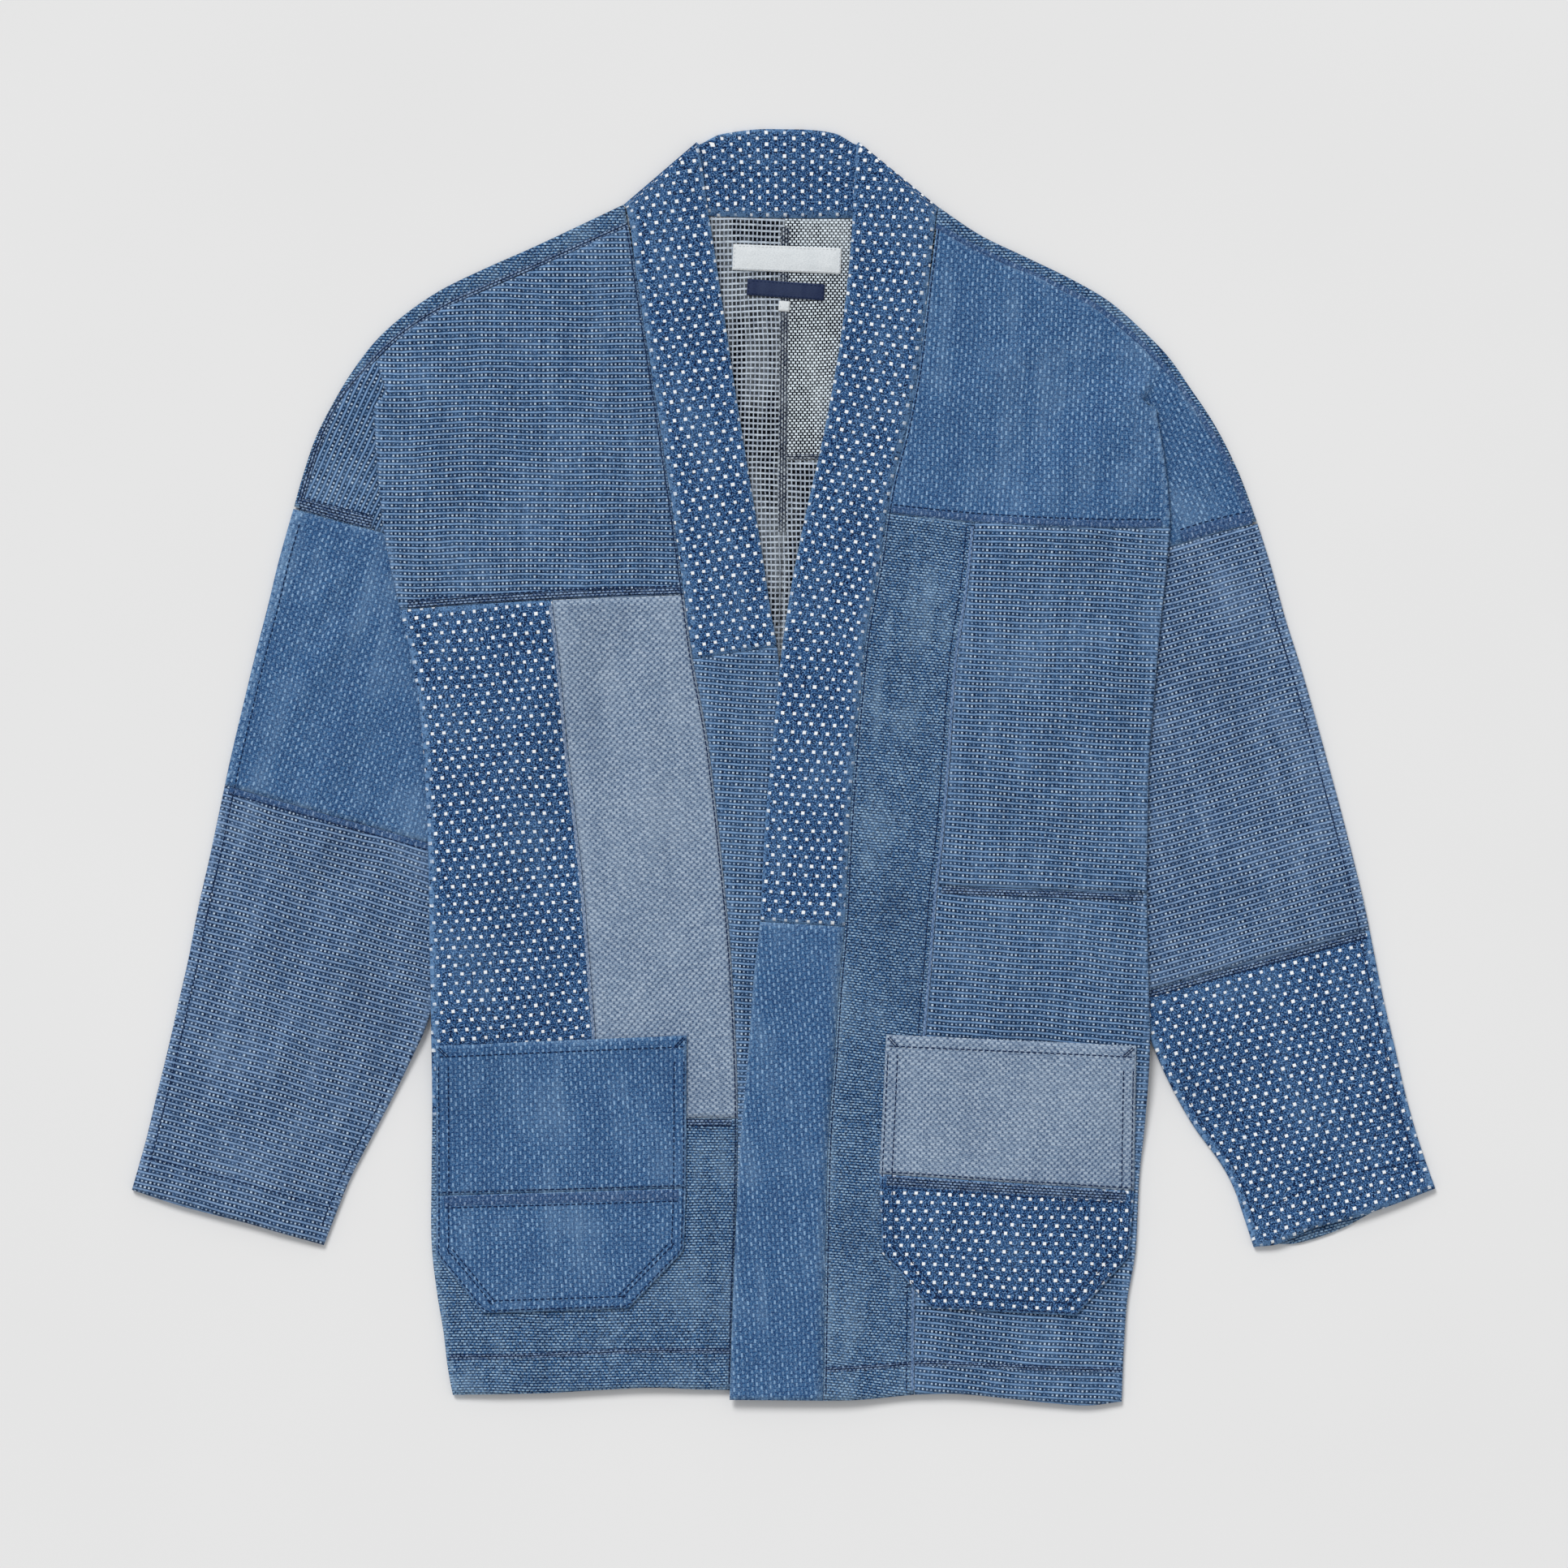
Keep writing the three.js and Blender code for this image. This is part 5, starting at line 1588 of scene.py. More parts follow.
@dataclass
class Sleeve:
    """One sleeve: upper and lower front, back, elbow seam and cuff."""

    half: Half
    side: str
    finishes: tuple[Finish, Finish, Finish]
    cuts: tuple[tuple[float, float], tuple[float, float], tuple[float, float]]
    areas: tuple[float, float, float]
    cuff_stitch: Points
    turn: float
    back_gap: float = 1.5
    back_width: float = 150.0
    length: float = 480.0
    seam_size: tuple[float, float] = (4.5, 0.4)
    seam_line: float = 2.2
    stitch_line: float = 4.4

    def build(self, tailor: Tailor) -> None:
        """Builds and dresses the sleeve.

        Args:
            tailor: It dresses the pieces.
        """
        half, shape = self.half, self.half.shape
        elbow = cross_seam(np.array([x_at(half.outer, shape.elbow_outer), shape.elbow_outer]),
                           np.array([x_at(half.underarm, shape.elbow_inner), shape.elbow_inner]))
        upper = self.front("upper", Field(between(half.outer, half.outer[0, 1], shape.elbow_outer),
                                          between(half.underarm, half.underarm[0, 1], shape.elbow_inner),
                                          half.armhole, elbow))
        lower = self.front("lower", Field(between(half.outer, shape.elbow_outer, half.outer[-1, 1]),
                                          between(half.underarm, shape.elbow_inner, half.underarm[-1, 1]),
                                          elbow, half.cuff))
        back = self.back()
        sewn = self.sewing(tailor, elbow)
        for k, (obj, part) in enumerate(((upper, "upper"), (lower, "lower"), (back, "back"))):
            tailor.dress(obj, self.finishes[k], f"sleeve_{self.side}_{part}")

    def front(self, part: str, area: Field) -> Piece:
        """Makes a front piece of the sleeve, with both long edges turned under.

        Args:
            part: The piece's name.
            area: Its field.

        Returns:
            The object.
        """
        half = self.half
        outer_inset, inner_inset = half.inset(area.left, EDGE), half.inset(area.right, -EDGE)
        v = gapped(shares(area.tall), area.tall)
        place = Field(outer_inset, inner_inset, area.top, area.bottom).places(shares(area.wide)[1:-1], v)
        outer = self.edge(at(outer_inset, v), outward(area.left, v) * half.inward)
        inner = self.edge(at(inner_inset, v), -outward(area.right, v) * half.inward)[::-1]
        upper = laid(place, half.sleeve_height)
        rows = np.concatenate([np.stack(outer, axis=1), upper, np.stack(inner, axis=1)], axis=1)
        first, last = len(outer) - 1, rows.shape[1] - len(inner)
        name = f"sleeve_{self.side}_{part}_cloth"
        return shell(name, rows, plan_uv(rows, first, last, self.turn), rim_mask(rows, first, last))

    def edge(self, centre: np.ndarray, direction: np.ndarray) -> list[np.ndarray]:
        """Makes the columns of a turned-under edge, from its inner end to the upper ply.

        Args:
            centre: Where the bend starts, for each row.
            direction: The way out, for each row.

        Returns:
            The columns.
        """
        columns = [laid(centre - direction * (RETURN - EDGE) * share, self.half.sleeve_back_height)
                   for share in (1.0, 0.5, 0.0)]
        high = self.half.sleeve_height(centre)
        return columns + bend_points(centre, direction, columns[-1][:, 2], high) + [lifted(centre, high)]

    def back(self) -> Piece:
        """Makes the back of the sleeve, which lies on the floor.

        Returns:
            The object.
        """
        half = self.half
        reach = RETURN + self.back_gap
        area = Field(half.inset(half.outer, reach), half.inset(half.underarm, -reach), half.armhole,
                     smooth(half.shape.cuff_back))
        place = area.places(shares(self.back_width), gapped(shares(self.length), self.length))
        return panel(f"sleeve_{self.side}_back_cloth", place, half.sleeve_back_height, self.turn)

    def sewing(self, tailor: Tailor, elbow: Line) -> list[Piece]:
        """Makes the elbow's felled seam and the cuff's and underarm's stitches.

        Args:
            tailor: It dresses the pieces.
            elbow: The seam across the sleeve.

        Returns:
            The sewing.
        """
        half = self.half
        cuff = half.underarm[-1, 1]
        seam, upper = (portion(half.inset(elbow, -step), 0.02, 0.98)
                       for step in (self.seam_line, self.stitch_line))
        rows = [smooth(self.cuff_stitch), upper,
                between(half.inset(half.underarm, -6), half.shape.sleeve_exit - 30, cuff + 14),
                between(half.inset(half.outer, 7), half.outer[0, 1] - 10, half.outer[-1, 1] + 12)]
        # On the right sleeve the elbow seam band is the blue cloth painted darker, as painted shade.
        finish = SPECKLED_FOLD if self.side == "left" else SHADED_BLUE_FOLD
        return [tailor.fold(f"sleeve_{self.side}_elbow_seam", seam, half.sleeve_top, self.seam_size, finish),
                tailor.sew(f"sleeve_{self.side}_stitches", rows, half.sleeve_top)]


@dataclass
class Yoke:
    """The shoulder piece: cap, the ply under the body, the side fold and the chest."""

    half: Half
    side: str
    rests_on: str
    finish: Finish
    cut: tuple[float, float]
    area: float
    turn: float
    cap_turn: float
    fold: Finish
    cap_columns: int = 18
    chest_columns: int = 38
    rows: int = 48
    fold_share: float = 0.08
    ramp: float = 9.0
    return_steps: int = 8
    armhole_size: tuple[float, float] = (8.2, 0.5)
    hem_size: tuple[float, float] = (5.0, 0.55)
    shoulder_size: tuple[float, float] = (4.4, 0.35)

    def build(self, tailor: Tailor) -> None:
        """Builds and dresses the yoke.

        Args:
            tailor: It dresses the pieces.
        """
        obj = self.cloth()
        tailor.dress(obj, self.finish, f"front_{self.side}_yoke")
        self.sewing(tailor)

    def cloth(self) -> Piece:
        """Makes the yoke's cloth.

        Returns:
            The object.
        """
        half, shape = self.half, self.half.shape
        outer_fold = between(half.fold, shape.apex[1], shape.yoke_fold)
        collar_line = between(half.collar_seam, half.shoulder_seam[0, 1], shape.yoke_collar)
        cap_top = portion(half.shoulder_seam, 1, half.apex_share)
        chest_top = portion(half.shoulder_seam, half.apex_share, 0)
        inner_fold = straight((shape.apex, (shape.armpit[0], shape.armpit[1] + ARMPIT_GAP)))
        armhole = half.inset(portion(half.armhole, 0.025, 0.955), SEAM / 2)
        tall = shape.apex[1] - shape.yoke_fold
        raised = APEX_FADE / tall
        v = gapped(np.linspace(0, 1, self.rows + 1), tall)
        start, end = at(armhole, v), at(collar_line, v)
        inner, outer = at(half.inset(inner_fold, -EDGE), v), at(half.inset(outer_fold, EDGE), v)
        along = end - start
        along /= np.linalg.norm(along, axis=-1, keepdims=True)
        end = end - along * SEAM / 2
        folded = self.folded(inner, outer, -outward(inner_fold, v) * half.inward,
                             outward(outer_fold, v) * half.inward)
        state = ease(v, raised, raised + self.fold_share)[:, None, None]
        crossing = blend(self.ramp_columns((inner + outer) / 2, along, folded.shape[1]), folded, state)
        down = v[:, None, None]
        u = np.linspace(0, 1, self.cap_columns + 1)[:-1]
        place = blend(start[:, None], crossing[:, :1, :2], u[None, :, None])
        place = place + bow(cap_top, u)[None] * (1 - down)
        cap = laid(place, half.sleeve_height)
        u = np.linspace(0, 1, self.chest_columns + 1)[1:]
        place = blend(crossing[:, -1:, :2], end[:, None], u[None, :, None])
        place = place + bow(chest_top, u)[None] * (1 - down) + bow(half.yoke_hem, u)[None] * down
        rows = np.concatenate([cap, crossing, laid(place, half.front_height)], axis=1)
        first_chest = self.cap_columns + crossing.shape[1] - 1
        uv = plan_uv(rows, first_chest, turn=self.turn)
        under = self.cap_columns + BEND_STEPS + self.return_steps // 2
        uv[:, :under] = turned(rows[:, :under, :2], self.cap_turn)
        rim = rim_mask(rows)
        rim[self.rows // 5 :, first_chest - 2 : first_chest + 1] = 1
        return shell(f"front_{self.side}_yoke_cloth", rows, uv, rim)

    def folded(self, inner: np.ndarray, outer: np.ndarray, inner_way: np.ndarray,
               outer_way: np.ndarray) -> np.ndarray:
        """Makes the columns from the cap, in under the body and out to the side fold.

        Args:
            inner: The fold below the body, for each row.
            outer: The side fold, for each row.
            inner_way: The way out at the inner fold.
            outer_way: The way out at the side fold.

        Returns:
            The columns.
        """
        half = self.half
        low, high = half.sleeve_height(inner), half.front_height(outer)
        low_middle, high_middle = half.return_height(inner[:, 1]), half.return_height(outer[:, 1])
        columns = [lifted(inner, low), *bend_points(inner, inner_way, low, low_middle)]
        for share in np.linspace(0, 1, self.return_steps + 1):
            columns.append(lifted(blend(inner, outer, share), blend(low_middle, high_middle, share)))
        columns += [*bend_points(outer, outer_way, high_middle, high), lifted(outer, high)]
        return np.stack(columns, axis=1)

    def ramp_columns(self, middle: np.ndarray, along: np.ndarray, count: int) -> np.ndarray:
        """Makes the columns of the short rise from the cap to the chest, above the folds.

        Args:
            middle: Its middle, for each row.
            along: The row's direction.
            count: How many columns it has.

        Returns:
            The columns.
        """
        start, end = middle - along * self.ramp / 2, middle + along * self.ramp / 2
        low, high = self.half.sleeve_height(start), self.half.front_height(end)
        return np.stack([lifted(blend(start, end, share), blend(low, high, float(ease(share, 0, 1))))
                         for share in np.linspace(0, 1, count)], axis=1)

    def sewing(self, tailor: Tailor) -> list[Piece]:
        """Makes the felled seams of the armhole, the shoulder and the yoke's lower edge.

        Args:
            tailor: It dresses the pieces.

        Returns:
            The sewing.
        """
        half, side = self.half, self.side
        outside = half.armhole[half.inside(half.armhole) < -8]
        hem, hem_stitch = (portion(half.inset(half.yoke_hem, step), 0.03, 0.985) for step in (3.0, 6.2))
        shoulder = portion(half.inset(half.shoulder_seam, -1.2), 0.0, 0.985)
        folds = (("armhole", half.inset(outside, 4.6)[2:], half.sleeve_top, self.armhole_size),
                 ("yoke", hem, half.front_top, self.hem_size),
                 ("shoulder", shoulder, half.seam_top, self.shoulder_size))
        sewn = [tailor.fold(f"{word}_{side}_seam", line, surface, size, self.fold)
                for word, line, surface, size in folds]
        sewn.append(tailor.sew(f"armhole_{side}_stitches", [half.inset(outside, 9.4)[3:]], half.sleeve_top))
        sewn.append(tailor.sew(f"yoke_{side}_stitches", [hem_stitch], half.front_top))
        return sewn


@dataclass
class Pocket:
    """A patch pocket of two pieces, stitched round its edge."""

    half: Half
    side: str
    rests_on: str
    finishes: tuple[Finish, Finish]
    fold: Finish
    levels: tuple[Points, Points, Points, Points]
    turn: float
    cuts: tuple[tuple[float, float], tuple[float, float]] = ((0.17, 0.102), (0.17, 0.09))
    areas: tuple[float | None, float | None] = (None, 0.013)
    width: float = 170.0
    cell: float = 3.4
    sewn_lift: float = 1.95
    middle_lift: float = 3.0
    mouth_lift: float = 0.9
    near_row: float = 1.8
    far_row: float = 8.4
    mouth_row: float = 7.7
    fold_row: float = 4.2
    fold_size: tuple[float, float] = (7.0, 0.4)
    tack: Thread = Thread(2.0, 0.1, 0.85, 0.5)
    tack_reach: float = 6.2
    tack_inset: float = 1.6

    def build(self, tailor: Tailor) -> None:
        """Builds and dresses the pocket.

        Args:
            tailor: It dresses the pieces.
        """
        upper = self.piece("top", self.levels[:2])
        lower = self.piece("base", self.levels[1:])
        sewn = self.sewing(tailor)
        for k, (obj, part) in enumerate(((upper, "top"), (lower, "base"))):
            tailor.dress(obj, self.finishes[k], f"pocket_{self.side}_{part}")

    def middle_height(self, place: np.ndarray) -> np.ndarray:
        """The level of the middle of the pocket's cloth: sewn down at its edges and slack within.

        Args:
            place: Places in plan.

        Returns:
            The levels.
        """
        x, y = place[..., 0], place[..., 1]
        left, right = self.sides(self.levels)
        across = np.minimum(np.abs(x - x_at(left, y)), np.abs(x_at(right, y) - x))
        top_y, base_y = (np.interp(x, *zip(*level)) for level in (self.levels[0], self.levels[-1]))
        slack = ease(np.minimum(across, y - base_y), 0, 34)
        mouth = (1 - ease(top_y - y, 0, 40)) * ease(across, 0, 50)
        lift = blend(self.sewn_lift, self.middle_lift, slack) + self.mouth_lift * mouth
        return self.half.front_height(place) + lift

    def top_face(self, place: np.ndarray) -> np.ndarray:
        """The level of the pocket's upper face."""
        return self.middle_height(place) + CLOTH / 2

    @staticmethod
    def sides(levels: Sequence[Points]) -> tuple[Line, Line]:
        """The lines down the left and the right ends of some levels."""
        return straight([level[0] for level in levels]), straight([level[1] for level in levels])

    def piece(self, part: str, levels: Sequence[Points]) -> Piece:
        """Makes one piece of the pocket.

        Args:
            part: The piece's name.
            levels: Its left and right ends at each of its levels, from the top.

        Returns:
            The object.
        """
        area = Field(*self.sides(levels), straight(levels[0]), straight(levels[-1]))
        place = area.places(shares(self.width, self.cell), gapped(shares(area.tall, self.cell), area.tall))
        return panel(f"pocket_{self.side}_{part}_cloth", place, self.middle_height, self.turn)

    def inner_row(self, distance: float) -> Line:
        """A stitch row that follows the pocket's sides and base.

        Args:
            distance: How far it lies inside the edge.

        Returns:
            The row, from one end of the mouth to the other.
        """
        left, right = self.sides(self.levels)
        outline = np.vstack([left, right[::-1]])
        dense = np.concatenate([np.linspace(a, b, 30, endpoint=False)
                                for a, b in zip(outline[:-1], outline[1:])])
        return shifted(dense, -distance)[4:-4]

    def sewing(self, tailor: Tailor) -> list[Piece]:
        """Makes the double stitching, the seam's fold, the mouth's hem row and the bar tacks.

        Args:
            tailor: It dresses the pieces.

        Returns:
            The sewing.
        """
        top, seam, shoulder, base = (straight(level) for level in self.levels)
        along = (seam[1] - seam[0]) / np.linalg.norm(seam[1] - seam[0])
        square = np.array([along[1], -along[0]])
        rows = [self.inner_row(self.near_row), self.inner_row(self.far_row),
                portion(top + square * self.mouth_row, 0.01, 0.99),
                portion(seam + square * 8.6, 0.03, 0.97), portion(seam - square * 1.8, 0.02, 0.98)]
        rows += [portion(np.stack((shoulder[k], base[k])) + np.array([step, 6.5]), 0.05, 0.95)
                 for k, step in ((0, 9.0), (1, -9.0))]
        tacks = []
        for end, inward in ((top[0], along), (top[1], -along)):
            for step in (-0.5, 0.5):
                start = end + inward * (self.tack_inset - step) + square * (self.tack_inset + step)
                tacks.append(np.array([start, start + (inward + square) * self.tack_reach]))
        fold_line = portion(seam + square * self.fold_row, 0.03, 0.97)
        return [tailor.fold(f"pocket_{self.side}_seam", fold_line, self.top_face, self.fold_size, self.fold),
                tailor.sew(f"pocket_{self.side}_stitches", rows, self.top_face),
                tailor.sew(f"pocket_{self.side}_bar_tacks", tacks, self.top_face, self.tack)]


@dataclass
class Front:
    """What both fronts share: a turned-up hem and rows of stitches."""

    half: Half
    hem_size: tuple[float, float] = (3.4, 0.3)
    hem_drop: float = -1.5

    def hem(self, tailor: Tailor, side: str, stitch: Points, rows: Sequence[Line]) -> list[Piece]:
        """Makes the turned-up hem and the stitches of a front.

        Args:
            tailor: It dresses the pieces.
            side: The front's name.
            stitch: The hem's stitch row.
            rows: The front's other stitch rows.

        Returns:
            The sewing.
        """
        line, top = smooth(stitch), self.half.front_top
        turned_up = line + np.array([0, self.hem_drop])
        return [tailor.fold(f"front_{side}_hem", turned_up, top, self.hem_size, SPECKLED_FOLD),
                tailor.sew(f"front_{side}_stitches", [line, *rows], top)]


@dataclass
class RightFront(Front):
    """The right front below its yoke: dotted panel, pale panel and skirt."""

    skirt_top: float = -237.5
    pale_share: float = 0.537
    pale_seam: Points = ((-151, 67), (-145.5, 7.5), (-140, -38), (-135, -83.5), (-130.5, -138),
                         (-127, -183.5), (-123.5, -237.5))
    hem_stitch: Points = ((-226, -397.6), (-190, -397), (-157, -396), (-124, -394.5), (-91, -393),
                          (-58, -393.2), (-36.5, -393.5))
    dot_turn: float = 5.5
    pale_turn: float = 6.0
    cord_size: tuple[float, float] = (2.4, 0.7)
    fold_size: tuple[float, float] = (4.6, 0.4)

    def build(self, tailor: Tailor) -> None:
        """Builds and dresses the panels.

        Args:
            tailor: It dresses the pieces.
        """
        half, shape = self.half, self.half.shape
        skirt_top = half.across(self.skirt_top, self.skirt_top)
        pale = smooth([tuple(at(half.yoke_hem, self.pale_share)), *self.pale_seam])
        foot = (pale[-1, 0] - skirt_top[0, 0]) / (skirt_top[-1, 0] - skirt_top[0, 0])
        dots = folded_panel(half, "front_right_dot_panel_cloth",
                            Field(between(half.fold, shape.yoke_fold, self.skirt_top), pale,
                                  portion(half.yoke_hem, 0, self.pale_share), portion(skirt_top, 0, foot)),
                            self.dot_turn, shape.armpit[1] - ARMPIT_GAP)
        plain = flat_panel(half, "front_right_pale_panel_cloth",
                           Field(pale, between(half.collar_seam, shape.yoke_collar, self.skirt_top),
                                 portion(half.yoke_hem, self.pale_share, 1), portion(skirt_top, foot, 1)),
                           self.pale_turn)
        skirt = folded_panel(half, "front_right_skirt_cloth",
                             Field(between(half.fold, self.skirt_top, half.fold[-1, 1]),
                                   between(half.collar_seam, self.skirt_top, half.collar_seam[-1, 1]),
                                   skirt_top, half.hem), 0.0)
        cord_line = portion(shifted(pale, 1.4), 0.01, 0.99)
        fold_line, stitch_line = (portion(shifted(skirt_top, step), 0.02, 0.98) for step in (2.6, 5.2))
        sewn = [tailor.fold("pale_panel_cord", cord_line, half.front_top, self.cord_size, PALE_CORD),
                tailor.fold("skirt_seam", fold_line, half.front_top, self.fold_size, SPECKLED_FOLD),
                *self.hem(tailor, "right", self.hem_stitch, [stitch_line])]
        for obj, finish, node in ((dots, DOTS_BODY, "front_right_dot_panel"),
                                  (plain, PALE_BODY, "front_right_pale_panel"),
                                  (skirt, FINE_BODY, "front_right_skirt")):
            tailor.dress(obj, finish, node)


@dataclass
class LeftFront(Front):
    """The left front below its yoke: fine strip and the two grid panels."""

    strip_share: float = 0.69
    strip_seam: Points = ((125, 121.5), (117.5, 71.5), (113, 7.5), (108.5, -47.5), (104.5, -81),
                          (100.5, -134), (96.5, -181.5), (93, -249.5), (90.5, -304.5), (89, -359.5),
                          (88.5, -424.5))
    strip_mid: float = -80.0
    fold_mid: float = -85.0
    hem_stitch: Points = ((229, -406.5), (190, -405.5), (151, -404), (118, -402.5), (90.5, -402),
                          (58, -404.5), (28, -406))
    strip_turn: float = -7.0
    upper_turn: float = -3.0
    lower_turn: float = -5.0
    cord_size: tuple[float, float] = (2.2, 0.6)
    fold_size: tuple[float, float] = (5.0, 0.5)

    def build(self, tailor: Tailor) -> None:
        """Builds and dresses the panels.

        Args:
            tailor: It dresses the pieces.
        """
        half, shape = self.half, self.half.shape
        start = at(half.yoke_hem, self.strip_share)
        seam = smooth([tuple(start), *self.strip_seam])
        fold_point = np.array([x_at(half.fold, self.fold_mid), self.fold_mid])
        mid_seam = cross_seam(fold_point, np.array([x_at(seam, self.strip_mid), self.strip_mid]))
        foot = [point[0] for point in shape.hem].index(self.strip_seam[-1][0])
        strip = flat_panel(half, "front_left_fine_strip_cloth",
                           Field(between(half.collar_seam, shape.yoke_collar, half.collar_seam[-1, 1]), seam,
                                 portion(half.yoke_hem, 1, self.strip_share), smooth(shape.hem[foot:][::-1])),
                           self.strip_turn)
        upper = folded_panel(half, "front_left_grid_upper_cloth",
                             Field(between(half.fold, shape.yoke_fold, self.fold_mid),
                                   between(seam, float(start[1]), self.strip_mid),
                                   portion(half.yoke_hem, 0, self.strip_share), mid_seam),
                             self.upper_turn, shape.armpit[1] - ARMPIT_GAP)
        lower = folded_panel(half, "front_left_grid_lower_cloth",
                             Field(between(half.fold, self.fold_mid, half.fold[-1, 1]),
                                   between(seam, self.strip_mid, seam[-1, 1]),
                                   mid_seam, smooth(shape.hem[: foot + 1])), self.lower_turn)
        cord_line, stitch_line = (portion(shifted(seam, step), 0.005, 0.995) for step in (1.3, 5.4))
        fold_line = portion(shifted(mid_seam, -3.0), 0.02, 0.98)
        sewn = [tailor.fold("strip_cord", cord_line, half.front_top, self.cord_size, SEAM_CORD),
                tailor.fold("grid_seam", fold_line, half.front_top, self.fold_size, SPECKLED_FOLD),
                *self.hem(tailor, "left", self.hem_stitch, [stitch_line])]
        for obj, finish, node in ((strip, FINE_BODY, "front_left_fine_strip"),
                                  (upper, GRID_BODY, "front_left_grid_upper"),
                                  (lower, GRID_BODY, "front_left_grid_lower")):
            tailor.dress(obj, finish, node)


@dataclass
class Collar:
    """The long band: the dotted strip round the neck and the two lower ends."""

    right: Half
    left: Half
    right_seam: tuple[float, float] = (73.5, 82.0)
    left_seam: tuple[float, float] = (-107.5, -104.0)
    neck_rows: int = 44
    settle_share: float = 0.16
    columns: tuple[float, ...] = (0.0, 0.12, 0.3, 0.5, 0.7, 0.86, 0.95, 1.0)
    cell: float = 4.0
    crown: float = 0.35
    thickness: float = 2.2
    lower_turn: float = -4.0
    stitch_line: float = 1.6
    # Close, wide stitches: the dark row is partly thread and partly painted shadow of the gap beside the
    # band.
    thread: Thread = Thread(3.4, 0.6, 1.0, 0.35)

    def build(self, tailor: Tailor) -> None:
        """Builds and dresses the band.

        Args:
            tailor: It dresses the pieces.
        """
        band = self.strip()
        right = self.lower(self.right, "right", self.right_seam)
        left = self.lower(self.left, "left", self.left_seam)
        sewn = self.sewing(tailor)
        tailor.dress(band, DOTS_BODY, "collar_band_dots")
        tailor.dress(right, GRID_BODY, "collar_right_lower")
        tailor.dress(left, BLUE_BODY, "collar_left_lower")

    def rows(self, half: Half, seam: Line, free: Line) -> np.ndarray:
        """Makes the rows of a stretch of the band along a front.

        Args:
            half: The half it belongs to.
            seam: The line at the front's side.
            free: The line at its free edge.

        Returns:
            The points.
        """
        tall = seam[0, 1] - seam[-1, 1]
        v = gapped(shares(tall, self.cell), tall)
        inner, outer = at(seam, v), at(free, v)
        gap = SEAM / 2 / np.linalg.norm(outer - inner, axis=-1)[:, None]
        share = gap + (1 - gap) * np.array(self.columns)[None]
        place = blend(inner[:, None], outer[:, None], share[..., None])
        wave = 0.22 * np.sin(place[..., 1] / 13) * np.sin(place[..., 1] / 31 + 1)
        level = (COLLAR_LEVEL + half.lap(inner))[:, None]
        return lifted(place, level + self.crown * np.sin(math.pi * share) * (0.5 + wave))

    def neck_turn(self, half: Half) -> np.ndarray:
        """The way past the shoulder in plan, square to the band's end."""
        along = half.free[0] - half.collar_seam[0]
        along = along / np.linalg.norm(along)
        return np.array([-along[1], along[0]]) * half.inward

    def settled(self, rows: np.ndarray, way: np.ndarray, share: np.ndarray) -> np.ndarray:
        """Draws the rows near the neck turn back by the band's bend.

        Args:
            rows: The points.
            way: The way past the shoulder.
            share: How far each row is from the turn.

        Returns:
            The moved points.
        """
        reach = -BAND_EDGE * (1 - ease(share, 0, self.settle_share))
        moved = rows.copy()
        moved[..., :2] += reach[:, None, None] * way
        return moved

    def front_rows(self, half: Half, ends: tuple[float, float]) -> np.ndarray:
        """Makes the rows from a front seam up to and round the neck turn.

        Args:
            half: The half.
            ends: Where the strip ends at the front's side and at its free edge.

        Returns:
            The points, from the lower end up.
        """
        rows = self.rows(half, between(half.collar_seam, half.collar_seam[0, 1], ends[0]),
                         between(half.free, half.free[0, 1], ends[1]))
        way = self.neck_turn(half)
        rows = self.settled(rows, way, np.linspace(0, 1, len(rows)))
        turn = []
        for k in range(1, BEND_STEPS):
            angle = math.pi / 2 - math.pi * k / BEND_STEPS
            row = rows[0].copy()
            row[:, :2] += way * BAND_BEND * math.cos(angle)
            row[:, 2] = (COLLAR_LEVEL + BAND_LEVEL) / 2 + BAND_BEND * math.sin(angle)
            turn.append(row)
        return np.concatenate([rows[::-1], np.stack(turn)])

    def strip(self) -> Piece:
        """Makes the dotted strip, from the right chest round the neck to the left waist.

        Returns:
            The object.
        """
        share = np.linspace(0, 1, self.neck_rows + 1)
        seam, free = at(smooth(NECK_SEAM), share), at(smooth(COLLAR_TOP), share)
        across = np.array(self.columns)[None, :, None] * 0.994 + 0.006
        back = lifted(blend(seam[:, None], free[:, None], across), BAND_LEVEL)
        back = self.settled(back, self.neck_turn(self.right), share)
        back = self.settled(back, self.neck_turn(self.left), 1 - share)
        right = self.front_rows(self.right, self.right_seam)
        left = self.front_rows(self.left, self.left_seam)[::-1]
        rows = np.concatenate([right, back, left])
        middle = rows[:, len(self.columns) // 2]
        steps = np.linalg.norm(np.diff(middle, axis=0), axis=-1)
        along = np.concatenate([[0.0], np.cumsum(steps)])
        ahead = np.gradient(middle, axis=0)
        ahead /= np.linalg.norm(ahead, axis=-1, keepdims=True)
        square = rows[:, -1] - rows[:, 0]
        square -= (square * ahead).sum(axis=-1, keepdims=True) * ahead
        square /= np.linalg.norm(square, axis=-1, keepdims=True)
        offset = rows - middle[:, None]
        uv = np.stack([(offset * square[:, None]).sum(axis=-1),
                       along[:, None] + (offset * ahead[:, None]).sum(axis=-1)], axis=-1)
        return shell("collar_band_cloth", rows, uv, rim_mask(rows), self.thickness)

    def lower(self, half: Half, side: str, start: tuple[float, float]) -> Piece:
        """Makes the lower end of the band.

        Args:
            half: The half.
            side: Its name.
            start: Where it starts at the front's side and at its free edge.

        Returns:
            The object.
        """
        rows = self.rows(half, between(half.collar_seam, start[0], half.collar_seam[-1, 1]),
                         between(half.free, start[1], half.free[-1, 1]))
        uv = plan_uv(rows, turn=self.lower_turn * half.inward)
        return shell(f"collar_{side}_lower_cloth", rows, uv, rim_mask(rows), self.thickness)

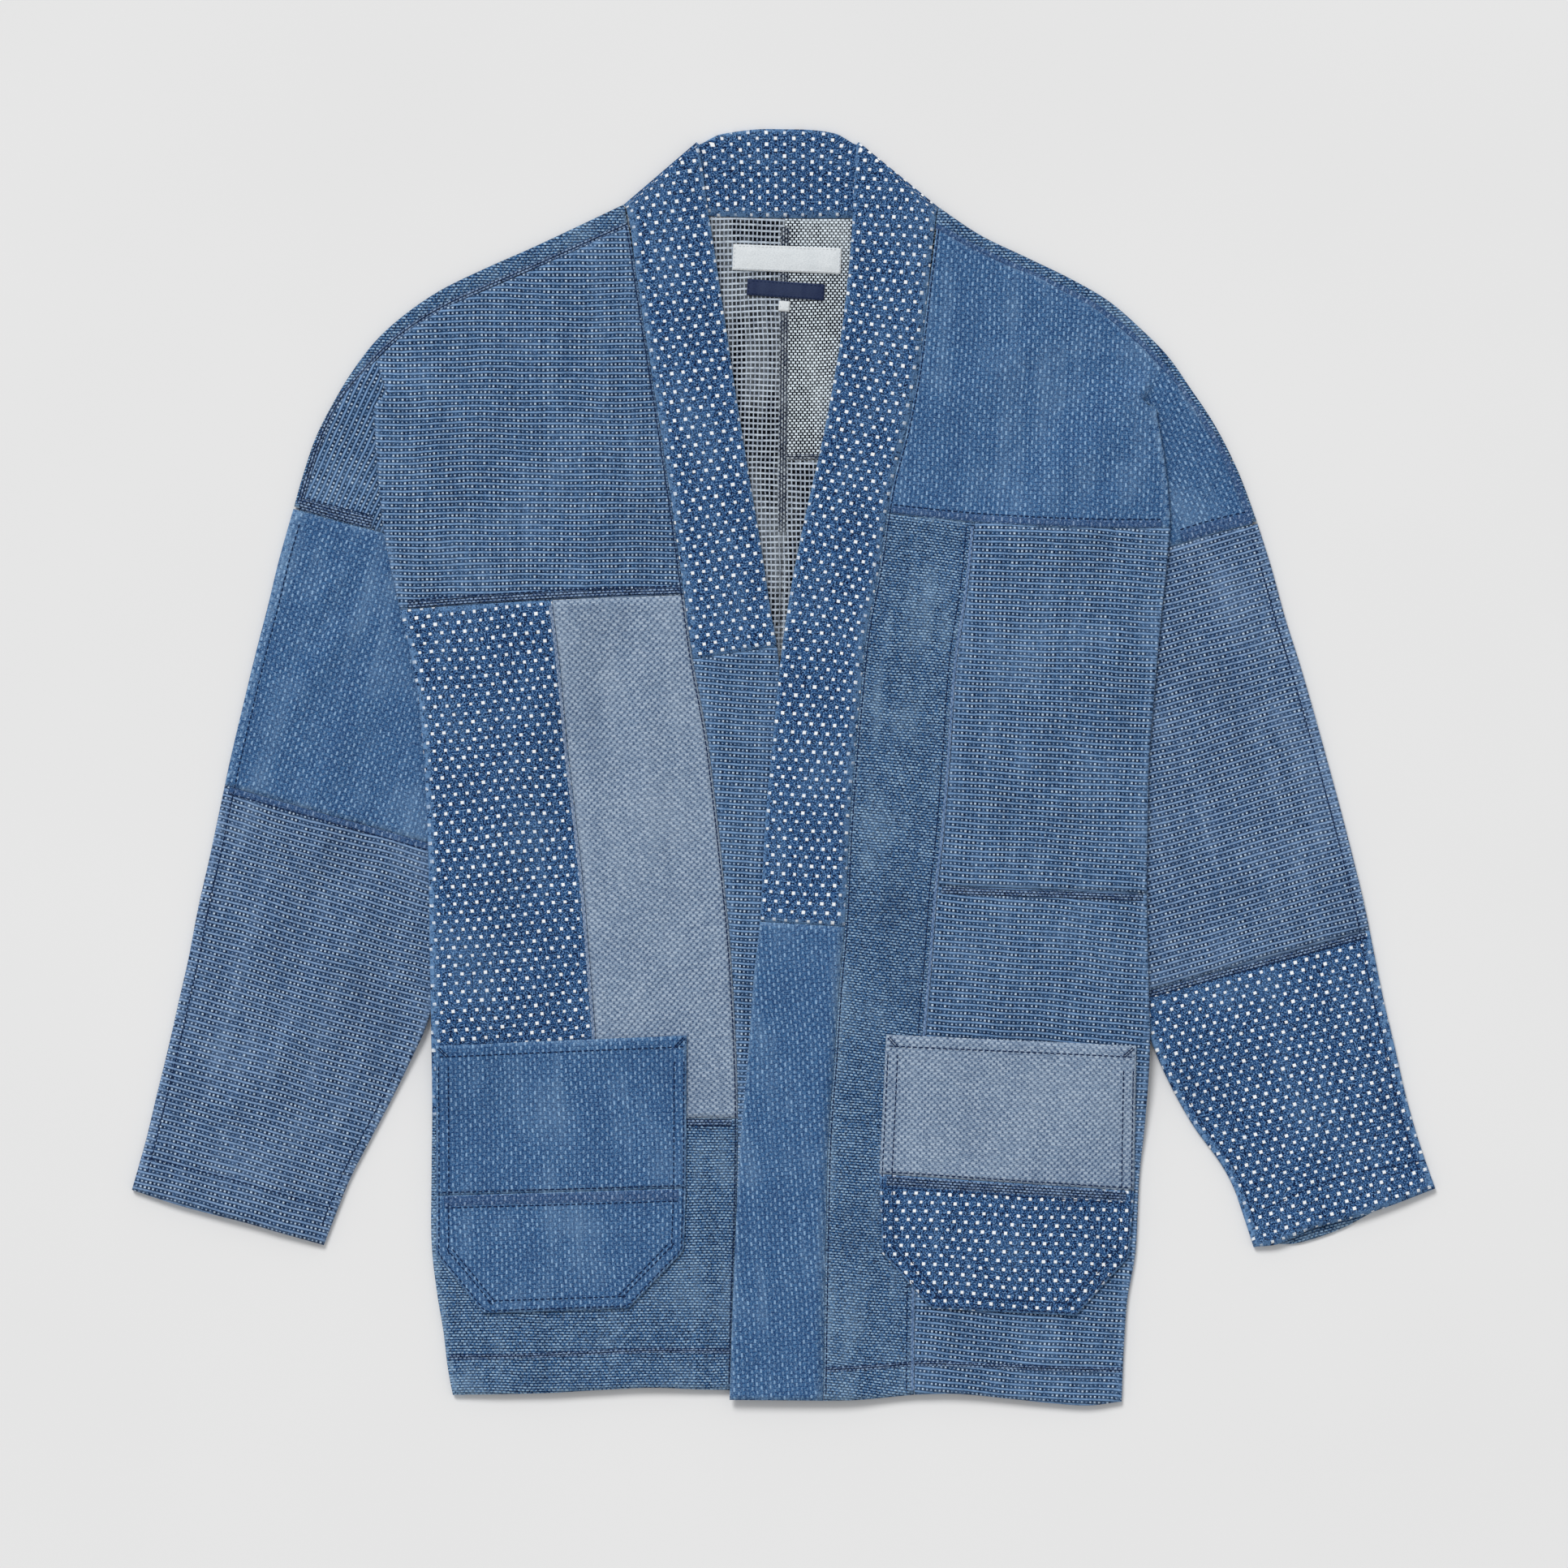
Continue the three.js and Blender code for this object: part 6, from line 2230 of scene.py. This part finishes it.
    def sewing(self, tailor: Tailor) -> list[Piece]:
        """Makes the stitches along the band's seam side, close and wide, so that the dark row is partly
        thread and partly a painted shadow of the gap beside the band.

        Args:
            tailor: It dresses the pieces.

        Returns:
            The sewing.
        """
        made = []
        for half, side in ((self.right, "right"), (self.left, "left")):
            line = between(half.collar_seam, half.collar_seam[0, 1] - 14, half.collar_seam[-1, 1] + 4)
            # The row lies just outside the band's seam: thread together with a painted shadow of the gap
            # beside the band.
            rows = [half.inset(line, -self.stitch_line)]
            made.append(tailor.sew(f"collar_{side}_stitches", rows, half.front_top, self.thread))
        return made


@dataclass(frozen=True)
class Part:
    """A piece of the back: its name's ending, where it is cut, its finish and its flat sizes."""

    suffix: str
    top: float | None
    bottom: float | None
    finish: Finish
    cut: tuple[float, float]
    area: float
    wrap_cut: tuple[float, float]
    wrap_area: float


@dataclass
class Back:
    """The back: two halves inside, which wrap over the shoulders to the seams on the front."""

    half: Half
    side: str
    relief: Relief
    parts: Sequence[Part]
    split: float | None = None
    inset: float = 5.0
    width: float = 250.0
    cell: float = 5.5
    wrap_gap: float = 0.3
    wrap_rows: int = 80
    wrap_crown: float = 0.25
    shoulder_gap: float = 0.1
    neck_corner: float = 40.0
    rim_rows: int = 60
    arm_rows: int = 12
    side_rows: int = 130
    rim_end: float = 0.36
    arm_end: float = 0.4
    row_gap: float = 0.004

    def height(self, place: np.ndarray) -> np.ndarray:
        """The level of the middle of the back's cloth, with its creases in the open neck.

        Args:
            place: Places in plan.

        Returns:
            The levels.
        """
        x, y = place[..., 0], place[..., 1]
        open_width = 1 - ease(np.abs(x), 20, 46)
        above = ease(y, 150, 230) * (1 - ease(y, 335, 360))
        return FLOOR_LEVEL + np.maximum(self.relief.lift(place), 0) * open_width * above

    def top_face(self, place: np.ndarray) -> np.ndarray:
        """The level of the back's upper face."""
        return self.height(place) + CLOTH / 2

    def build(self, tailor: Tailor) -> None:
        """Builds and dresses the half.

        Args:
            tailor: It dresses the pieces.
        """
        for part in self.parts:
            node = f"back_{self.side}{part.suffix}"
            plate = self.plate(f"{node}_cloth", part)
            wrap = self.wrap(f"{node}_shoulder", part)
            tailor.dress(plate, part.finish, node)
            tailor.dress(wrap, FINE_BODY)

    def levels(self, part: Part) -> tuple[np.ndarray, np.ndarray]:
        """The ends of the plate's rows at its outer side and at the centre seam.

        Args:
            part: The piece.

        Returns:
            The outer ends and the centre ends.
        """
        half = self.half
        rim = half.inset(half.shoulder, self.inset)
        centre = half.inset(smooth(CENTRE_SEAM), -SEAM / 2)
        armhole = half.inset(half.armhole, SEAM / 2)
        armhole = armhole[(half.inside(armhole) < RETURN) & (np.abs(armhole[:, 0]) < abs(rim[-1, 0]) - 1)]
        side = between(half.inset(half.fold, RETURN + SEAM), armhole[-1, 1] - 3, BACK_HEM)
        counts = (self.rim_rows, self.arm_rows, self.side_rows)
        outer = np.vstack([at(line, np.linspace(0, 1, count))
                           for line, count in zip((rim, armhole, side), counts)])
        spans = ((0, self.rim_end), (self.rim_end + self.row_gap, self.arm_end),
                 (self.arm_end + self.row_gap, 1))
        share = np.concatenate([np.linspace(*span, count) for span, count in zip(spans, counts)])
        knots = [(0, centre[0, 1]), (self.rim_end, rim[-1, 1] - 8), (self.arm_end, armhole[-1, 1] - 2),
                 (1, BACK_HEM)]
        if self.split is not None:
            cut = share[np.argmin(np.abs(outer[: self.rim_rows, 1] - self.split))]
            knots.insert(1, (cut, self.split))
        centre_y = np.interp(share, *zip(*knots))
        inner = np.stack([x_at(centre, centre_y), centre_y], axis=-1)
        if self.split is not None:
            upper = part.bottom is not None
            keep = share <= cut if upper else share >= cut
            outer, inner = outer[keep], inner[keep]
            edge, gap = (-1, SEAM / 2) if upper else (0, -SEAM / 2)
            outer[edge, 1] = inner[edge, 1] = self.split + gap
        return outer, inner

    def plate(self, name: str, part: Part) -> Piece:
        """Makes the part that lies on the floor.

        Args:
            name: The object's name.
            part: The piece.

        Returns:
            The object.
        """
        outer, inner = self.levels(part)
        u = shares(self.width, self.cell)
        place = blend(outer[:, None], inner[:, None], u[None, :, None])
        if part.top is None:
            neck = smooth(NECK_SEAM)
            x = place[..., 0]
            level = np.interp(u, [0, 1], [outer[0, 1], inner[0, 1]])[None]
            sag = np.interp(x, neck[:, 0], neck[:, 1]) - level
            corner = np.abs(x - self.half.collar_seam[0, 0])
            drop = SEAM / 2 + BAND_EDGE * (1 - ease(corner, 0, self.neck_corner))
            above = 1 - ease(np.arange(len(outer)), 0, 8)[:, None]
            place[..., 1] += (sag - drop) * above * (u[None] > 0.03)
        rows = laid(place, self.height)
        return shell(name, rows, plan_uv(rows), rim_mask(rows))

    def wrap(self, name: str, part: Part) -> Piece:
        """Makes the part that turns over the shoulder.

        Args:
            name: The object's name.
            part: The piece.

        Returns:
            The object.
        """
        half = self.half
        along = lengths(half.shoulder) / lengths(half.shoulder)[-1]
        start, end = 0.0, 0.995
        if self.split is not None:
            cut = float(np.interp(-self.split, -half.shoulder[:, 1], along))
            start, end = (start, cut - 0.001) if part.bottom is not None else (cut + 0.001, end)
        share = np.linspace(start, end, max(6, round((end - start) * self.wrap_rows)))
        inset = at(half.inset(half.shoulder, EDGE), share)
        rim = at(half.inset(half.shoulder, self.inset - self.wrap_gap), share)
        seam = at(half.inset(half.shoulder_seam, -self.shoulder_gap), share)
        low, high = np.full(len(share), FLOOR_LEVEL), np.full(len(share), TOP_LEVEL)
        columns = [lifted(rim, low), lifted(inset, low)]
        columns += bend_points(inset, outward(half.shoulder, share) * half.inward, low, high)
        first = len(columns)
        for step in np.linspace(0, 1, 6):
            level = high + self.wrap_crown * math.sin(math.pi * step)
            columns.append(lifted(blend(inset, seam, step), level))
        rows = np.stack(columns, axis=1)
        return shell(name, rows, plan_uv(rows, first), rim_mask(rows))


@dataclass(frozen=True)
class Label:
    """A blank label: its name, middle, size, turn in degrees, finish and thread."""

    name: str
    middle: tuple[float, float]
    size: tuple[float, float]
    turn: float
    finish: Finish
    thread: Finish

    def area(self, inset: float = 0.0) -> Field:
        """The label's field in plan.

        Args:
            inset: How far it lies inside the label's edge.

        Returns:
            The field.
        """
        w, h = self.size[0] / 2 - inset, self.size[1] / 2 - inset
        corners = np.array([(-w, h), (w, h), (w, -h), (-w, -h)])
        a, b, c, d = turned(corners, -self.turn) + np.array(self.middle)
        return Field(straight((a, d)), straight((b, c)), straight((a, b)), straight((d, c)))


@dataclass
class Neck:
    """What shows in the open neck: inside seams and three blank labels."""

    back: Back
    labels: tuple[Label, ...] = (
        Label("neck_label", (2.3, 344.6), (73.5, 17.5), -2.2, WHITE_LABEL, WHITE_THREAD),
        Label("origin_label", (1.5, 323.8), (52.5, 11.0), -4.2, NAVY_LABEL, THREAD),
        Label("size_tab", (0.4, 312.6), (7.5, 7.0), -4.2, WHITE_LABEL, WHITE_THREAD),
    )
    thickness: float = 0.9
    cell: float = 1.6
    gap: float = 0.3
    least_sheet: float = 10.0
    stitch_inset: float = 1.1
    stitched_round: float = 20.0
    thread: Thread = Thread(1.6, 0.9, 0.45, 0.25)
    seam_height: float = 0.4

    def build(self, tailor: Tailor) -> None:
        """Builds and dresses the labels and the inside seams.

        Args:
            tailor: It dresses the pieces.
        """
        for label in self.labels:
            cloth = self.cloth(label)
            thread = self.sewing(tailor, label)
            tailor.dress(cloth, label.finish, label.name)
        centre = between(smooth(CENTRE_SEAM), 366, 160)
        cross = portion(straight(((1.5, BACK_SPLIT + 2.2), (70, BACK_SPLIT + 2.2))), 0, 1)
        for name, line, width in (("centre_back_seam", centre, 6.2), ("net_seam", cross, 4.0)):
            tailor.fold(name, line, self.back.top_face, (width, self.seam_height), INSIDE_SEAM)

    def cloth(self, label: Label) -> Piece:
        """Makes a blank label.

        Args:
            label: The label.

        Returns:
            The object.
        """
        width, height = label.size
        u, v = shares(width, self.cell), shares(height, self.cell)
        place = label.area().places(u, v)
        edge = np.minimum(np.minimum(u, 1 - u)[None] * width, np.minimum(v, 1 - v)[:, None] * height)
        lift = CLOTH / 2 + self.gap + self.thickness / 2 + 0.45 * ease(edge, 1.2, 4.5)
        wave = 0.16 * np.sin(place[..., 0] / 3.7 + place[..., 1] / 9)
        rows = laid(place, self.back.height, lift + wave * ease(edge, 0, 3))
        return shell(f"{label.name}_cloth", rows, plan_uv(rows, turn=label.turn), np.zeros(rows.shape[:2]),
                     self.thickness)

    def sewing(self, tailor: Tailor, label: Label) -> Piece:
        """Makes the stitches round a label.

        Args:
            tailor: It dresses the pieces.
            label: The label.

        Returns:
            The object.
        """
        area = label.area(self.stitch_inset)
        rows = [area.left, area.right]
        if label.size[0] > self.stitched_round:
            rows += [area.top, area.bottom]

        def face(place: np.ndarray) -> np.ndarray:
            """The level of the label's edge."""
            return self.back.top_face(place) + self.gap + self.thickness

        rows = [portion(row, 0.03, 0.97) for row in rows]
        return tailor.sew(f"{label.name}_stitches", rows, face, self.thread, label.thread)


@dataclass
class Studio:
    """The floor, the light and the camera."""

    frame_width: float = 1.0626
    centre: tuple[float, float] = (0.0003, -0.011)
    distance: float = 6.0
    sensor: float = 36.0
    floor_size: float = 8.0
    floor_drop: float = 0.0003
    sky: float = 0.52
    sun: float = 1.88
    sun_angle: float = 24.0

    def build(self) -> None:
        """Builds the studio."""
        self.build_floor()
        self.build_camera()
        self.build_light()
        bpy.context.scene.view_settings.view_transform = "Standard"

    def build_floor(self) -> None:
        """Builds the pale floor."""
        half = self.floor_size / 2
        corners = [(-half, -half, 0), (half, -half, 0), (half, half, 0), (-half, half, 0)]
        mesh = bpy.data.meshes.new("floor")
        mesh.from_pydata(corners, [], [(0, 1, 2, 3)])
        floor = bpy.data.objects.new("floor", mesh)
        floor.location.z = -self.floor_drop
        bpy.context.scene.collection.objects.link(floor)
        material = bpy.data.materials.new("pale_floor")
        material.use_nodes = True
        graph = Graph(material.node_tree)
        shader = material.node_tree.nodes["Principled BSDF"]
        place = graph.node("ShaderNodeTexCoord").outputs["Object"]
        tone = graph.noise(place, 3.0, 3.0)
        graph.feed(shader.inputs["Base Color"], graph.mix(tone, srgb(232, 232, 232), srgb(236, 236, 236)))
        shader.inputs["Roughness"].default_value = 0.9
        shader.inputs["Specular IOR Level"].default_value = 0.1
        mesh.materials.append(material)

    def build_camera(self) -> None:
        """Builds the camera, straight above the jacket."""
        data = bpy.data.cameras.new("camera")
        data.sensor_width = self.sensor
        data.lens = self.sensor * self.distance / self.frame_width
        data.clip_end = 50
        camera = bpy.data.objects.new("camera", data)
        camera.location = (*self.centre, self.distance)
        bpy.context.scene.collection.objects.link(camera)
        bpy.context.scene.camera = camera

    def build_light(self) -> None:
        """Builds the soft light."""
        world = bpy.data.worlds.new("studio")
        world.use_nodes = True
        world.node_tree.nodes["Background"].inputs["Color"].default_value = (1, 1, 1, 1)
        world.node_tree.nodes["Background"].inputs["Strength"].default_value = self.sky
        bpy.context.scene.world = world
        data = bpy.data.lights.new("key", "SUN")
        data.energy = self.sun
        data.angle = math.radians(self.sun_angle)
        key = bpy.data.objects.new("key", data)
        key.rotation_euler = (math.radians(-38), math.radians(-22), 0)
        bpy.context.scene.collection.objects.link(key)


RIGHT_FRONT_CREASES = (
    Crease((-262, 236), (-196, 172), 9, 1.7),
    Crease((-258, 196), (-205, 120), 8, 1.3),
    Crease((-236, 66), (-214, -60), 8, 1.4),
    Crease((-228, -20), (-168, -150), 11, 1.2),
    Crease((-142, 90), (-120, -20), 8, 1.0),
    Crease((-96, 60), (-88, -90), 10, 1.1),
    Crease((-120, -120), (-70, -215), 10, 1.1),
    Crease((-214, -150), (-196, -236), 9, 1.2),
    Crease((-60, -250), (-52, -390), 7, 1.2),
    Crease((-226, -372), (-150, -408), 8, 1.3),
    Crease((-120, -376), (-60, -402), 8, 1.0),
    Crease((-180, 300), (-120, 240), 10, 1.2),
    Crease((-150, 230), (-100, 150), 9, 1.0),
)

LEFT_FRONT_CREASES = (
    Crease((238, 228), (176, 196), 11, 1.1),
    Crease((246, 204), (196, 150), 10, 1.0),
    Crease((234, 130), (220, 20), 8, 1.4),
    Crease((206, 90), (150, -30), 11, 1.2),
    Crease((240, -20), (216, -130), 8, 1.3),
    Crease((150, 130), (130, 20), 9, 0.9),
    Crease((140, -90), (190, -170), 9, 1.1),
    Crease((72, 150), (82, -10), 8, 1.0),
    Crease((66, -60), (62, -200), 7, 0.9),
    Crease((226, -384), (150, -410), 8, 1.3),
    Crease((60, -260), (48, -400), 6, 1.0),
    Crease((180, 300), (120, 240), 10, 1.1),
)

RIGHT_SLEEVE_CREASES = (
    Crease((-286, 150), (-330, 90), 8, 1.4),
    Crease((-280, 120), (-346, 20), 9, 1.6),
    Crease((-276, 60), (-330, -50), 9, 1.5),
    Crease((-282, -10), (-360, -120), 10, 1.5),
    Crease((-278, -90), (-330, -170), 9, 1.3),
    Crease((-300, -150), (-396, -250), 10, 1.4),
    Crease((-350, -220), (-340, -300), 8, 1.1),
    Crease((-306, 240), (-286, 190), 7, 1.2),
)

LEFT_SLEEVE_CREASES = (
    Crease((282, 140), (326, 86), 8, 1.4),
    Crease((278, 110), (340, 10), 9, 1.6),
    Crease((276, 50), (336, -60), 9, 1.4),
    Crease((290, -30), (366, -130), 10, 1.5),
    Crease((290, -110), (340, -180), 9, 1.3),
    Crease((310, -170), (396, -256), 10, 1.3),
    Crease((360, -230), (346, -300), 8, 1.1),
    Crease((296, 230), (278, 184), 7, 1.2),
)

BACK_CREASES = (
    Crease((-26, 330), (10, 250), 7, 0.9),
    Crease((24, 300), (-4, 230), 7, 0.8),
)


RIGHT_BACK_PARTS = (Part("", None, None, INSIDE_BACK, (0.3, 0.79), 0.19, (0.025, 0.33), 0.005),)

LEFT_BACK_PARTS = (
    Part("_upper", None, BACK_SPLIT, NET_BACK, (0.31, 0.175), 0.038, (0.025, 0.26), 0.004),
    Part("_lower", BACK_SPLIT, None, INSIDE_BACK, (0.28, 0.63), 0.155, (0.012, 0.06), 0.0006),
)

RIGHT_POCKET = (((-235.3, -188), (-65.5, -181)), ((-235, -289.5), (-66, -284.5)),
                ((-235.2, -330), (-67.5, -327)), ((-203, -369.5), (-105, -366)))

LEFT_POCKET = (((69.5, -180.5), (238.5, -188)), ((65, -275), (237.3, -286.5)), ((66.5, -328.5), (234, -331)),
               ((100.5, -366), (197.5, -371)))


def main() -> None:
    """Builds the jacket, piece by piece, and the studio."""
    logging.basicConfig(level=logging.INFO, format="%(message)s")
    tailor = Tailor(Effects())
    Studio().build()
    right = Half(RIGHT, Relief(RIGHT_FRONT_CREASES, phase=0.4), Relief(RIGHT_SLEEVE_CREASES, phase=2.1))
    left = Half(LEFT, Relief(LEFT_FRONT_CREASES, phase=1.7), Relief(LEFT_SLEEVE_CREASES, phase=3.3))
    inside = Relief(BACK_CREASES, phase=0.9)
    back_right = Back(right, "right", inside, RIGHT_BACK_PARTS)
    back_right.build(tailor)
    Back(left, "left", inside, LEFT_BACK_PARTS, BACK_SPLIT).build(tailor)
    Sleeve(right, "right", (BLUE_BODY, GRID_SLEEVE, FINE_BODY), ((0.21, 0.19), (0.18, 0.29), (0.18, 0.48)),
           (0.039, 0.05, 0.073), ((-434, -263.5), (-380.3, -276.7), (-304, -298.7)), -16.0).build(tailor)
    Sleeve(left, "left", (GRID_SLEEVE, DOTS_BODY, FINE_BODY), ((0.22, 0.28), (0.17, 0.18), (0.18, 0.48)),
           (0.058, 0.03, 0.072), ((434.8, -265.7), (375.4, -277.2), (326, -298.5)), 16.0).build(tailor)
    Yoke(right, "right", "back_right", GRID_BODY, (0.4, 0.25), 0.063, 0.0, 65.0, SPECKLED_FOLD).build(tailor)
    # The left yoke's seam bands are its blue cloth painted darker, as painted shade.
    Yoke(left, "left", "back_left_lower", BLUE_BODY, (0.4, 0.2), 0.048, -3.0, 27.0, SHADED_BLUE_FOLD).build(tailor)
    RightFront(right).build(tailor)
    LeftFront(left).build(tailor)
    Collar(right, left).build(tailor)
    # The right pocket's seam band is its blue cloth painted darker, as painted shade.
    Pocket(right, "right", "front_right_skirt", (BLUE_BODY, BLUE_BODY), SHADED_BLUE_FOLD, RIGHT_POCKET,
           2.0).build(tailor)
    Pocket(left, "left", "front_left_grid_lower", (PALE_BODY, DOTS_BODY), SPECKLED_FOLD, LEFT_POCKET,
           -2.5).build(tailor)
    Neck(back_right).build(tailor)


if __name__ == "__main__":
    main()
